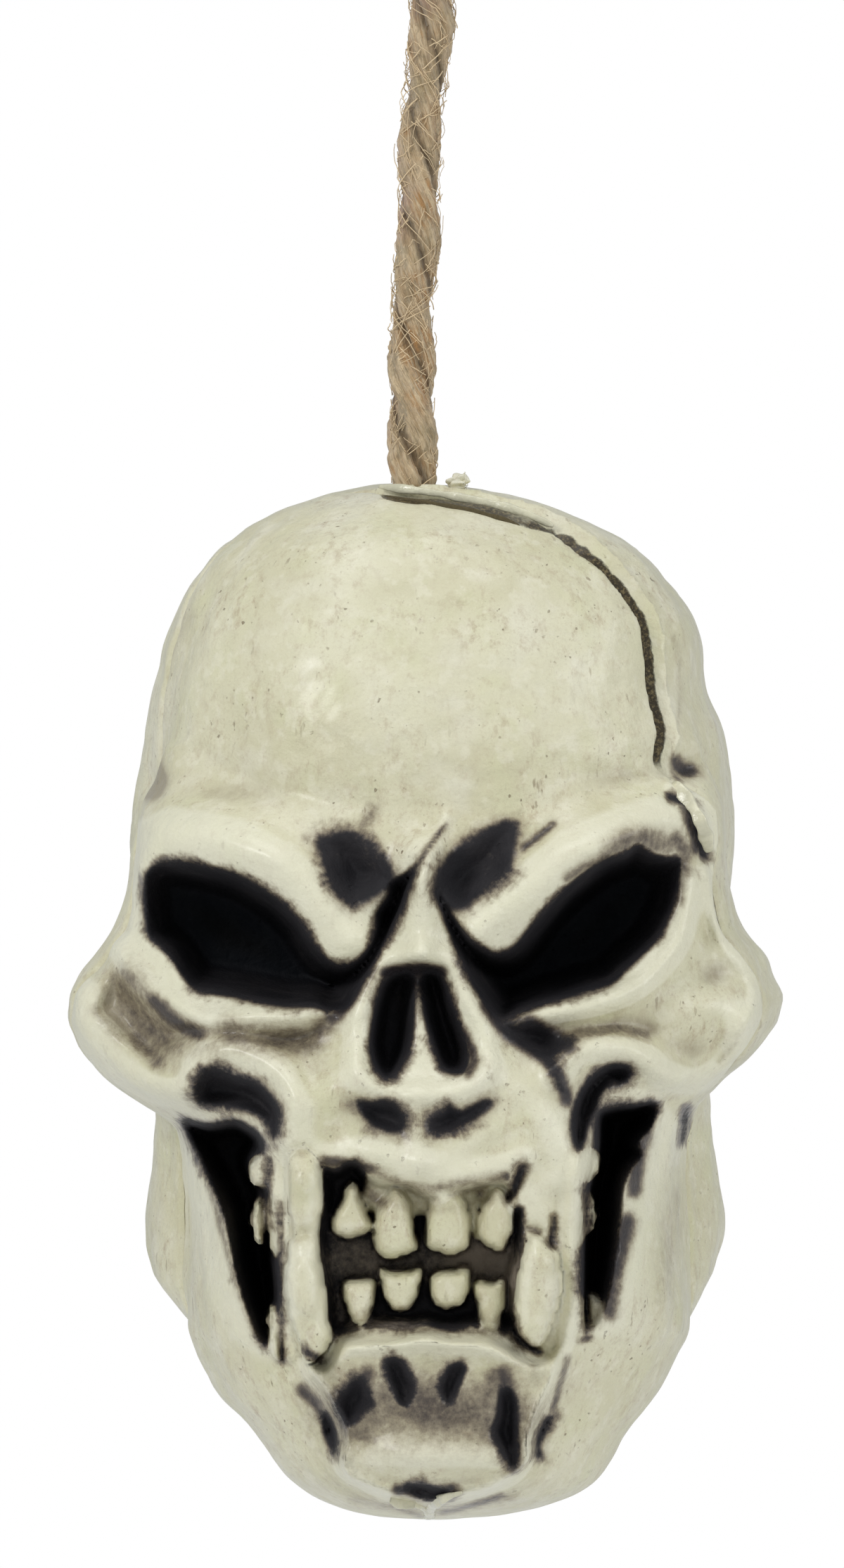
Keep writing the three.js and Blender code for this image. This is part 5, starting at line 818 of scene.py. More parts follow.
# The face as steps that move its depth, drawn as seen from the front
def curve_points(shares, closed):
    """Points of a smooth curve through places given as shares of the face's width and the skull's height."""
    p = np.array([(x * FACE_WIDTH, z * SKULL_HEIGHT) for x, z in shares])
    last = len(p) - 1
    points = []
    for i in range(len(p) if closed else last):
        near = [p[k % len(p) if closed else min(max(k, 0), last)] for k in range(i - 1, i + 3)]
        points.extend(between(*near, k / LINE_STEPS) for k in range(LINE_STEPS))
    points.append(p[0] if closed else p[-1])
    return np.array(points)


def line_distance(x, z, points, closed):
    """Distance to a curve, negative inside a closed one, and how far along it the nearest point is."""
    best = np.full(x.shape, np.inf)
    along = np.zeros(x.shape)
    inside = np.zeros(x.shape, bool)
    run = 0.0
    for (ax, az), (bx, bz) in zip(points[:-1], points[1:]):
        ex, ez = bx - ax, bz - az
        length = math.hypot(ex, ez)
        t = np.clip(((x - ax) * ex + (z - az) * ez) / max(length * length, 1e-18), 0, 1)
        d = (x - ax - t * ex) ** 2 + (z - az - t * ez) ** 2
        nearer = d < best
        best = np.where(nearer, d, best)
        along = np.where(nearer, run + t * length, along)
        if closed and az != bz:
            inside ^= ((az > z) != (bz > z)) & (x < ax + (z - az) * ex / ez)
        run += length
    d = np.sqrt(best)
    return (np.where(inside, -d, d) if closed else d), along


class Relief:
    """The face over a grid of sideways and upward places: how far its front is moved back from the plain
    head, how far inside a dark hollow each place is, how much smoke and painted shade it has, and how far
    along a hollow's rim it lies."""

    def __init__(self, x, z):
        self.x, self.z = x, z
        self.grid_x, self.grid_z = np.meshgrid(x, z, indexing="ij")
        braincase, mask = Loft(BRAINCASE_SHARES, z), Loft(MASK_SHARES, z)
        plain = blended_least(braincase.front_depth(x), mask.front_depth(x), BLEND_SHARE * SKULL_DEPTH)
        self.depth = plain.copy()
        self.wash = np.full(plain.shape, UNWASHED)
        self.along, self.smoke_and_shade, self.haze, self.tooth_part, self.proud = np.zeros((5, *plain.shape))
        for row in RIDGE_SHARES.values():
            self.ridge(*row)
        for height, centre, radii in SWELLING_SHARES.values():
            self.depth -= height * SKULL_DEPTH * self.bell(centre, radii)
        for row in HOLLOW_SHARES.values():
            self.hollow(*row)
        for height, edge, rim in PLATE_SHARES.values():
            d, _ = self.distance(rim, True)
            plate = height * SKULL_DEPTH * smoothstep(0, edge * SKULL_HEIGHT, -d)
            self.depth -= plate
            self.proud += plate
        for row in TOOTH_SHARES.values():
            self.tooth(*row)
        for row in CHIN_HOLLOW_SHARES.values():
            self.hollow(*row)
        for row in EDGE_RIDGE_SHARES.values():
            self.ridge(*row)
        for depth, width, dark, line in GROOVE_SHARES.values():
            d, along = self.distance(line, False)
            self.depth += depth * SKULL_DEPTH * bell_at(d, 0, width * SKULL_HEIGHT)
            self.paint(d - GROOVE_DARK_PART * width * SKULL_HEIGHT, along, dark, width * SKULL_HEIGHT)
        for depth, centre, radii, dark in DIMPLE_SHARES.values():
            bell = self.bell(centre, radii)
            self.depth += depth * SKULL_DEPTH * bell
            self.smoke_and_shade = np.maximum(self.smoke_and_shade, dark * bell)
        # Smudges of the wash and painted shade, each along its line
        for dark, width, line in STAIN_AND_SHADE_SHARES.values():
            self.smoke_and_shade = np.maximum(self.smoke_and_shade, dark * self.along_line(width, line))
        for thinness, width, line in HAZE_SHARES.values():
            self.haze = np.maximum(self.haze, thinness * self.along_line(width, line))
        self.smoke_and_shade *= 1 - TOOTH_CLEAN_PART * self.tooth_part
        self.shift = self.depth - plain

    def at(self, values, x, z):
        """A map over the face at places of it, between its own by straight lines."""
        step = self.x[1] - self.x[0]
        u = np.clip((x - self.x[0]) / step, 0, len(self.x) - 1.001)
        v = np.clip((z - self.z[0]) / step, 0, len(self.z) - 1.001)
        i, j = u.astype(int), v.astype(int)
        a, b = u - i, v - j
        return ((values[i, j] * (1 - a) + values[i + 1, j] * a) * (1 - b)
                + (values[i, j + 1] * (1 - a) + values[i + 1, j + 1] * a) * b)

    def distance(self, line, closed):
        return line_distance(self.grid_x, self.grid_z, curve_points(line, closed), closed)

    def bell(self, centre, radii):
        u = (self.grid_x / FACE_WIDTH - centre[0]) / radii[0]
        v = (self.grid_z / SKULL_HEIGHT - centre[1]) / radii[1]
        return np.exp(-(u * u + v * v))

    def along_line(self, width, line):
        """1 on a line and less away from it."""
        d, _ = self.distance(line, False)
        return bell_at(d, 0, width * SKULL_HEIGHT)

    def paint(self, d, along, dark, fade):
        """Full dark goes into the wash, and a thinner one into the smoke."""
        if dark > WASHED_FROM:
            inward = -d * np.minimum(CRISP_FADE / fade, 1)
            inward = np.minimum(inward, SHALLOW_DARK if dark < DEEP_FROM else np.inf)
            self.along = np.where(inward > self.wash, along, self.along)
            self.wash = np.maximum(self.wash, inward)
            if fade > CRISP_FADE * 1.1:
                self.smoke_and_shade = np.maximum(self.smoke_and_shade, smoothstep(2 * fade, 0, d) * 0.5)
        else:
            self.smoke_and_shade = np.maximum(self.smoke_and_shade, dark * smoothstep(1.5 * fade, -1.5 * fade, d))

    def ridge(self, height, width, line):
        self.depth -= height * SKULL_DEPTH * self.along_line(width, line)

    def hollow(self, depth, floor, edge, lip, dark, fade, rim):
        d, along = self.distance(rim, True)
        if lip:
            raised = bell_at(d, LIP_PLACE_SHARE * SKULL_HEIGHT, LIP_WIDTH_SHARE * SKULL_HEIGHT)
            self.depth -= lip * SKULL_DEPTH * raised
        sunk = smoothstep(0, edge * SKULL_HEIGHT, -d)
        if floor is None:
            self.depth += depth * SKULL_DEPTH * sunk
        else:
            self.depth += np.maximum(floor * SKULL_DEPTH - self.depth, 0) * sunk
        self.paint(d, along, dark, fade * SKULL_HEIGHT)

    def tooth(self, face, bulge, edge, rim):
        d, _ = self.distance(rim, True)
        inward = np.clip(-d / (edge * SKULL_HEIGHT), 0, 1)
        front = (face + bulge * (1 - np.sqrt(1 - (1 - inward) ** 2))) * SKULL_DEPTH
        shaped = np.where(d < 0, np.minimum(self.depth, front), self.depth)
        self.proud += self.depth - shaped
        self.depth = shaped
        self.tooth_part = np.maximum(self.tooth_part, smoothstep(TOOTH_EDGE, -2 * TOOTH_EDGE, d))
        self.wash = np.minimum(self.wash, np.where(d < TOOTH_BAND, TOOTH_WIPE * (d - TOOTH_EDGE), np.inf))


def blurred(values, radius):
    """Values smoothed by a bell of that many grid steps."""
    reach = np.arange(-3 * radius, 3 * radius + 1)
    bell = np.exp(-reach ** 2 / (2 * radius ** 2))
    bell /= bell.sum()
    for axis in (0, 1):
        margins = [(3 * radius, 3 * radius) if a == axis else (0, 0) for a in (0, 1)]
        padded = np.pad(values, margins, "edge")
        values = np.apply_along_axis(lambda line: np.convolve(line, bell, "valid"), axis, padded)
    return values


# The seam between the two shells
def seam_depth(x, z):
    left, middle, right, inner, outer = (column(SEAM_SHARES, i, z / SKULL_HEIGHT) for i in range(1, 6))
    to_left = smoothstep(inner, outer, -x / FACE_WIDTH)
    to_right = smoothstep(inner, outer, x / FACE_WIDTH)
    return (middle + (left - middle) * to_left + (right - middle) * to_right) * SKULL_DEPTH


def seam_offset(x, y, z):
    """Distance behind the seam surface, negative in front of it."""
    near = SHELL_GAP
    depth = seam_depth(x, z)
    slope = np.hypot(seam_depth(x + near, z) - depth, seam_depth(x, z + near) - depth) / near
    return (y - depth) / np.hypot(1, slope)


def crown_height():
    """How high the crown is where the rope goes in."""
    z = np.linspace(0.9 * SKULL_HEIGHT, SKULL_HEIGHT, 2000)[:-1]
    depth = Loft(BRAINCASE_SHARES, z).front_depth(np.array([HOLE_SIDEWAYS]))[0]
    return float(z[np.nonzero(depth <= HOLE_DEPTH)[0][-1]])


HOLE_DEPTH = float(seam_depth(np.array(HOLE_SIDEWAYS), np.array(SKULL_HEIGHT))) + HOLE_MOUTH + HOLE_LAND
CROWN_Z = crown_height()
HEAD_PLACE = Vector((ROPE_ROUTE[0][0] - HOLE_SIDEWAYS, -HOLE_DEPTH, STEM_FOOT - CROWN_Z))


def lumps(x, y, z, size, seed):
    """A smooth wandering value from -1 to 1 with swells of about that size."""
    draw = np.random.default_rng(seed)
    total = 0
    for _ in range(7):
        direction = draw.normal(size=3)
        direction *= 2 * math.pi / (size * np.linalg.norm(direction) * draw.uniform(0.7, 1.5))
        total = total + np.sin(x * direction[0] + y * direction[1] + z * direction[2] + draw.uniform(0, 6.3))
    return total / 3.5


def seam_zones(side, share):
    """Where along the seam its moulding fault shows: the open groove, the lip beside it and the cheek's edge.
    Sideways places and the numbers beside them are shares of the face's width, and heights of the skull's."""
    groove = smoothstep(0.09, 0.13, side) * smoothstep(0.72, 0.74, share) * smoothstep(0.972, 0.955, share)
    lip = smoothstep(-0.075, -0.06, side) * smoothstep(0.72, 0.75, share)
    cheek = smoothstep(0.15, 0.2, side) * smoothstep(0.5, 0.53, share) * smoothstep(0.71, 0.69, share)
    return groove, lip, cheek


def seam_trim(side, share, offset):
    """What the moulding left along the seam: positive raises the skin, negative cuts into it. Its rows are
    in millimetres: height, then middle and width across the seam."""
    groove, lip, cheek = seam_zones(side, share)
    raised = ((0.85 * lip, 0.75, 0.6), (0.9 * cheek, -0.5, 0.7))
    cut = ((1.5 * groove, -0.4, 0.6), (0.4 * lip, -0.5, 0.5), (0.4 * cheek + 0.3, 0.0, 0.5))
    up, down = (sum(height * bell_at(offset, middle * MM, width * MM) for height, middle, width in rows)
                for rows in (raised, cut))
    return (up - down) * MM


class Head:
    """The head as a field on a grid of points, negative in the moulding."""

    def __init__(self, step, front):
        margin = 3 * step
        half = FACE_WIDTH / 2 + 2 * MM
        ends = [share * SKULL_DEPTH for share in (FRONT_GRID_SHARES if front else REAR_GRID_SHARES)]
        self.step = step
        self.x = np.arange(-half - margin, half + margin, step)
        self.y = np.arange(ends[0], ends[1] + margin, step)
        self.z = np.arange(-margin, SKULL_HEIGHT + margin, step)
        self.relief = Relief(self.x, self.z)
        x, y, z = (a.astype(np.float32) for a in (self.x, self.y, self.z))
        deep_y = np.broadcast_to(y[None, :, None], (len(x), len(y), len(z)))
        shift = self.relief.shift.astype(np.float32)
        masses = (Loft(rows, z).solid(x, deep_y, shift) for rows in (BRAINCASE_SHARES, MASK_SHARES))
        outside = blended_least(*masses, BLEND_SHARE * SKULL_DEPTH)
        wide_x, tall_z = x[:, None, None], z[None, None, :]
        seam = seam_depth(self.relief.grid_x, self.relief.grid_z)
        steepness = np.hypot(1, np.hypot(*np.gradient(seam, step)))
        offset = (deep_y - seam.astype(np.float32)[:, None, :]) / steepness.astype(np.float32)[:, None, :]
        outside = outside - seam_trim(wide_x / FACE_WIDTH, tall_z / SKULL_HEIGHT, offset)
        for height, size, seed in LUMPS:
            outside = outside + height * MM * lumps(wide_x, deep_y, tall_z, size * MM, seed)
        wall_share = CROWN_WALL / SKULL_HEIGHT
        inside = np.minimum(Loft(MAIN_HOLLOW_SHARES, z, 1 - wall_share, wall_share).solid(x, deep_y),
                            Loft(MUZZLE_HOLLOW_SHARES, z).solid(x, deep_y))
        moulding = np.maximum(outside, -inside)
        away = np.hypot(wide_x - HOLE_SIDEWAYS, deep_y - HOLE_DEPTH)
        bore = np.minimum(away - HOLE_RADIUS, away - HOLE_MOUTH - (tall_z - CROWN_Z))
        moulding = np.maximum(moulding, np.where(tall_z > CROWN_Z - HOLE_REACH, -bore, -SKULL_DEPTH))
        half_gap = SHELL_GAP / 2
        tuck = smoothstep(SEAM_TUCK_BELOW, SEAM_TUCK_BELOW + SEAM_TUCK / 2, -outside)
        offset = offset + SEAM_TUCK * tuck
        face = offset + half_gap if front else half_gap - offset
        self.field = -blended_least(-moulding, -face, EDGE_ROUND)
        self.outside = outside

    def sample(self, field, points):
        """A grid's values at points, between its own by straight lines."""
        place = (points - (self.x[0], self.y[0], self.z[0])) / self.step
        low = np.clip(place.astype(int), 0, np.array(field.shape) - 2)
        part = np.clip(place - low, 0, 1)
        total = 0
        for corner in itertools.product((0, 1), repeat=3):
            weight = math.prod(np.where(far, part[:, a], 1 - part[:, a]) for a, far in enumerate(corner))
            total = total + weight * field[tuple(low[:, a] + far for a, far in enumerate(corner))]
        return total

    def normals(self, field, points):
        reaches = 0.8 * self.step * np.eye(3)
        normal = np.stack([self.sample(field, points + reach) - self.sample(field, points - reach)
                           for reach in reaches], -1)
        return normal / np.maximum(np.linalg.norm(normal, axis=1, keepdims=True), 1e-12)

    def map_at(self, values, points):
        """A map over the face at points of the head."""
        return self.relief.at(values, points[:, 0], points[:, 2])


def new_object(name, data):
    obj = bpy.data.objects.new(name, data)
    bpy.context.scene.collection.objects.link(obj)
    return obj


def mesh_from(name, points, faces):
    mesh = bpy.data.meshes.new(name)
    mesh.from_pydata(points.tolist(), [], faces)
    return mesh


def smooth_object(name, mesh, material):
    """An object whose faces are shaded as one smooth surface."""
    mesh.polygons.foreach_set("use_smooth", np.ones(len(mesh.polygons), bool))
    mesh.materials.append(material)
    return new_object(name, mesh)


def object_from(name, b, material):
    """A smooth object from a bmesh, which it frees."""
    mesh = bpy.data.meshes.new(name)
    b.to_mesh(mesh)
    b.free()
    return smooth_object(name, mesh, material)


def point_values(mesh, key, values):
    """Writes one number for each point, for the materials to read."""
    attribute = mesh.attributes.new(key, "FLOAT", "POINT")
    attribute.data.foreach_set("value", np.asarray(values, np.float32))


def thin(obj, ratio, spare):
    """Takes faces away where the surface is plain, first of all at the points that spare is true for."""
    group = obj.vertex_groups.new(name="spare")
    for weight, chosen in ((0.1, ~spare), (1.0, spare)):
        group.add(np.nonzero(chosen)[0].tolist(), weight, "REPLACE")
    modifier = obj.modifiers.new("thin", "DECIMATE")
    modifier.ratio = ratio
    modifier.vertex_group = group.name
    bpy.context.view_layer.update()
    evaluated = obj.evaluated_get(bpy.context.evaluated_depsgraph_get())
    mesh = bpy.data.meshes.new_from_object(evaluated)
    obj.modifiers.clear()
    obj.data = mesh
    obj.vertex_groups.clear()


def shell(name, step, front, most_triangles):
    """One of the two shells, meshed from the head's field, with its paint as attributes of its points."""
    head = Head(step, front)
    grid = openvdb.FloatGrid(SKULL_DEPTH)
    grid.copyFromArray(head.field.astype(np.float32))
    points, quads = grid.convertToQuads(isovalue=0)
    points = points * step + np.array((head.x[0], head.y[0], head.z[0]))
    mesh = mesh_from(name, points, quads.tolist())
    mesh.validate()
    obj = new_object(name, mesh)
    if 2 * len(quads) > most_triangles:
        thin(obj, most_triangles / (2 * len(quads)), np.abs(head.sample(head.outside, points)) > SKIN_DEPTH)
    mesh = obj.data
    mesh.name = name
    points = np.zeros(3 * len(mesh.vertices))
    mesh.vertices.foreach_get("co", points)
    points = points.reshape(-1, 3)
    relief = head.relief
    reach, strength, ahead_by = seam_darkening(points)
    # How sunk each place is against its surroundings, for shade painted into hollows and a highlight painted
    # on crests
    sunk = np.minimum(relief.shift + relief.proud, CAVITY_DEPTH)
    near, far = (sunk - blurred(sunk, int(round(around / step))) for around in (NEAR_REACH, FAR_REACH))
    shallow = np.where(relief.tooth_part > 0.5, np.minimum(near, 0), near + 0.5 * far)
    normals = head.normals(head.field, points)
    if front:
        ahead = smoothstep(FACE_ENDED, FACE_WHOLE, points[:, 1] - head.map_at(relief.depth, points))
        facing = ahead
    else:
        ahead = 0
        facing = smoothstep(0.1, 0.4, -normals[:, 1]) * smoothstep(2 * FACE_ENDED, FACE_ENDED, points[:, 1])
    values = {
        "wash": np.where(ahead > 0.5, head.map_at(relief.wash, points), UNWASHED) / MM,
        "seam": np.clip(seam_offset(*points.T) / MM + ahead_by, -5, 5),
        "seam_reach": reach,
        "seam_strength": strength,
        "along": head.map_at(relief.along, points) / MM,
        "smoke_and_shade": head.map_at(relief.smoke_and_shade, points) * facing,
        "haze": head.map_at(relief.haze, points) * ahead,
        "cavity": head.map_at(shallow, points) / MM * ahead,
        "skin": smoothstep(SKIN_DEPTH, SKIN_WHOLE, np.abs(head.sample(head.outside, points))),
    }
    for key, value in values.items():
        point_values(mesh, key, value)
    mesh.polygons.foreach_set("use_smooth", np.ones(len(mesh.polygons), bool))
    mesh.normals_split_custom_set_from_vertices(normals.tolist())
    mesh.transform(Matrix.Translation(HEAD_PLACE))
    return obj, relief


def seam_darkening(points):
    """How far the dark reaches in front of the seam at each point, in millimetres, how strong it is, and how
    far in front of the seam it begins. Under the crown's lip this dark is a painted shadow of the lip."""
    side, share = points[:, 0] / FACE_WIDTH, points[:, 2] / SKULL_HEIGHT
    groove, lip, cheek = seam_zones(side, share)
    jaw = smoothstep(0.2, 0.3, np.abs(side)) * smoothstep(0.25, 0.33, share) * smoothstep(0.42, 0.38, share)
    shadow = lip * smoothstep(0.2, 0.1, side)
    strength = np.maximum(np.maximum(groove, 0.7 * shadow), 0.2 + 0.5 * jaw + 0.25 * cheek)
    return 0.3 + 1.0 * groove + 2.2 * shadow, strength, 0.6 * shadow


# Shader sums written as expressions
class Sum:
    """A socket that takes part in sums."""

    def __init__(self, tree, socket):
        self.tree, self.socket = tree, socket

    def math(self, operation, *others):
        return self.tree.node("ShaderNodeMath", {"operation": operation}, self, *others)

    def __add__(self, other):
        return self.math("ADD", other)

    def __mul__(self, other):
        return self.math("MULTIPLY", other)

    def __sub__(self, other):
        return self.math("SUBTRACT", other)

    def __rsub__(self, other):
        return self.tree.node("ShaderNodeMath", {"operation": "SUBTRACT"}, other, self)

    def most(self, other):
        return self.math("MAXIMUM", other)

    def ramp(self, low, high):
        """0 below low, 1 above high and a smooth rise between."""
        smooth = {"interpolation_type": "SMOOTHSTEP"}
        return self.tree.node("ShaderNodeMapRange", smooth, self, low, high, 0.0, 1.0)

    __radd__ = __add__
    __rmul__ = __mul__


class Finish:
    """A material's nodes, made by one method."""

    def __init__(self, name, roughness, constants=()):
        self.material = bpy.data.materials.new(name)
        self.material.use_nodes = True
        self.nodes = self.material.node_tree.nodes
        self.links = self.material.node_tree.links
        self.shader = self.nodes["Principled BSDF"]
        self.shader.inputs["Roughness"].default_value = roughness
        for key, value in dict(constants).items():
            self.shader.inputs[key].default_value = value

    def node(self, kind, settings, *values, output=0, **named):
        node = self.nodes.new(kind)
        for key, value in settings.items():
            setattr(node, key, value)
        for key, value in [*enumerate(values), *named.items()]:
            socket = node.inputs[key if isinstance(key, int) else key.replace("_", " ").title()]
            if isinstance(value, Sum):
                self.links.new(value.socket, socket)
            elif value is not None:
                socket.default_value = value
        return Sum(self, node.outputs[output])

    def place(self):
        return self.node("ShaderNodeTexCoord", {}, output=3)

    def attribute(self, name):
        return self.node("ShaderNodeAttribute", {"attribute_name": name}, output=2)

    def noise(self, vector, size, detail=2.0, rough=0.5, stretch=(1.0, 1.0, 1.0), shift=(0.0, 0.0, 0.0)):
        """Clouds of about that size, in metres, from 0 to 1."""
        vector = self.node("ShaderNodeMapping", {}, vector, scale=stretch, location=shift)
        return self.node("ShaderNodeTexNoise", {}, vector, scale=1 / size, detail=detail, roughness=rough)

    def mix(self, part, first, second):
        node = self.nodes.new("ShaderNodeMix")
        node.data_type = "RGBA"
        for index, value in ((0, part), (6, first), (7, second)):
            if isinstance(value, Sum):
                self.links.new(value.socket, node.inputs[index])
            else:
                node.inputs[index].default_value = (*value, 1) if index else value
        return Sum(self, node.outputs[2])

    def over(self, colour, *layers):
        """A colour with others laid over it in turn, each by how much of it shows."""
        for part, layer in layers:
            colour = self.mix(part, colour, srgb(*layer))
        return colour

    def vector(self, x, y, z):
        return self.node("ShaderNodeCombineXYZ", {}, x, y, z)

    def feed(self, **values):
        for key, value in values.items():
            self.links.new(value.socket, self.shader.inputs[key.replace("_", " ").title()])

    def bump(self, height, distance, normal=None):
        return self.node("ShaderNodeBump", {}, strength=1.0, distance=distance, height=height, normal=normal)


def srgb(*levels):
    """A colour given as a paint chart would, 0 to 255, as light."""
    return tuple(((c / 255 + 0.055) / 1.055) ** 2.4 if c > 10 else c / 255 / 12.92 for c in levels)


def moulded_bone(settings):
    """Pale ivory plastic with a soft gloss and a dark wash wiped into its hollows, with shade painted into
    its recesses and under the crown's lip, and a highlight painted on its crests.
    """
    f = Finish("moulded bone", 0.34, {"Coat Weight": 0.25, "Coat Roughness": 0.22, "Specular IOR Level": 0.2})
    place = f.place()
    skin = f.attribute("skin")
    cloud = f.noise(place, 16 * MM, 3)
    tint = f.noise(place, 7 * MM, 2, shift=(0.3, 0.1, 0.7))
    wear = f.noise(place, 1.5 * MM, 6, 0.72, (1.0, 1.0, 0.6))
    grain = f.noise(place, 0.4 * MM, 3, 0.7)
    where = f.noise(place, 8 * MM, 3).ramp(0.35, 0.66)
    rubbed = wear.ramp(0.48, 0.7) * (where * 0.35 + 0.16) + grain.ramp(0.5, 0.75) * (where * 0.2 + 0.1)
    pale = f.noise(place, 2.2 * MM, 3, 0.6)
    scratches = f.noise(place, 1.1 * MM, 3, 0.55, (0.9, 0.9, 0.22)).ramp(0.66, 0.72) * where
    specks = f.noise(place, 0.8 * MM, 2, 0.5).ramp(0.69, 0.76) * where
    bone = f.over(f.mix(cloud.ramp(0.3, 0.7), settings.bone_shade, settings.bone),
                  (tint.ramp(0.5, 0.75) * 0.45, CREAM),
                  (tint.ramp(0.5, 0.28) * 0.5, OLIVE),
                  (rubbed, WORN_TAN),
                  (pale.ramp(0.52, 0.66) * 0.35, CHALK),
                  (specks.most(scratches * 0.8) * 0.7, SCRATCH_BROWN))
    along, wash = f.attribute("along"), f.attribute("wash")
    streaks = f.noise(f.vector(along, wash * 0.25, 0.0), 0.8, 3, 0.6)
    ragged = f.noise(place, 0.9 * MM, 5, 0.68)
    blotch = f.noise(place, 4.5 * MM, 3)
    soft = blotch.ramp(0.42, 0.62)
    wander = (streaks - 0.5) * (soft * 0.8 + 0.2) + (ragged - 0.5) * (soft + 0.4)
    dark = (wash + wander).ramp(-0.15, 0.3)
    near = (wash + wander).ramp(soft * -0.8 - 0.7, 0.3)
    # Smudges of the wash, some of them painted shade, and the thin paint of the hollows
    smoke_and_shade = f.attribute("smoke_and_shade") * skin
    stain_and_shade = smoke_and_shade + (ragged - 0.5) * (smoke_and_shade.ramp(0.02, 0.3) * 0.38) + (blotch - 0.5) * 0.3
    # Where the face is sunk against its surroundings it is painted darker as shade, along with the wash's
    # fringe and the smudges
    cavity = f.attribute("cavity")
    deep = (cavity + (ragged - 0.5) * 0.6 + (blotch - 0.5) * 0.5).ramp(0.15, 1.5)
    soil_and_shade = (near * 0.75).most(stain_and_shade.ramp(0.08, 1.0) * 0.9).most(deep * 0.42)
    # Crests get wear and a painted highlight; soiled places get dust, smoke and soot colours that are partly
    # painted shade
    bone = f.over(bone,
                  ((cavity * -1.0).ramp(0.05, 0.7) * 0.6, CREST_WEAR_AND_HIGHLIGHT),
                  (soil_and_shade.ramp(0.0, 0.55) * 0.8, DUST_AND_SHADE),
                  (soil_and_shade.ramp(0.3, 0.75) * 0.95, SMOKE_AND_SHADE_BROWN),
                  (soil_and_shade.ramp(0.55, 0.95), SOOT_AND_SHADE))
    haze = f.attribute("haze") + (blotch - 0.5) * 0.9 + (ragged - 0.5) * 1.1
    pool = f.over(srgb(*WASH_GREY), (blotch.ramp(0.3, 0.7), WASH_BLOTCH),
                  (haze.ramp(0.15, 1.1), THIN_WASH))
    # Deeper inside a hollow the wash is painted darker, down to black, as shade
    pool = f.mix(wash.ramp(1.6, 4.2), pool, settings.wash)
    bone = f.mix(dark, bone, f.over(pool, (wash.ramp(4.0, 7.0), DEEP_HOLLOW_SHADE)))
    # The seam's dark edge and groove, and under the crown's lip a painted shadow of the lip
    seam, strength = f.attribute("seam"), f.attribute("seam_strength")
    ahead = (seam + f.attribute("seam_reach") + (ragged - 0.5) * 0.35).ramp(-0.1, 0.2)
    seam = ahead * (seam + (ragged - 0.5) * 0.1).ramp(0.42, 0.3) * strength
    seam = (seam + (ragged - 0.5) * (1.0 - strength) * seam * 2.5).ramp(0.1, 0.75)
    porous_edge_and_shadow = f.over(srgb(*SEAM_DARK_AND_SHADOW), (grain.ramp(0.45, 0.7), SEAM_PALE_SPECK))
    f.feed(base_color=f.mix(seam, bone, porous_edge_and_shadow), coat_weight=(1.0 - dark) * 0.34,
           roughness=dark * 0.35 + f.noise(place, 3 * MM, 3) * 0.3 + 0.2)
    fine = f.noise(place, 0.75 * MM, 4, 0.62)
    broad = f.noise(place, 3.5 * MM, 3)
    f.feed(normal=f.bump(fine * 0.55 + broad * 1.1 - specks * 0.4 - seam * 0.6, 0.3 * MM))
    return f.material


def jute(settings, seed):
    """Loosely spun plant fibre: streaks that follow the strands, and shade painted into the grooves between
    the plies.
    """
    sheen = {"Specular IOR Level": 0.25, "Sheen Weight": 0.25, "Sheen Roughness": 0.5}
    f = Finish(f"jute {seed}", 0.85, sheen)
    uv, place = f.node("ShaderNodeTexCoord", {}, output=2), f.place()
    fibres = f.noise(uv, 1.0, 4, 0.65, (22.0, 1.6, 1.0), (seed, 0.0, 0.0))
    hairs = f.noise(uv, 1.0, 3, 0.65, (80.0, 5.0, 1.0), (0.0, seed, 0.0))
    cloud = f.noise(place, 6 * MM, 3)
    blush = f.noise(place, 11 * MM, 2, shift=(0.2, 0.5, 0.1))
    tangle = f.noise(place, 1.3 * MM, 4, 0.65, (1.0, 1.0, 0.45))
    # Where a point lies in the groove between the plies, painted as shade
    ply_gap_shade = f.attribute("ply_gap_shade")
    colour = f.over(f.mix(fibres.ramp(0.32, 0.66), settings.jute_shade, settings.jute),
                    (hairs.ramp(0.5, 0.7) * 0.7, STRAW),
                    (hairs.ramp(0.48, 0.3) * 0.7, BARK),
                    (cloud.ramp(0.5, 0.64) * fibres.ramp(0.62, 0.4) * 0.7, AMBER),
                    (cloud.ramp(0.46, 0.34) * 0.35, MOSS),
                    (blush.ramp(0.56, 0.72) * 0.5, BLUSH),
                    (tangle.ramp(0.5, 0.36) * 0.5, HUSK),
                    (tangle.ramp(0.56, 0.7) * 0.4, OAT),
                    (ply_gap_shade * 0.75 + ply_gap_shade * tangle.ramp(0.6, 0.4) * 0.2, PLY_GAP_SHADE))
    f.feed(base_color=colour, normal=f.bump(fibres + hairs * 0.6, 0.5 * MM))
    return f.material


def plain_finish(name, colour, roughness, size, constants=()):
    """One colour with a slight cloudiness, for small pieces."""
    f = Finish(name, roughness, constants)
    cloud = f.noise(f.place(), size, 3)
    f.feed(base_color=f.mix(cloud.ramp(0.3, 0.7), tuple(0.8 * c for c in colour), colour),
           normal=f.bump(f.noise(f.place(), size / 3, 3), 0.15 * MM))
    return f.material


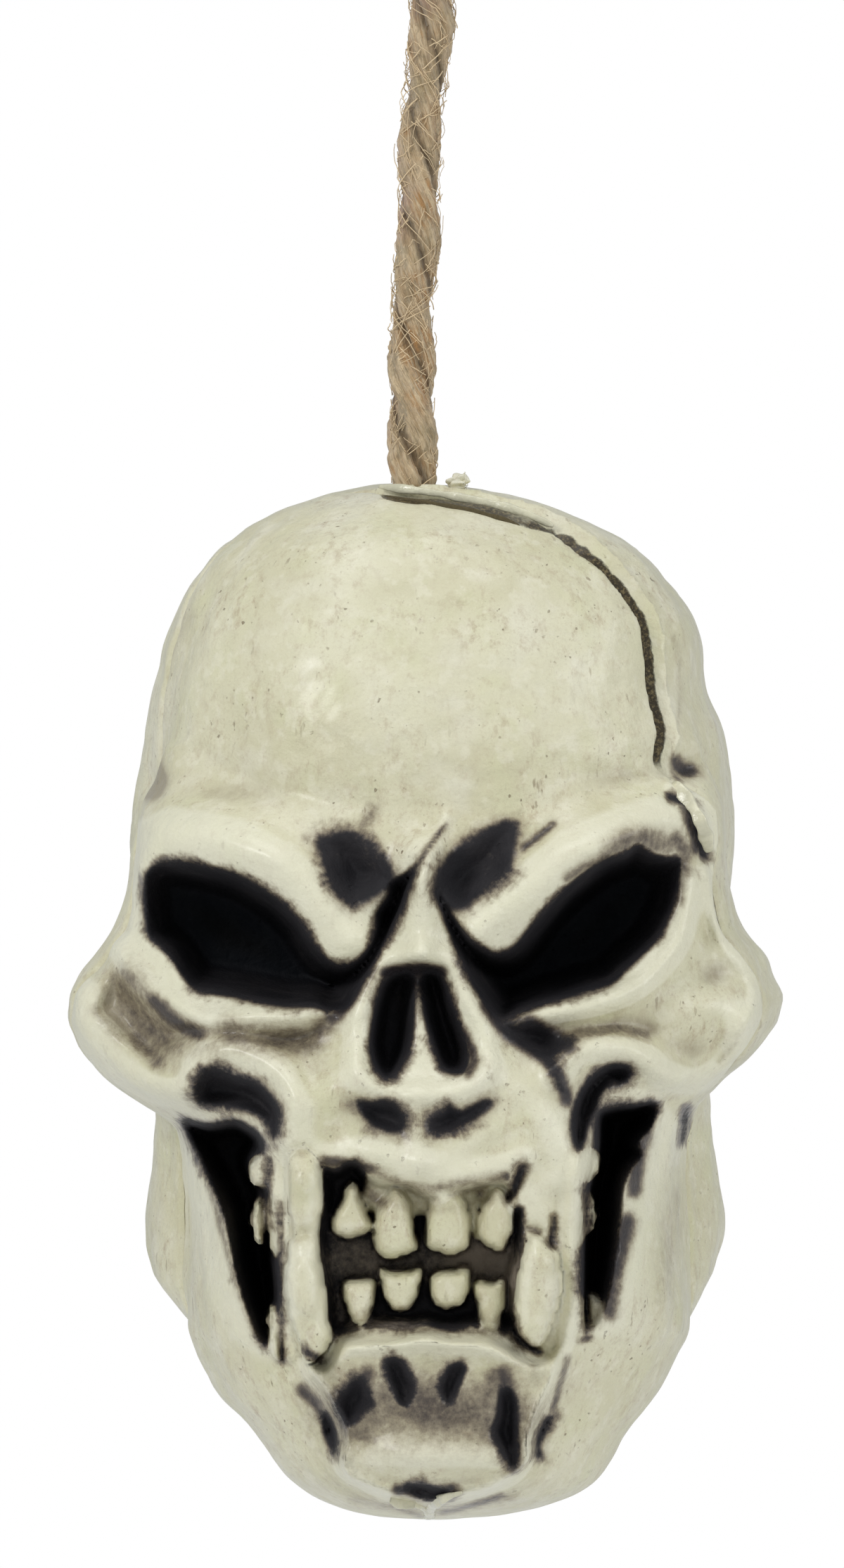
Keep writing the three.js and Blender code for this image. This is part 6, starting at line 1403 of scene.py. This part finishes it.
# Rope
def smooth_path(points, step):
    """Evenly spaced points on a smooth curve through the given ones."""
    p = np.array([tuple(q) for q in points])
    first, last = 2 * p[0] - p[1], 2 * p[-1] - p[-2]
    q = np.vstack([first, p, last])
    fine = [between(*q[i - 1:i + 3], k / PATH_STEPS) for i in range(1, len(q) - 2) for k in range(PATH_STEPS)]
    fine = np.array([*fine, p[-1]])
    run = np.concatenate([[0], np.cumsum(np.linalg.norm(np.diff(fine, axis=0), axis=1))])
    count = max(int(round(run[-1] / step)), 2)
    at = np.linspace(0, run[-1], count + 1)
    return np.stack([np.interp(at, run, fine[:, k]) for k in range(3)], -1), at


def units(vectors):
    """The same directions, each of length 1."""
    return vectors / np.linalg.norm(vectors, axis=1, keepdims=True)


def frames_along(path):
    """Two directions square to the path at each point, carried along it without twist."""
    tangents = units(np.gradient(path, axis=0))
    side = np.cross(tangents[0], (0.0, 1.0, 0.0))
    if np.linalg.norm(side) < 0.1:
        side = np.cross(tangents[0], (1.0, 0.0, 0.0))
    sides = []
    for tangent in tangents:
        side = side - tangent * (side @ tangent)
        side = side / np.linalg.norm(side)
        sides.append(side)
    sides = np.array(sides)
    return sides, np.cross(tangents, sides)


def outward_at(turn, sides, ups):
    """Directions square to a path at those turns round it."""
    return np.cos(turn)[..., None] * sides + np.sin(turn)[..., None] * ups


def laid_rope(name, route, diameter, material, seed=0, lay=24 * MM, cut=0.0, start_turn=None,
              girth=((0, 1),)):
    """Two plies laid round each other along a route, each spun from fibres that run the other way."""
    path, run = smooth_path(route, ROPE_STEP)
    sides, ups = frames_along(path)
    radius = diameter / 2
    ply, away = PLY_SHARE * radius, PLY_AWAY_SHARE * radius
    rows, along = len(run), run[:, None]
    swell = np.interp(run, [at for at, _ in girth], [scale for _, scale in girth])[:, None]
    vertices, faces, uvs, ply_gap_shades = [], [], [], []
    phases = np.random.default_rng(seed).uniform(0, 6.3, 12)
    angle = np.linspace(0, 2 * math.pi, PLY_POINTS, endpoint=False)
    outward = outward_at(angle[None, :], sides[:, None, :], ups[:, None, :])
    taper = np.clip(np.minimum(run, run[-1] - run) / (1.2 * MM) + 0.35 + cut, 0, 1)[:, None] ** 0.5
    i, j = np.meshgrid(np.arange(rows - 1), np.arange(PLY_POINTS), indexing="ij")
    following = (j + 1) % PLY_POINTS
    reached = np.stack([run[i], run[i], run[i + 1], run[i + 1]], -1)
    for half in (0, 1):
        start = half * rows * PLY_POINTS
        turn = math.pi * half - 2 * math.pi * run / lay + (seed if start_turn is None else start_turn)
        middle = path + away * swell * outward_at(turn, sides, ups)
        spin = angle[None, :] + 2 * math.pi * along / (SPIN_SHARE * lay) + 3 * half
        ripple = (0.055 * np.sin(5 * spin + phases[0] + 2 * np.sin(along / (7 * MM) + phases[1]))
                  + 0.045 * np.sin(9 * spin + phases[2] + 3 * np.sin(along / (4 * MM) + phases[3]))
                  + 0.05 * np.sin(along / (3.1 * MM) + phases[4]) * np.sin(2 * spin + phases[5]))
        x, y, z = np.moveaxis(middle[:, None, :] + ply * outward, -1, 0)
        for height, size in ((0.06, 4 * MM), (0.05, 1.7 * MM), (0.04, 0.8 * MM)):
            ripple = ripple + height * lumps(x, y, z * 0.6, size, seed + half)
        reach = ply * (0.93 + ripple) * taper * swell
        vertices.append((middle[:, None, :] + reach[..., None] * outward).reshape(-1, 3))
        # Where a ply faces the other, for shade painted into the groove between them
        ply_gap_shades.append(smoothstep(0.15, -0.4, np.cos(angle[None, :] - turn[:, None])).ravel())
        corners = ((i, j), (i, following), (i + 1, following), (i + 1, j))
        quads = np.stack([start + a * PLY_POINTS + b for a, b in corners], -1).reshape(-1, 4)
        end = start + (rows - 1) * PLY_POINTS
        faces += [*quads.tolist(), [*range(start, start + PLY_POINTS)][::-1], [*range(end, end + PLY_POINTS)]]
        u = np.stack([(j + k) / PLY_POINTS + half for k in (0, 1, 1, 0)], -1) + reached / (SPIN_SHARE * lay)
        uvs.extend(np.stack([u, reached / (10 * MM)], -1).reshape(-1, 2).tolist())
        uvs.extend([(0.0, 0.0)] * (2 * PLY_POINTS))
    mesh = mesh_from(name, np.vstack(vertices), faces)
    mesh.uv_layers.new(name="UVMap").data.foreach_set("uv", np.array(uvs, np.float32).ravel())
    point_values(mesh, "ply_gap_shade", np.concatenate(ply_gap_shades))
    obj = smooth_object(name, mesh, material)
    b = bmesh.new()
    b.from_mesh(mesh)
    bmesh.ops.recalc_face_normals(b, faces=b.faces)
    b.to_mesh(mesh)
    b.free()
    return obj, path


def loose_fibres(name, path, radius, count, material, seed, reach, span, turns=1.5):
    """Single fibres that have worked loose from a rope and stand off it a little."""
    draw = np.random.default_rng(seed)
    sides, ups = frames_along(path)
    step = np.linalg.norm(path[1] - path[0])
    rows, last = FIBRE_ROWS, len(path) - 1
    vertices, faces = [], []
    for _ in range(count):
        length = draw.uniform(*span)
        begin = draw.uniform(0, max(last - length / step, 1))
        at = np.clip(begin + np.linspace(0, length / step, rows), 0, last)
        centre = np.stack([np.interp(at, np.arange(last + 1), path[:, k]) for k in range(3)], -1)
        near = np.clip(at.astype(int), 0, last)
        turn = draw.uniform(0, 6.3) + np.linspace(0, draw.uniform(-turns, turns), rows)
        lift = draw.uniform(0.1, 1.0) * reach
        shape = np.sin(np.linspace(0, draw.uniform(1.6, 3.1), rows))
        away = radius * 0.96 + lift * shape ** 1.3
        wander = np.cumsum(draw.normal(0, FIBRE_WANDER, (rows, 3)), axis=0)
        line = centre + away[:, None] * outward_at(turn, sides[near], ups[near]) + wander
        thick = draw.uniform(*FIBRE_RADII) * MM
        along = units(np.gradient(line, axis=0))
        first = units(np.cross(along, (0.3, 0.5, 0.8)))
        second = np.cross(along, first)
        ring = [line + thick * (math.cos(a) * first + math.sin(a) * second) for a in (0, 2.1, 4.2)]
        start = len(vertices) * 3 * rows
        end = start + 3 * (rows - 1)
        vertices.append(np.stack(ring, 1).reshape(-1, 3))
        faces += [(row + k, row + (k + 1) % 3, row + 3 + (k + 1) % 3, row + 3 + k)
                  for row in range(start, end, 3) for k in range(3)]
        faces += [(start, start + 2, start + 1), (end, end + 1, end + 2)]
    return smooth_object(name, mesh_from(name, np.vstack(vertices), faces), material)


def loop_points():
    """The hanging loop's route: two legs that rise from the knot and meet in half a circle."""
    half_gap = (ROPE_DIAMETER + STRAND_GAP) / 2
    arc_radius = LOOP_WIDTH / 2
    arc_height = ROPE_DIAMETER / 2 - arc_radius
    foot = CLEARANCE - LOOP_HEIGHT
    leg = [(half_gap + spread * (arc_radius - half_gap), 0.0, foot + rise * (arc_height - foot))
           for spread, rise in LEG_SHARES]
    points = [(-x, y, z) for x, y, z in leg]
    for i in range(9):
        turn = i / 8 * math.pi
        points.append((-arc_radius * math.cos(turn), 0.0, arc_height + arc_radius * math.sin(turn)))
    return points + leg[::-1]


def settle(obj, body, slot, *nodes):
    """What every piece gets: its body, and the nodes it stands for, which are hidden. Its finish's slot is
    not used.
    """
    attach(obj, body)
    if nodes:
        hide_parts(*nodes)
    return obj


def wound_knot(name, material, centre, width, height, turns, seed):
    """Rope wound in close turns round a standing part, its ends tucked in."""
    reach = (width - ROPE_DIAMETER) / 2
    flat, steps = 0.7, 14
    points = []
    for i in range(int(turns * steps) + 1):
        share = i / (turns * steps)
        turn = share * turns * 2 * math.pi + seed
        climb = min(max((share * turns - flat) / (turns - 2 * flat), 0), 1)
        tuck = 1 - 0.75 * (smoothstep(0.10, 0.0, share) + smoothstep(0.90, 1.0, share))
        away = reach * float(tuck)
        lean = 0.10 * ROPE_DIAMETER * math.sin(turn * 0.5)
        points.append((centre[0] + away * math.cos(turn), centre[1] + away * math.sin(turn),
                       centre[2] + ROPE_DIAMETER / 2 + (height - ROPE_DIAMETER) * climb + lean))
    return laid_rope(name, points, ROPE_DIAMETER, material, seed=seed, lay=22 * MM)


def build_camera(settings):
    data = bpy.data.cameras.new("camera")
    camera = new_object("camera", data)
    distance = settings.camera_distance
    data.lens = data.sensor_width * distance / PICTURE_HEIGHT
    data.clip_end = 20
    camera.location = (PICTURE_CENTRE[0], PICTURE_CENTRE[1] - distance, PICTURE_CENTRE[2])
    camera.rotation_euler = (math.radians(90), 0, 0)
    bpy.context.scene.camera = camera


def stem_route():
    """The free rope's route, from the crown up."""
    return [(x, 0.0, STEM_FOOT + z) for x, z in ROPE_ROUTE]


def build_stem(settings):
    route = stem_route()
    stem, path = laid_rope("rope_stem_strands", route, ROPE_DIAMETER, jute(settings, 1.0), seed=7,
                           lay=settings.lay, cut=1.0, start_turn=settings.strand_turn, girth=STEM_GIRTH)
    fibres = fuzz("rope_stem", path, settings)
    for obj in (stem, *fibres):
        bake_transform(obj)
    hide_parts("rope_stem")


def fuzz(name, path, settings):
    """The two kinds of loose fibre on a rope: short hairs that stand off it, and long ones across it."""
    *counts, seed = LOOSE_FIBRES[name]
    pale = plain_finish(f"loose jute {seed}", tuple(min(1, 1.15 * c) for c in settings.jute), 0.8, 4 * MM)
    return [loose_fibres(f"{name}_{kind}", path, ROPE_DIAMETER / 2, count, pale, seed + len(kind), reach * MM,
                         [v * MM for v in span], turns)
            for count, (kind, (reach, span, turns)) in zip(counts, FIBRE_KINDS.items())]


def dressed(name, rope, path, settings):
    """Settles a rope of the loop's body, with the loose fibres that it gets."""
    settle(rope, "loop", "jute", name)
    return [settle(piece, "loop", "jute") for piece in fuzz(name, path, settings)]


def build_loop(settings):
    material = jute(settings, 2.0)
    route = loop_points()
    loop, path = laid_rope("hanging_loop_strands", route, ROPE_DIAMETER, material, seed=2, lay=settings.lay)
    fibres = dressed("hanging_loop", loop, path, settings)
    knot = wound_knot("loop_knot_strands", material, (0, 0, KNOT_FOOT), KNOT_WIDTH, KNOT_HEIGHT,
                      turns=3.4, seed=3)
    dressed("loop_knot", *knot, settings)
    tail_start = ROPE_DIAMETER + STRAND_GAP / 2
    points = [(0.0, tail_start + y, KNOT_FOOT - CLEARANCE + z) for y, z in TAIL_ROUTE]
    tail = laid_rope("rope_tail_strands", points, ROPE_DIAMETER, material, seed=4, lay=settings.lay)
    dressed("rope_tail", *tail, settings)
    inside, tie = KNOT_FOOT + KNOT_HEIGHT / 2, 2 * CLEARANCE
    _, run = smooth_path(stem_route(), ROPE_STEP)
    turned = settings.strand_turn - 2 * math.pi * (run[-1] - tie) / settings.lay
    legs = [((0.3 * x, inside), (x, z + tie), 0, None) for x, _, z in (route[0], route[-1])]
    core = ((0, STEM_TOP - tie), (0, inside), 0, turned)
    end = ((0, inside), (0, KNOT_FOOT - CLEARANCE - tie), tail_start, None)
    for key, (first, last, y, turn) in zip(("leg_1", "leg_2", "core", "end"), (*legs, core, end)):
        start, finish = np.array((first[0], 0.8 * y, first[1])), np.array((last[0], y, last[1]))
        points = [tuple(start + (finish - start) * k / 4) for k in range(5)]
        piece, _ = laid_rope(f"loop_knot_{key}", points, 0.98 * ROPE_DIAMETER, material, seed=7,
                             lay=settings.lay, cut=1.0, start_turn=turn)
        settle(piece, "loop", "jute")


def build_anchor(settings):
    material = jute(settings, 3.0)
    low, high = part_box("anchor_knot")
    middle = (low + high) / 2
    knot, _ = wound_knot("anchor_knot_strands", material, (middle.x, middle.y, low.z), ANCHOR_KNOT_WIDTH,
                         ANCHOR_KNOT_HEIGHT, turns=2.0, seed=1)
    settle(knot, "anchor", "jute", "anchor_knot")
    points = [(middle.x, middle.y + y, low.z - CLEARANCE + z) for y, z in ANCHOR_TAIL_ROUTE]
    tail, _ = laid_rope("anchor_tail_strands", points, ROPE_DIAMETER, material, seed=5)
    settle(tail, "anchor", "jute", "anchor_tail")
    bottom = high.z - 2 * MM
    points = [(middle.x, middle.y, STEM_FOOT + (bottom - STEM_FOOT) * i / 4) for i in range(5)]
    neck, _ = laid_rope("anchor_neck_strands", points, ROPE_DIAMETER, material, seed=6, cut=1.0,
                        start_turn=math.pi - settings.strand_turn)
    settle(neck, "anchor", "jute")


def film(name, shares, relief, width, thickness, lift, material):
    """A thin strip of plastic with round edges, lifted off the face along a line, or without a face off the
    seam."""
    line = curve_points(shares, False)
    skin = relief.at(relief.depth, *line.T) if relief else seam_depth(*line.T)
    depth = skin - np.interp(np.linspace(0, 1, len(line)), (0, 1), lift)
    path, _ = smooth_path(np.stack([line[:, 0], depth, line[:, 1]], -1), 0.3 * MM)
    tangents = units(np.gradient(path, axis=0))
    across = units(np.cross(tangents, (0.0, 1.0, 0.0)))
    out = np.cross(across, tangents)
    share = np.linspace(0, 1, len(path))
    swell = (1 + 0.25 * lumps(*path.T, 3 * MM, 21)) * (1 - (2 * share - 1) ** 6) ** 0.5
    rings = []
    for k in range(FILM_SIDES):
        turn = 2 * math.pi * k / FILM_SIDES
        wide = np.sign(math.cos(turn)) * abs(math.cos(turn)) ** 0.6 * width / 2 * swell
        thick = np.sign(math.sin(turn)) * abs(math.sin(turn)) ** 0.6 * thickness / 2 * np.maximum(swell, 0.1)
        rings.append(path + wide[:, None] * across + thick[:, None] * out)
    points = np.stack(rings, 1)
    b = bmesh.new()
    verts = [[b.verts.new(p) for p in row] for row in points[1:-1]]
    for first, second in zip(verts[:-1], verts[1:]):
        for k in range(FILM_SIDES):
            following = (k + 1) % FILM_SIDES
            b.faces.new((first[k], first[following], second[following], second[k]))
    b.faces.new(verts[0][::-1])
    b.faces.new(verts[-1])
    bmesh.ops.recalc_face_normals(b, faces=b.faces)
    bmesh.ops.translate(b, verts=b.verts, vec=HEAD_PLACE)
    return object_from(name, b, material)


def build_skull(settings):
    material = moulded_bone(settings)
    front, relief = shell("skull_front", settings.front_step, True, settings.front_triangles)
    rear, _ = shell("skull_rear", settings.rear_step, False, settings.rear_triangles)
    for obj, node in ((front, "front_shell"), (rear, "rear_shell")):
        obj.data.materials.append(material)
        settle(obj, "skull", "skull_plastic", node)
    flash = plain_finish("moulding flash", tuple(settings.bone), 0.22, 2 * MM, {"Coat Weight": 0.3})
    # A dark strip of painted shadow under the crown's lip, with some dirt of the seam
    grime_and_shadow = plain_finish("seam grime", srgb(92, 81, 54), 0.9, 0.5 * MM)
    for name, (width, thickness, lift, line) in FILM_SHARES.items():
        piece = film(name, line, None if name.startswith("seam") else relief, width * MM, thickness * MM,
                     [v * MM for v in lift], grime_and_shadow if name.endswith("shadow") else flash)
        settle(piece, "skull", "skull_plastic")


def build_glue(settings):
    glue = plain_finish("dried glue", tuple(settings.glue), 0.45, 1.5 * MM, {"Specular IOR Level": 0.6})
    low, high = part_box("crown_glue")
    low.x -= 0.5 * MM
    low.z -= CLEARANCE
    high.x -= 1.7 * MM
    middle, half = (low + high) / 2, (high - low) / 2
    b = bmesh.new()
    bmesh.ops.create_icosphere(b, subdivisions=5, radius=1)
    for v in b.verts:
        wave = 0.72 + 0.28 * float(lumps(*v.co, 0.9, 12))
        v.co = Vector(middle[k] + half[k] * v.co[k] * min(wave, 1.0) for k in range(3))
    settle(object_from("crown_glue_tuft", b, glue), "skull", "dried_glue", "crown_glue")
    ends = (low.x + half.x, middle.y, low.z + half.z), (high.x - half.x / 2, middle.y, middle.z)
    threads = loose_fibres("crown_glue_threads", np.linspace(*ends, 40), half.z * 0.5, 26, glue, 3, 0.9 * MM,
                           (1 * MM, 2.6 * MM))
    settle(threads, "skull", "dried_glue")


def area_light(name, place, size, power):
    data = bpy.data.lights.new(name, "AREA")
    data.shape = "DISK"
    data.size = size
    data.energy = power
    light = new_object(name, data)
    light.location = place
    light.rotation_euler = (Vector(PICTURE_CENTRE) - Vector(place)).to_track_quat("-Z", "Y").to_euler()


def build_stage(settings):
    bpy.context.scene.view_settings.view_transform = "Standard"
    world = bpy.data.worlds.new("studio")
    bpy.context.scene.world = world
    world.use_nodes = True
    nodes, links = world.node_tree.nodes, world.node_tree.links
    soft = nodes["Background"]
    soft.inputs["Color"].default_value = (*SKY, 1)
    soft.inputs["Strength"].default_value = settings.fill
    white = nodes.new("ShaderNodeBackground")
    white.inputs["Color"].default_value = (1, 1, 1, 1)
    rays = nodes.new("ShaderNodeLightPath")
    mix = nodes.new("ShaderNodeMixShader")
    links.new(rays.outputs["Is Camera Ray"], mix.inputs[0])
    links.new(soft.outputs[0], mix.inputs[1])
    links.new(white.outputs[0], mix.inputs[2])
    links.new(mix.outputs[0], nodes["World Output"].inputs[0])
    for name, (place, size, share) in LAMPS.items():
        area_light(name, place, size, settings.key * share)
    mesh = bpy.data.meshes.new("floor")
    b = bmesh.new()
    bmesh.ops.create_circle(b, cap_ends=True, segments=64, radius=FLOOR_RADIUS)
    b.to_mesh(mesh)
    b.free()
    floor = new_object("floor", mesh)
    floor.location.z = CAD_BOX[0].z - settings.floor_gap
    f = Finish("floor", 0.8)
    f.shader.inputs["Base Color"].default_value = (0.9, 0.9, 0.9, 1)
    mesh.materials.append(f.material)


# The panel that holds the maker's settings
def length_setting(name, description, default):
    return bpy.props.FloatProperty(name=name, description=description, default=default, unit="LENGTH",
                                   precision=5)


def number_setting(name, description, default):
    return bpy.props.FloatProperty(name=name, description=description, default=default, unit="NONE")


def count_setting(name, description, default):
    return bpy.props.IntProperty(name=name, description=description, default=default)


def colour_setting(name, description, default):
    return bpy.props.FloatVectorProperty(name=name, description=description, default=default, size=3,
                                         subtype="COLOR", min=0, max=1, unit="NONE")


class SkullSettings(bpy.types.PropertyGroup):
    """What a maker may change."""

    bone: colour_setting("Bone", "Colour of the moulding", srgb(219, 215, 187))
    bone_shade: colour_setting("Bone shade", "Colour of the moulding's cloudy parts", srgb(205, 200, 168))
    # Deeper in the hollows this dark stands for shade as well as for the wash
    wash: colour_setting("Wash", "Dark wash in the deepest hollows", srgb(12, 17, 23))
    jute: colour_setting("Jute", "Colour of the rope", srgb(218, 195, 158))
    jute_shade: colour_setting("Jute shade", "Darker colour of the rope", srgb(176, 149, 112))
    glue: colour_setting("Glue", "Colour of the dried glue", srgb(236, 232, 210))
    lay: length_setting("Lay", "Length of one turn of the rope's plies", 24 * MM)
    strand_turn: number_setting("Strand turn", "Turn of the plies at the crown, in radians", 1.0)
    front_step: length_setting("Front step", "Grid step of the front shell", 0.45 * MM)
    rear_step: length_setting("Rear step", "Grid step of the rear shell", 0.6 * MM)
    front_triangles: count_setting("Front faces", "Most triangles of the front shell", 190000)
    rear_triangles: count_setting("Rear faces", "Most triangles of the rear shell", 120000)
    camera_distance: length_setting("Camera distance", "How far off the camera stands", 2.5)
    floor_gap: length_setting("Floor gap", "How far the floor lies below the skull", 60 * MM)
    key: number_setting("Key", "Power of the key light in watts", 3.7)
    fill: number_setting("Fill", "Strength of the soft light from all sides", 0.48)


class Piece:
    """What the operators share."""

    bl_options = {"REGISTER", "UNDO"}

    def execute(self, context):
        type(self).build(context.scene.hanging_skull)
        return {"FINISHED"}


class AddCamera(Piece, bpy.types.Operator):
    """Adds the camera, far off with a long lens"""

    bl_idname = "hanging_skull.camera"
    bl_label = "Camera"
    build = staticmethod(build_camera)


class AddStem(Piece, bpy.types.Operator):
    """Adds the free rope from the crown to its knot"""

    bl_idname = "hanging_skull.stem"
    bl_label = "Rope"
    build = staticmethod(build_stem)


class AddLoop(Piece, bpy.types.Operator):
    """Adds the hanging loop, its knot and its cut end"""

    bl_idname = "hanging_skull.loop"
    bl_label = "Hanging loop"
    build = staticmethod(build_loop)


class AddAnchor(Piece, bpy.types.Operator):
    """Adds the knot that holds the rope inside the skull"""

    bl_idname = "hanging_skull.anchor"
    bl_label = "Anchor knot"
    build = staticmethod(build_anchor)


class AddSkull(Piece, bpy.types.Operator):
    """Adds the two moulded shells with their dark wash"""

    bl_idname = "hanging_skull.skull"
    bl_label = "Skull"
    build = staticmethod(build_skull)


class AddGlue(Piece, bpy.types.Operator):
    """Adds the dried glue beside the rope"""

    bl_idname = "hanging_skull.glue"
    bl_label = "Glue"
    build = staticmethod(build_glue)


class AddStage(Piece, bpy.types.Operator):
    """Adds the lights, the white surroundings and the floor"""

    bl_idname = "hanging_skull.stage"
    bl_label = "Stage"
    build = staticmethod(build_stage)


OPERATORS = (AddCamera, AddStem, AddLoop, AddAnchor, AddSkull, AddGlue, AddStage)


class SkullPanel(bpy.types.Panel):
    """Lists the settings and the operators"""

    bl_idname = "VIEW3D_PT_hanging_skull"
    bl_label = "Hanging skull"
    bl_space_type = "VIEW_3D"
    bl_region_type = "UI"
    bl_category = "Skull"

    def draw(self, context):
        for key in SkullSettings.__annotations__:
            self.layout.prop(context.scene.hanging_skull, key)
        for operator in OPERATORS:
            self.layout.operator(operator.bl_idname)


def register():
    for cls in (SkullSettings, *OPERATORS, SkullPanel):
        bpy.utils.register_class(cls)
    bpy.types.Scene.hanging_skull = bpy.props.PointerProperty(type=SkullSettings)


def unregister():
    del bpy.types.Scene.hanging_skull
    for cls in (SkullPanel, *reversed(OPERATORS), SkullSettings):
        bpy.utils.unregister_class(cls)


def main():
    register()
    for operator in OPERATORS:
        group, name = operator.bl_idname.split(".")
        getattr(getattr(bpy.ops, group), name)()


if __name__ == "__main__":
    main()
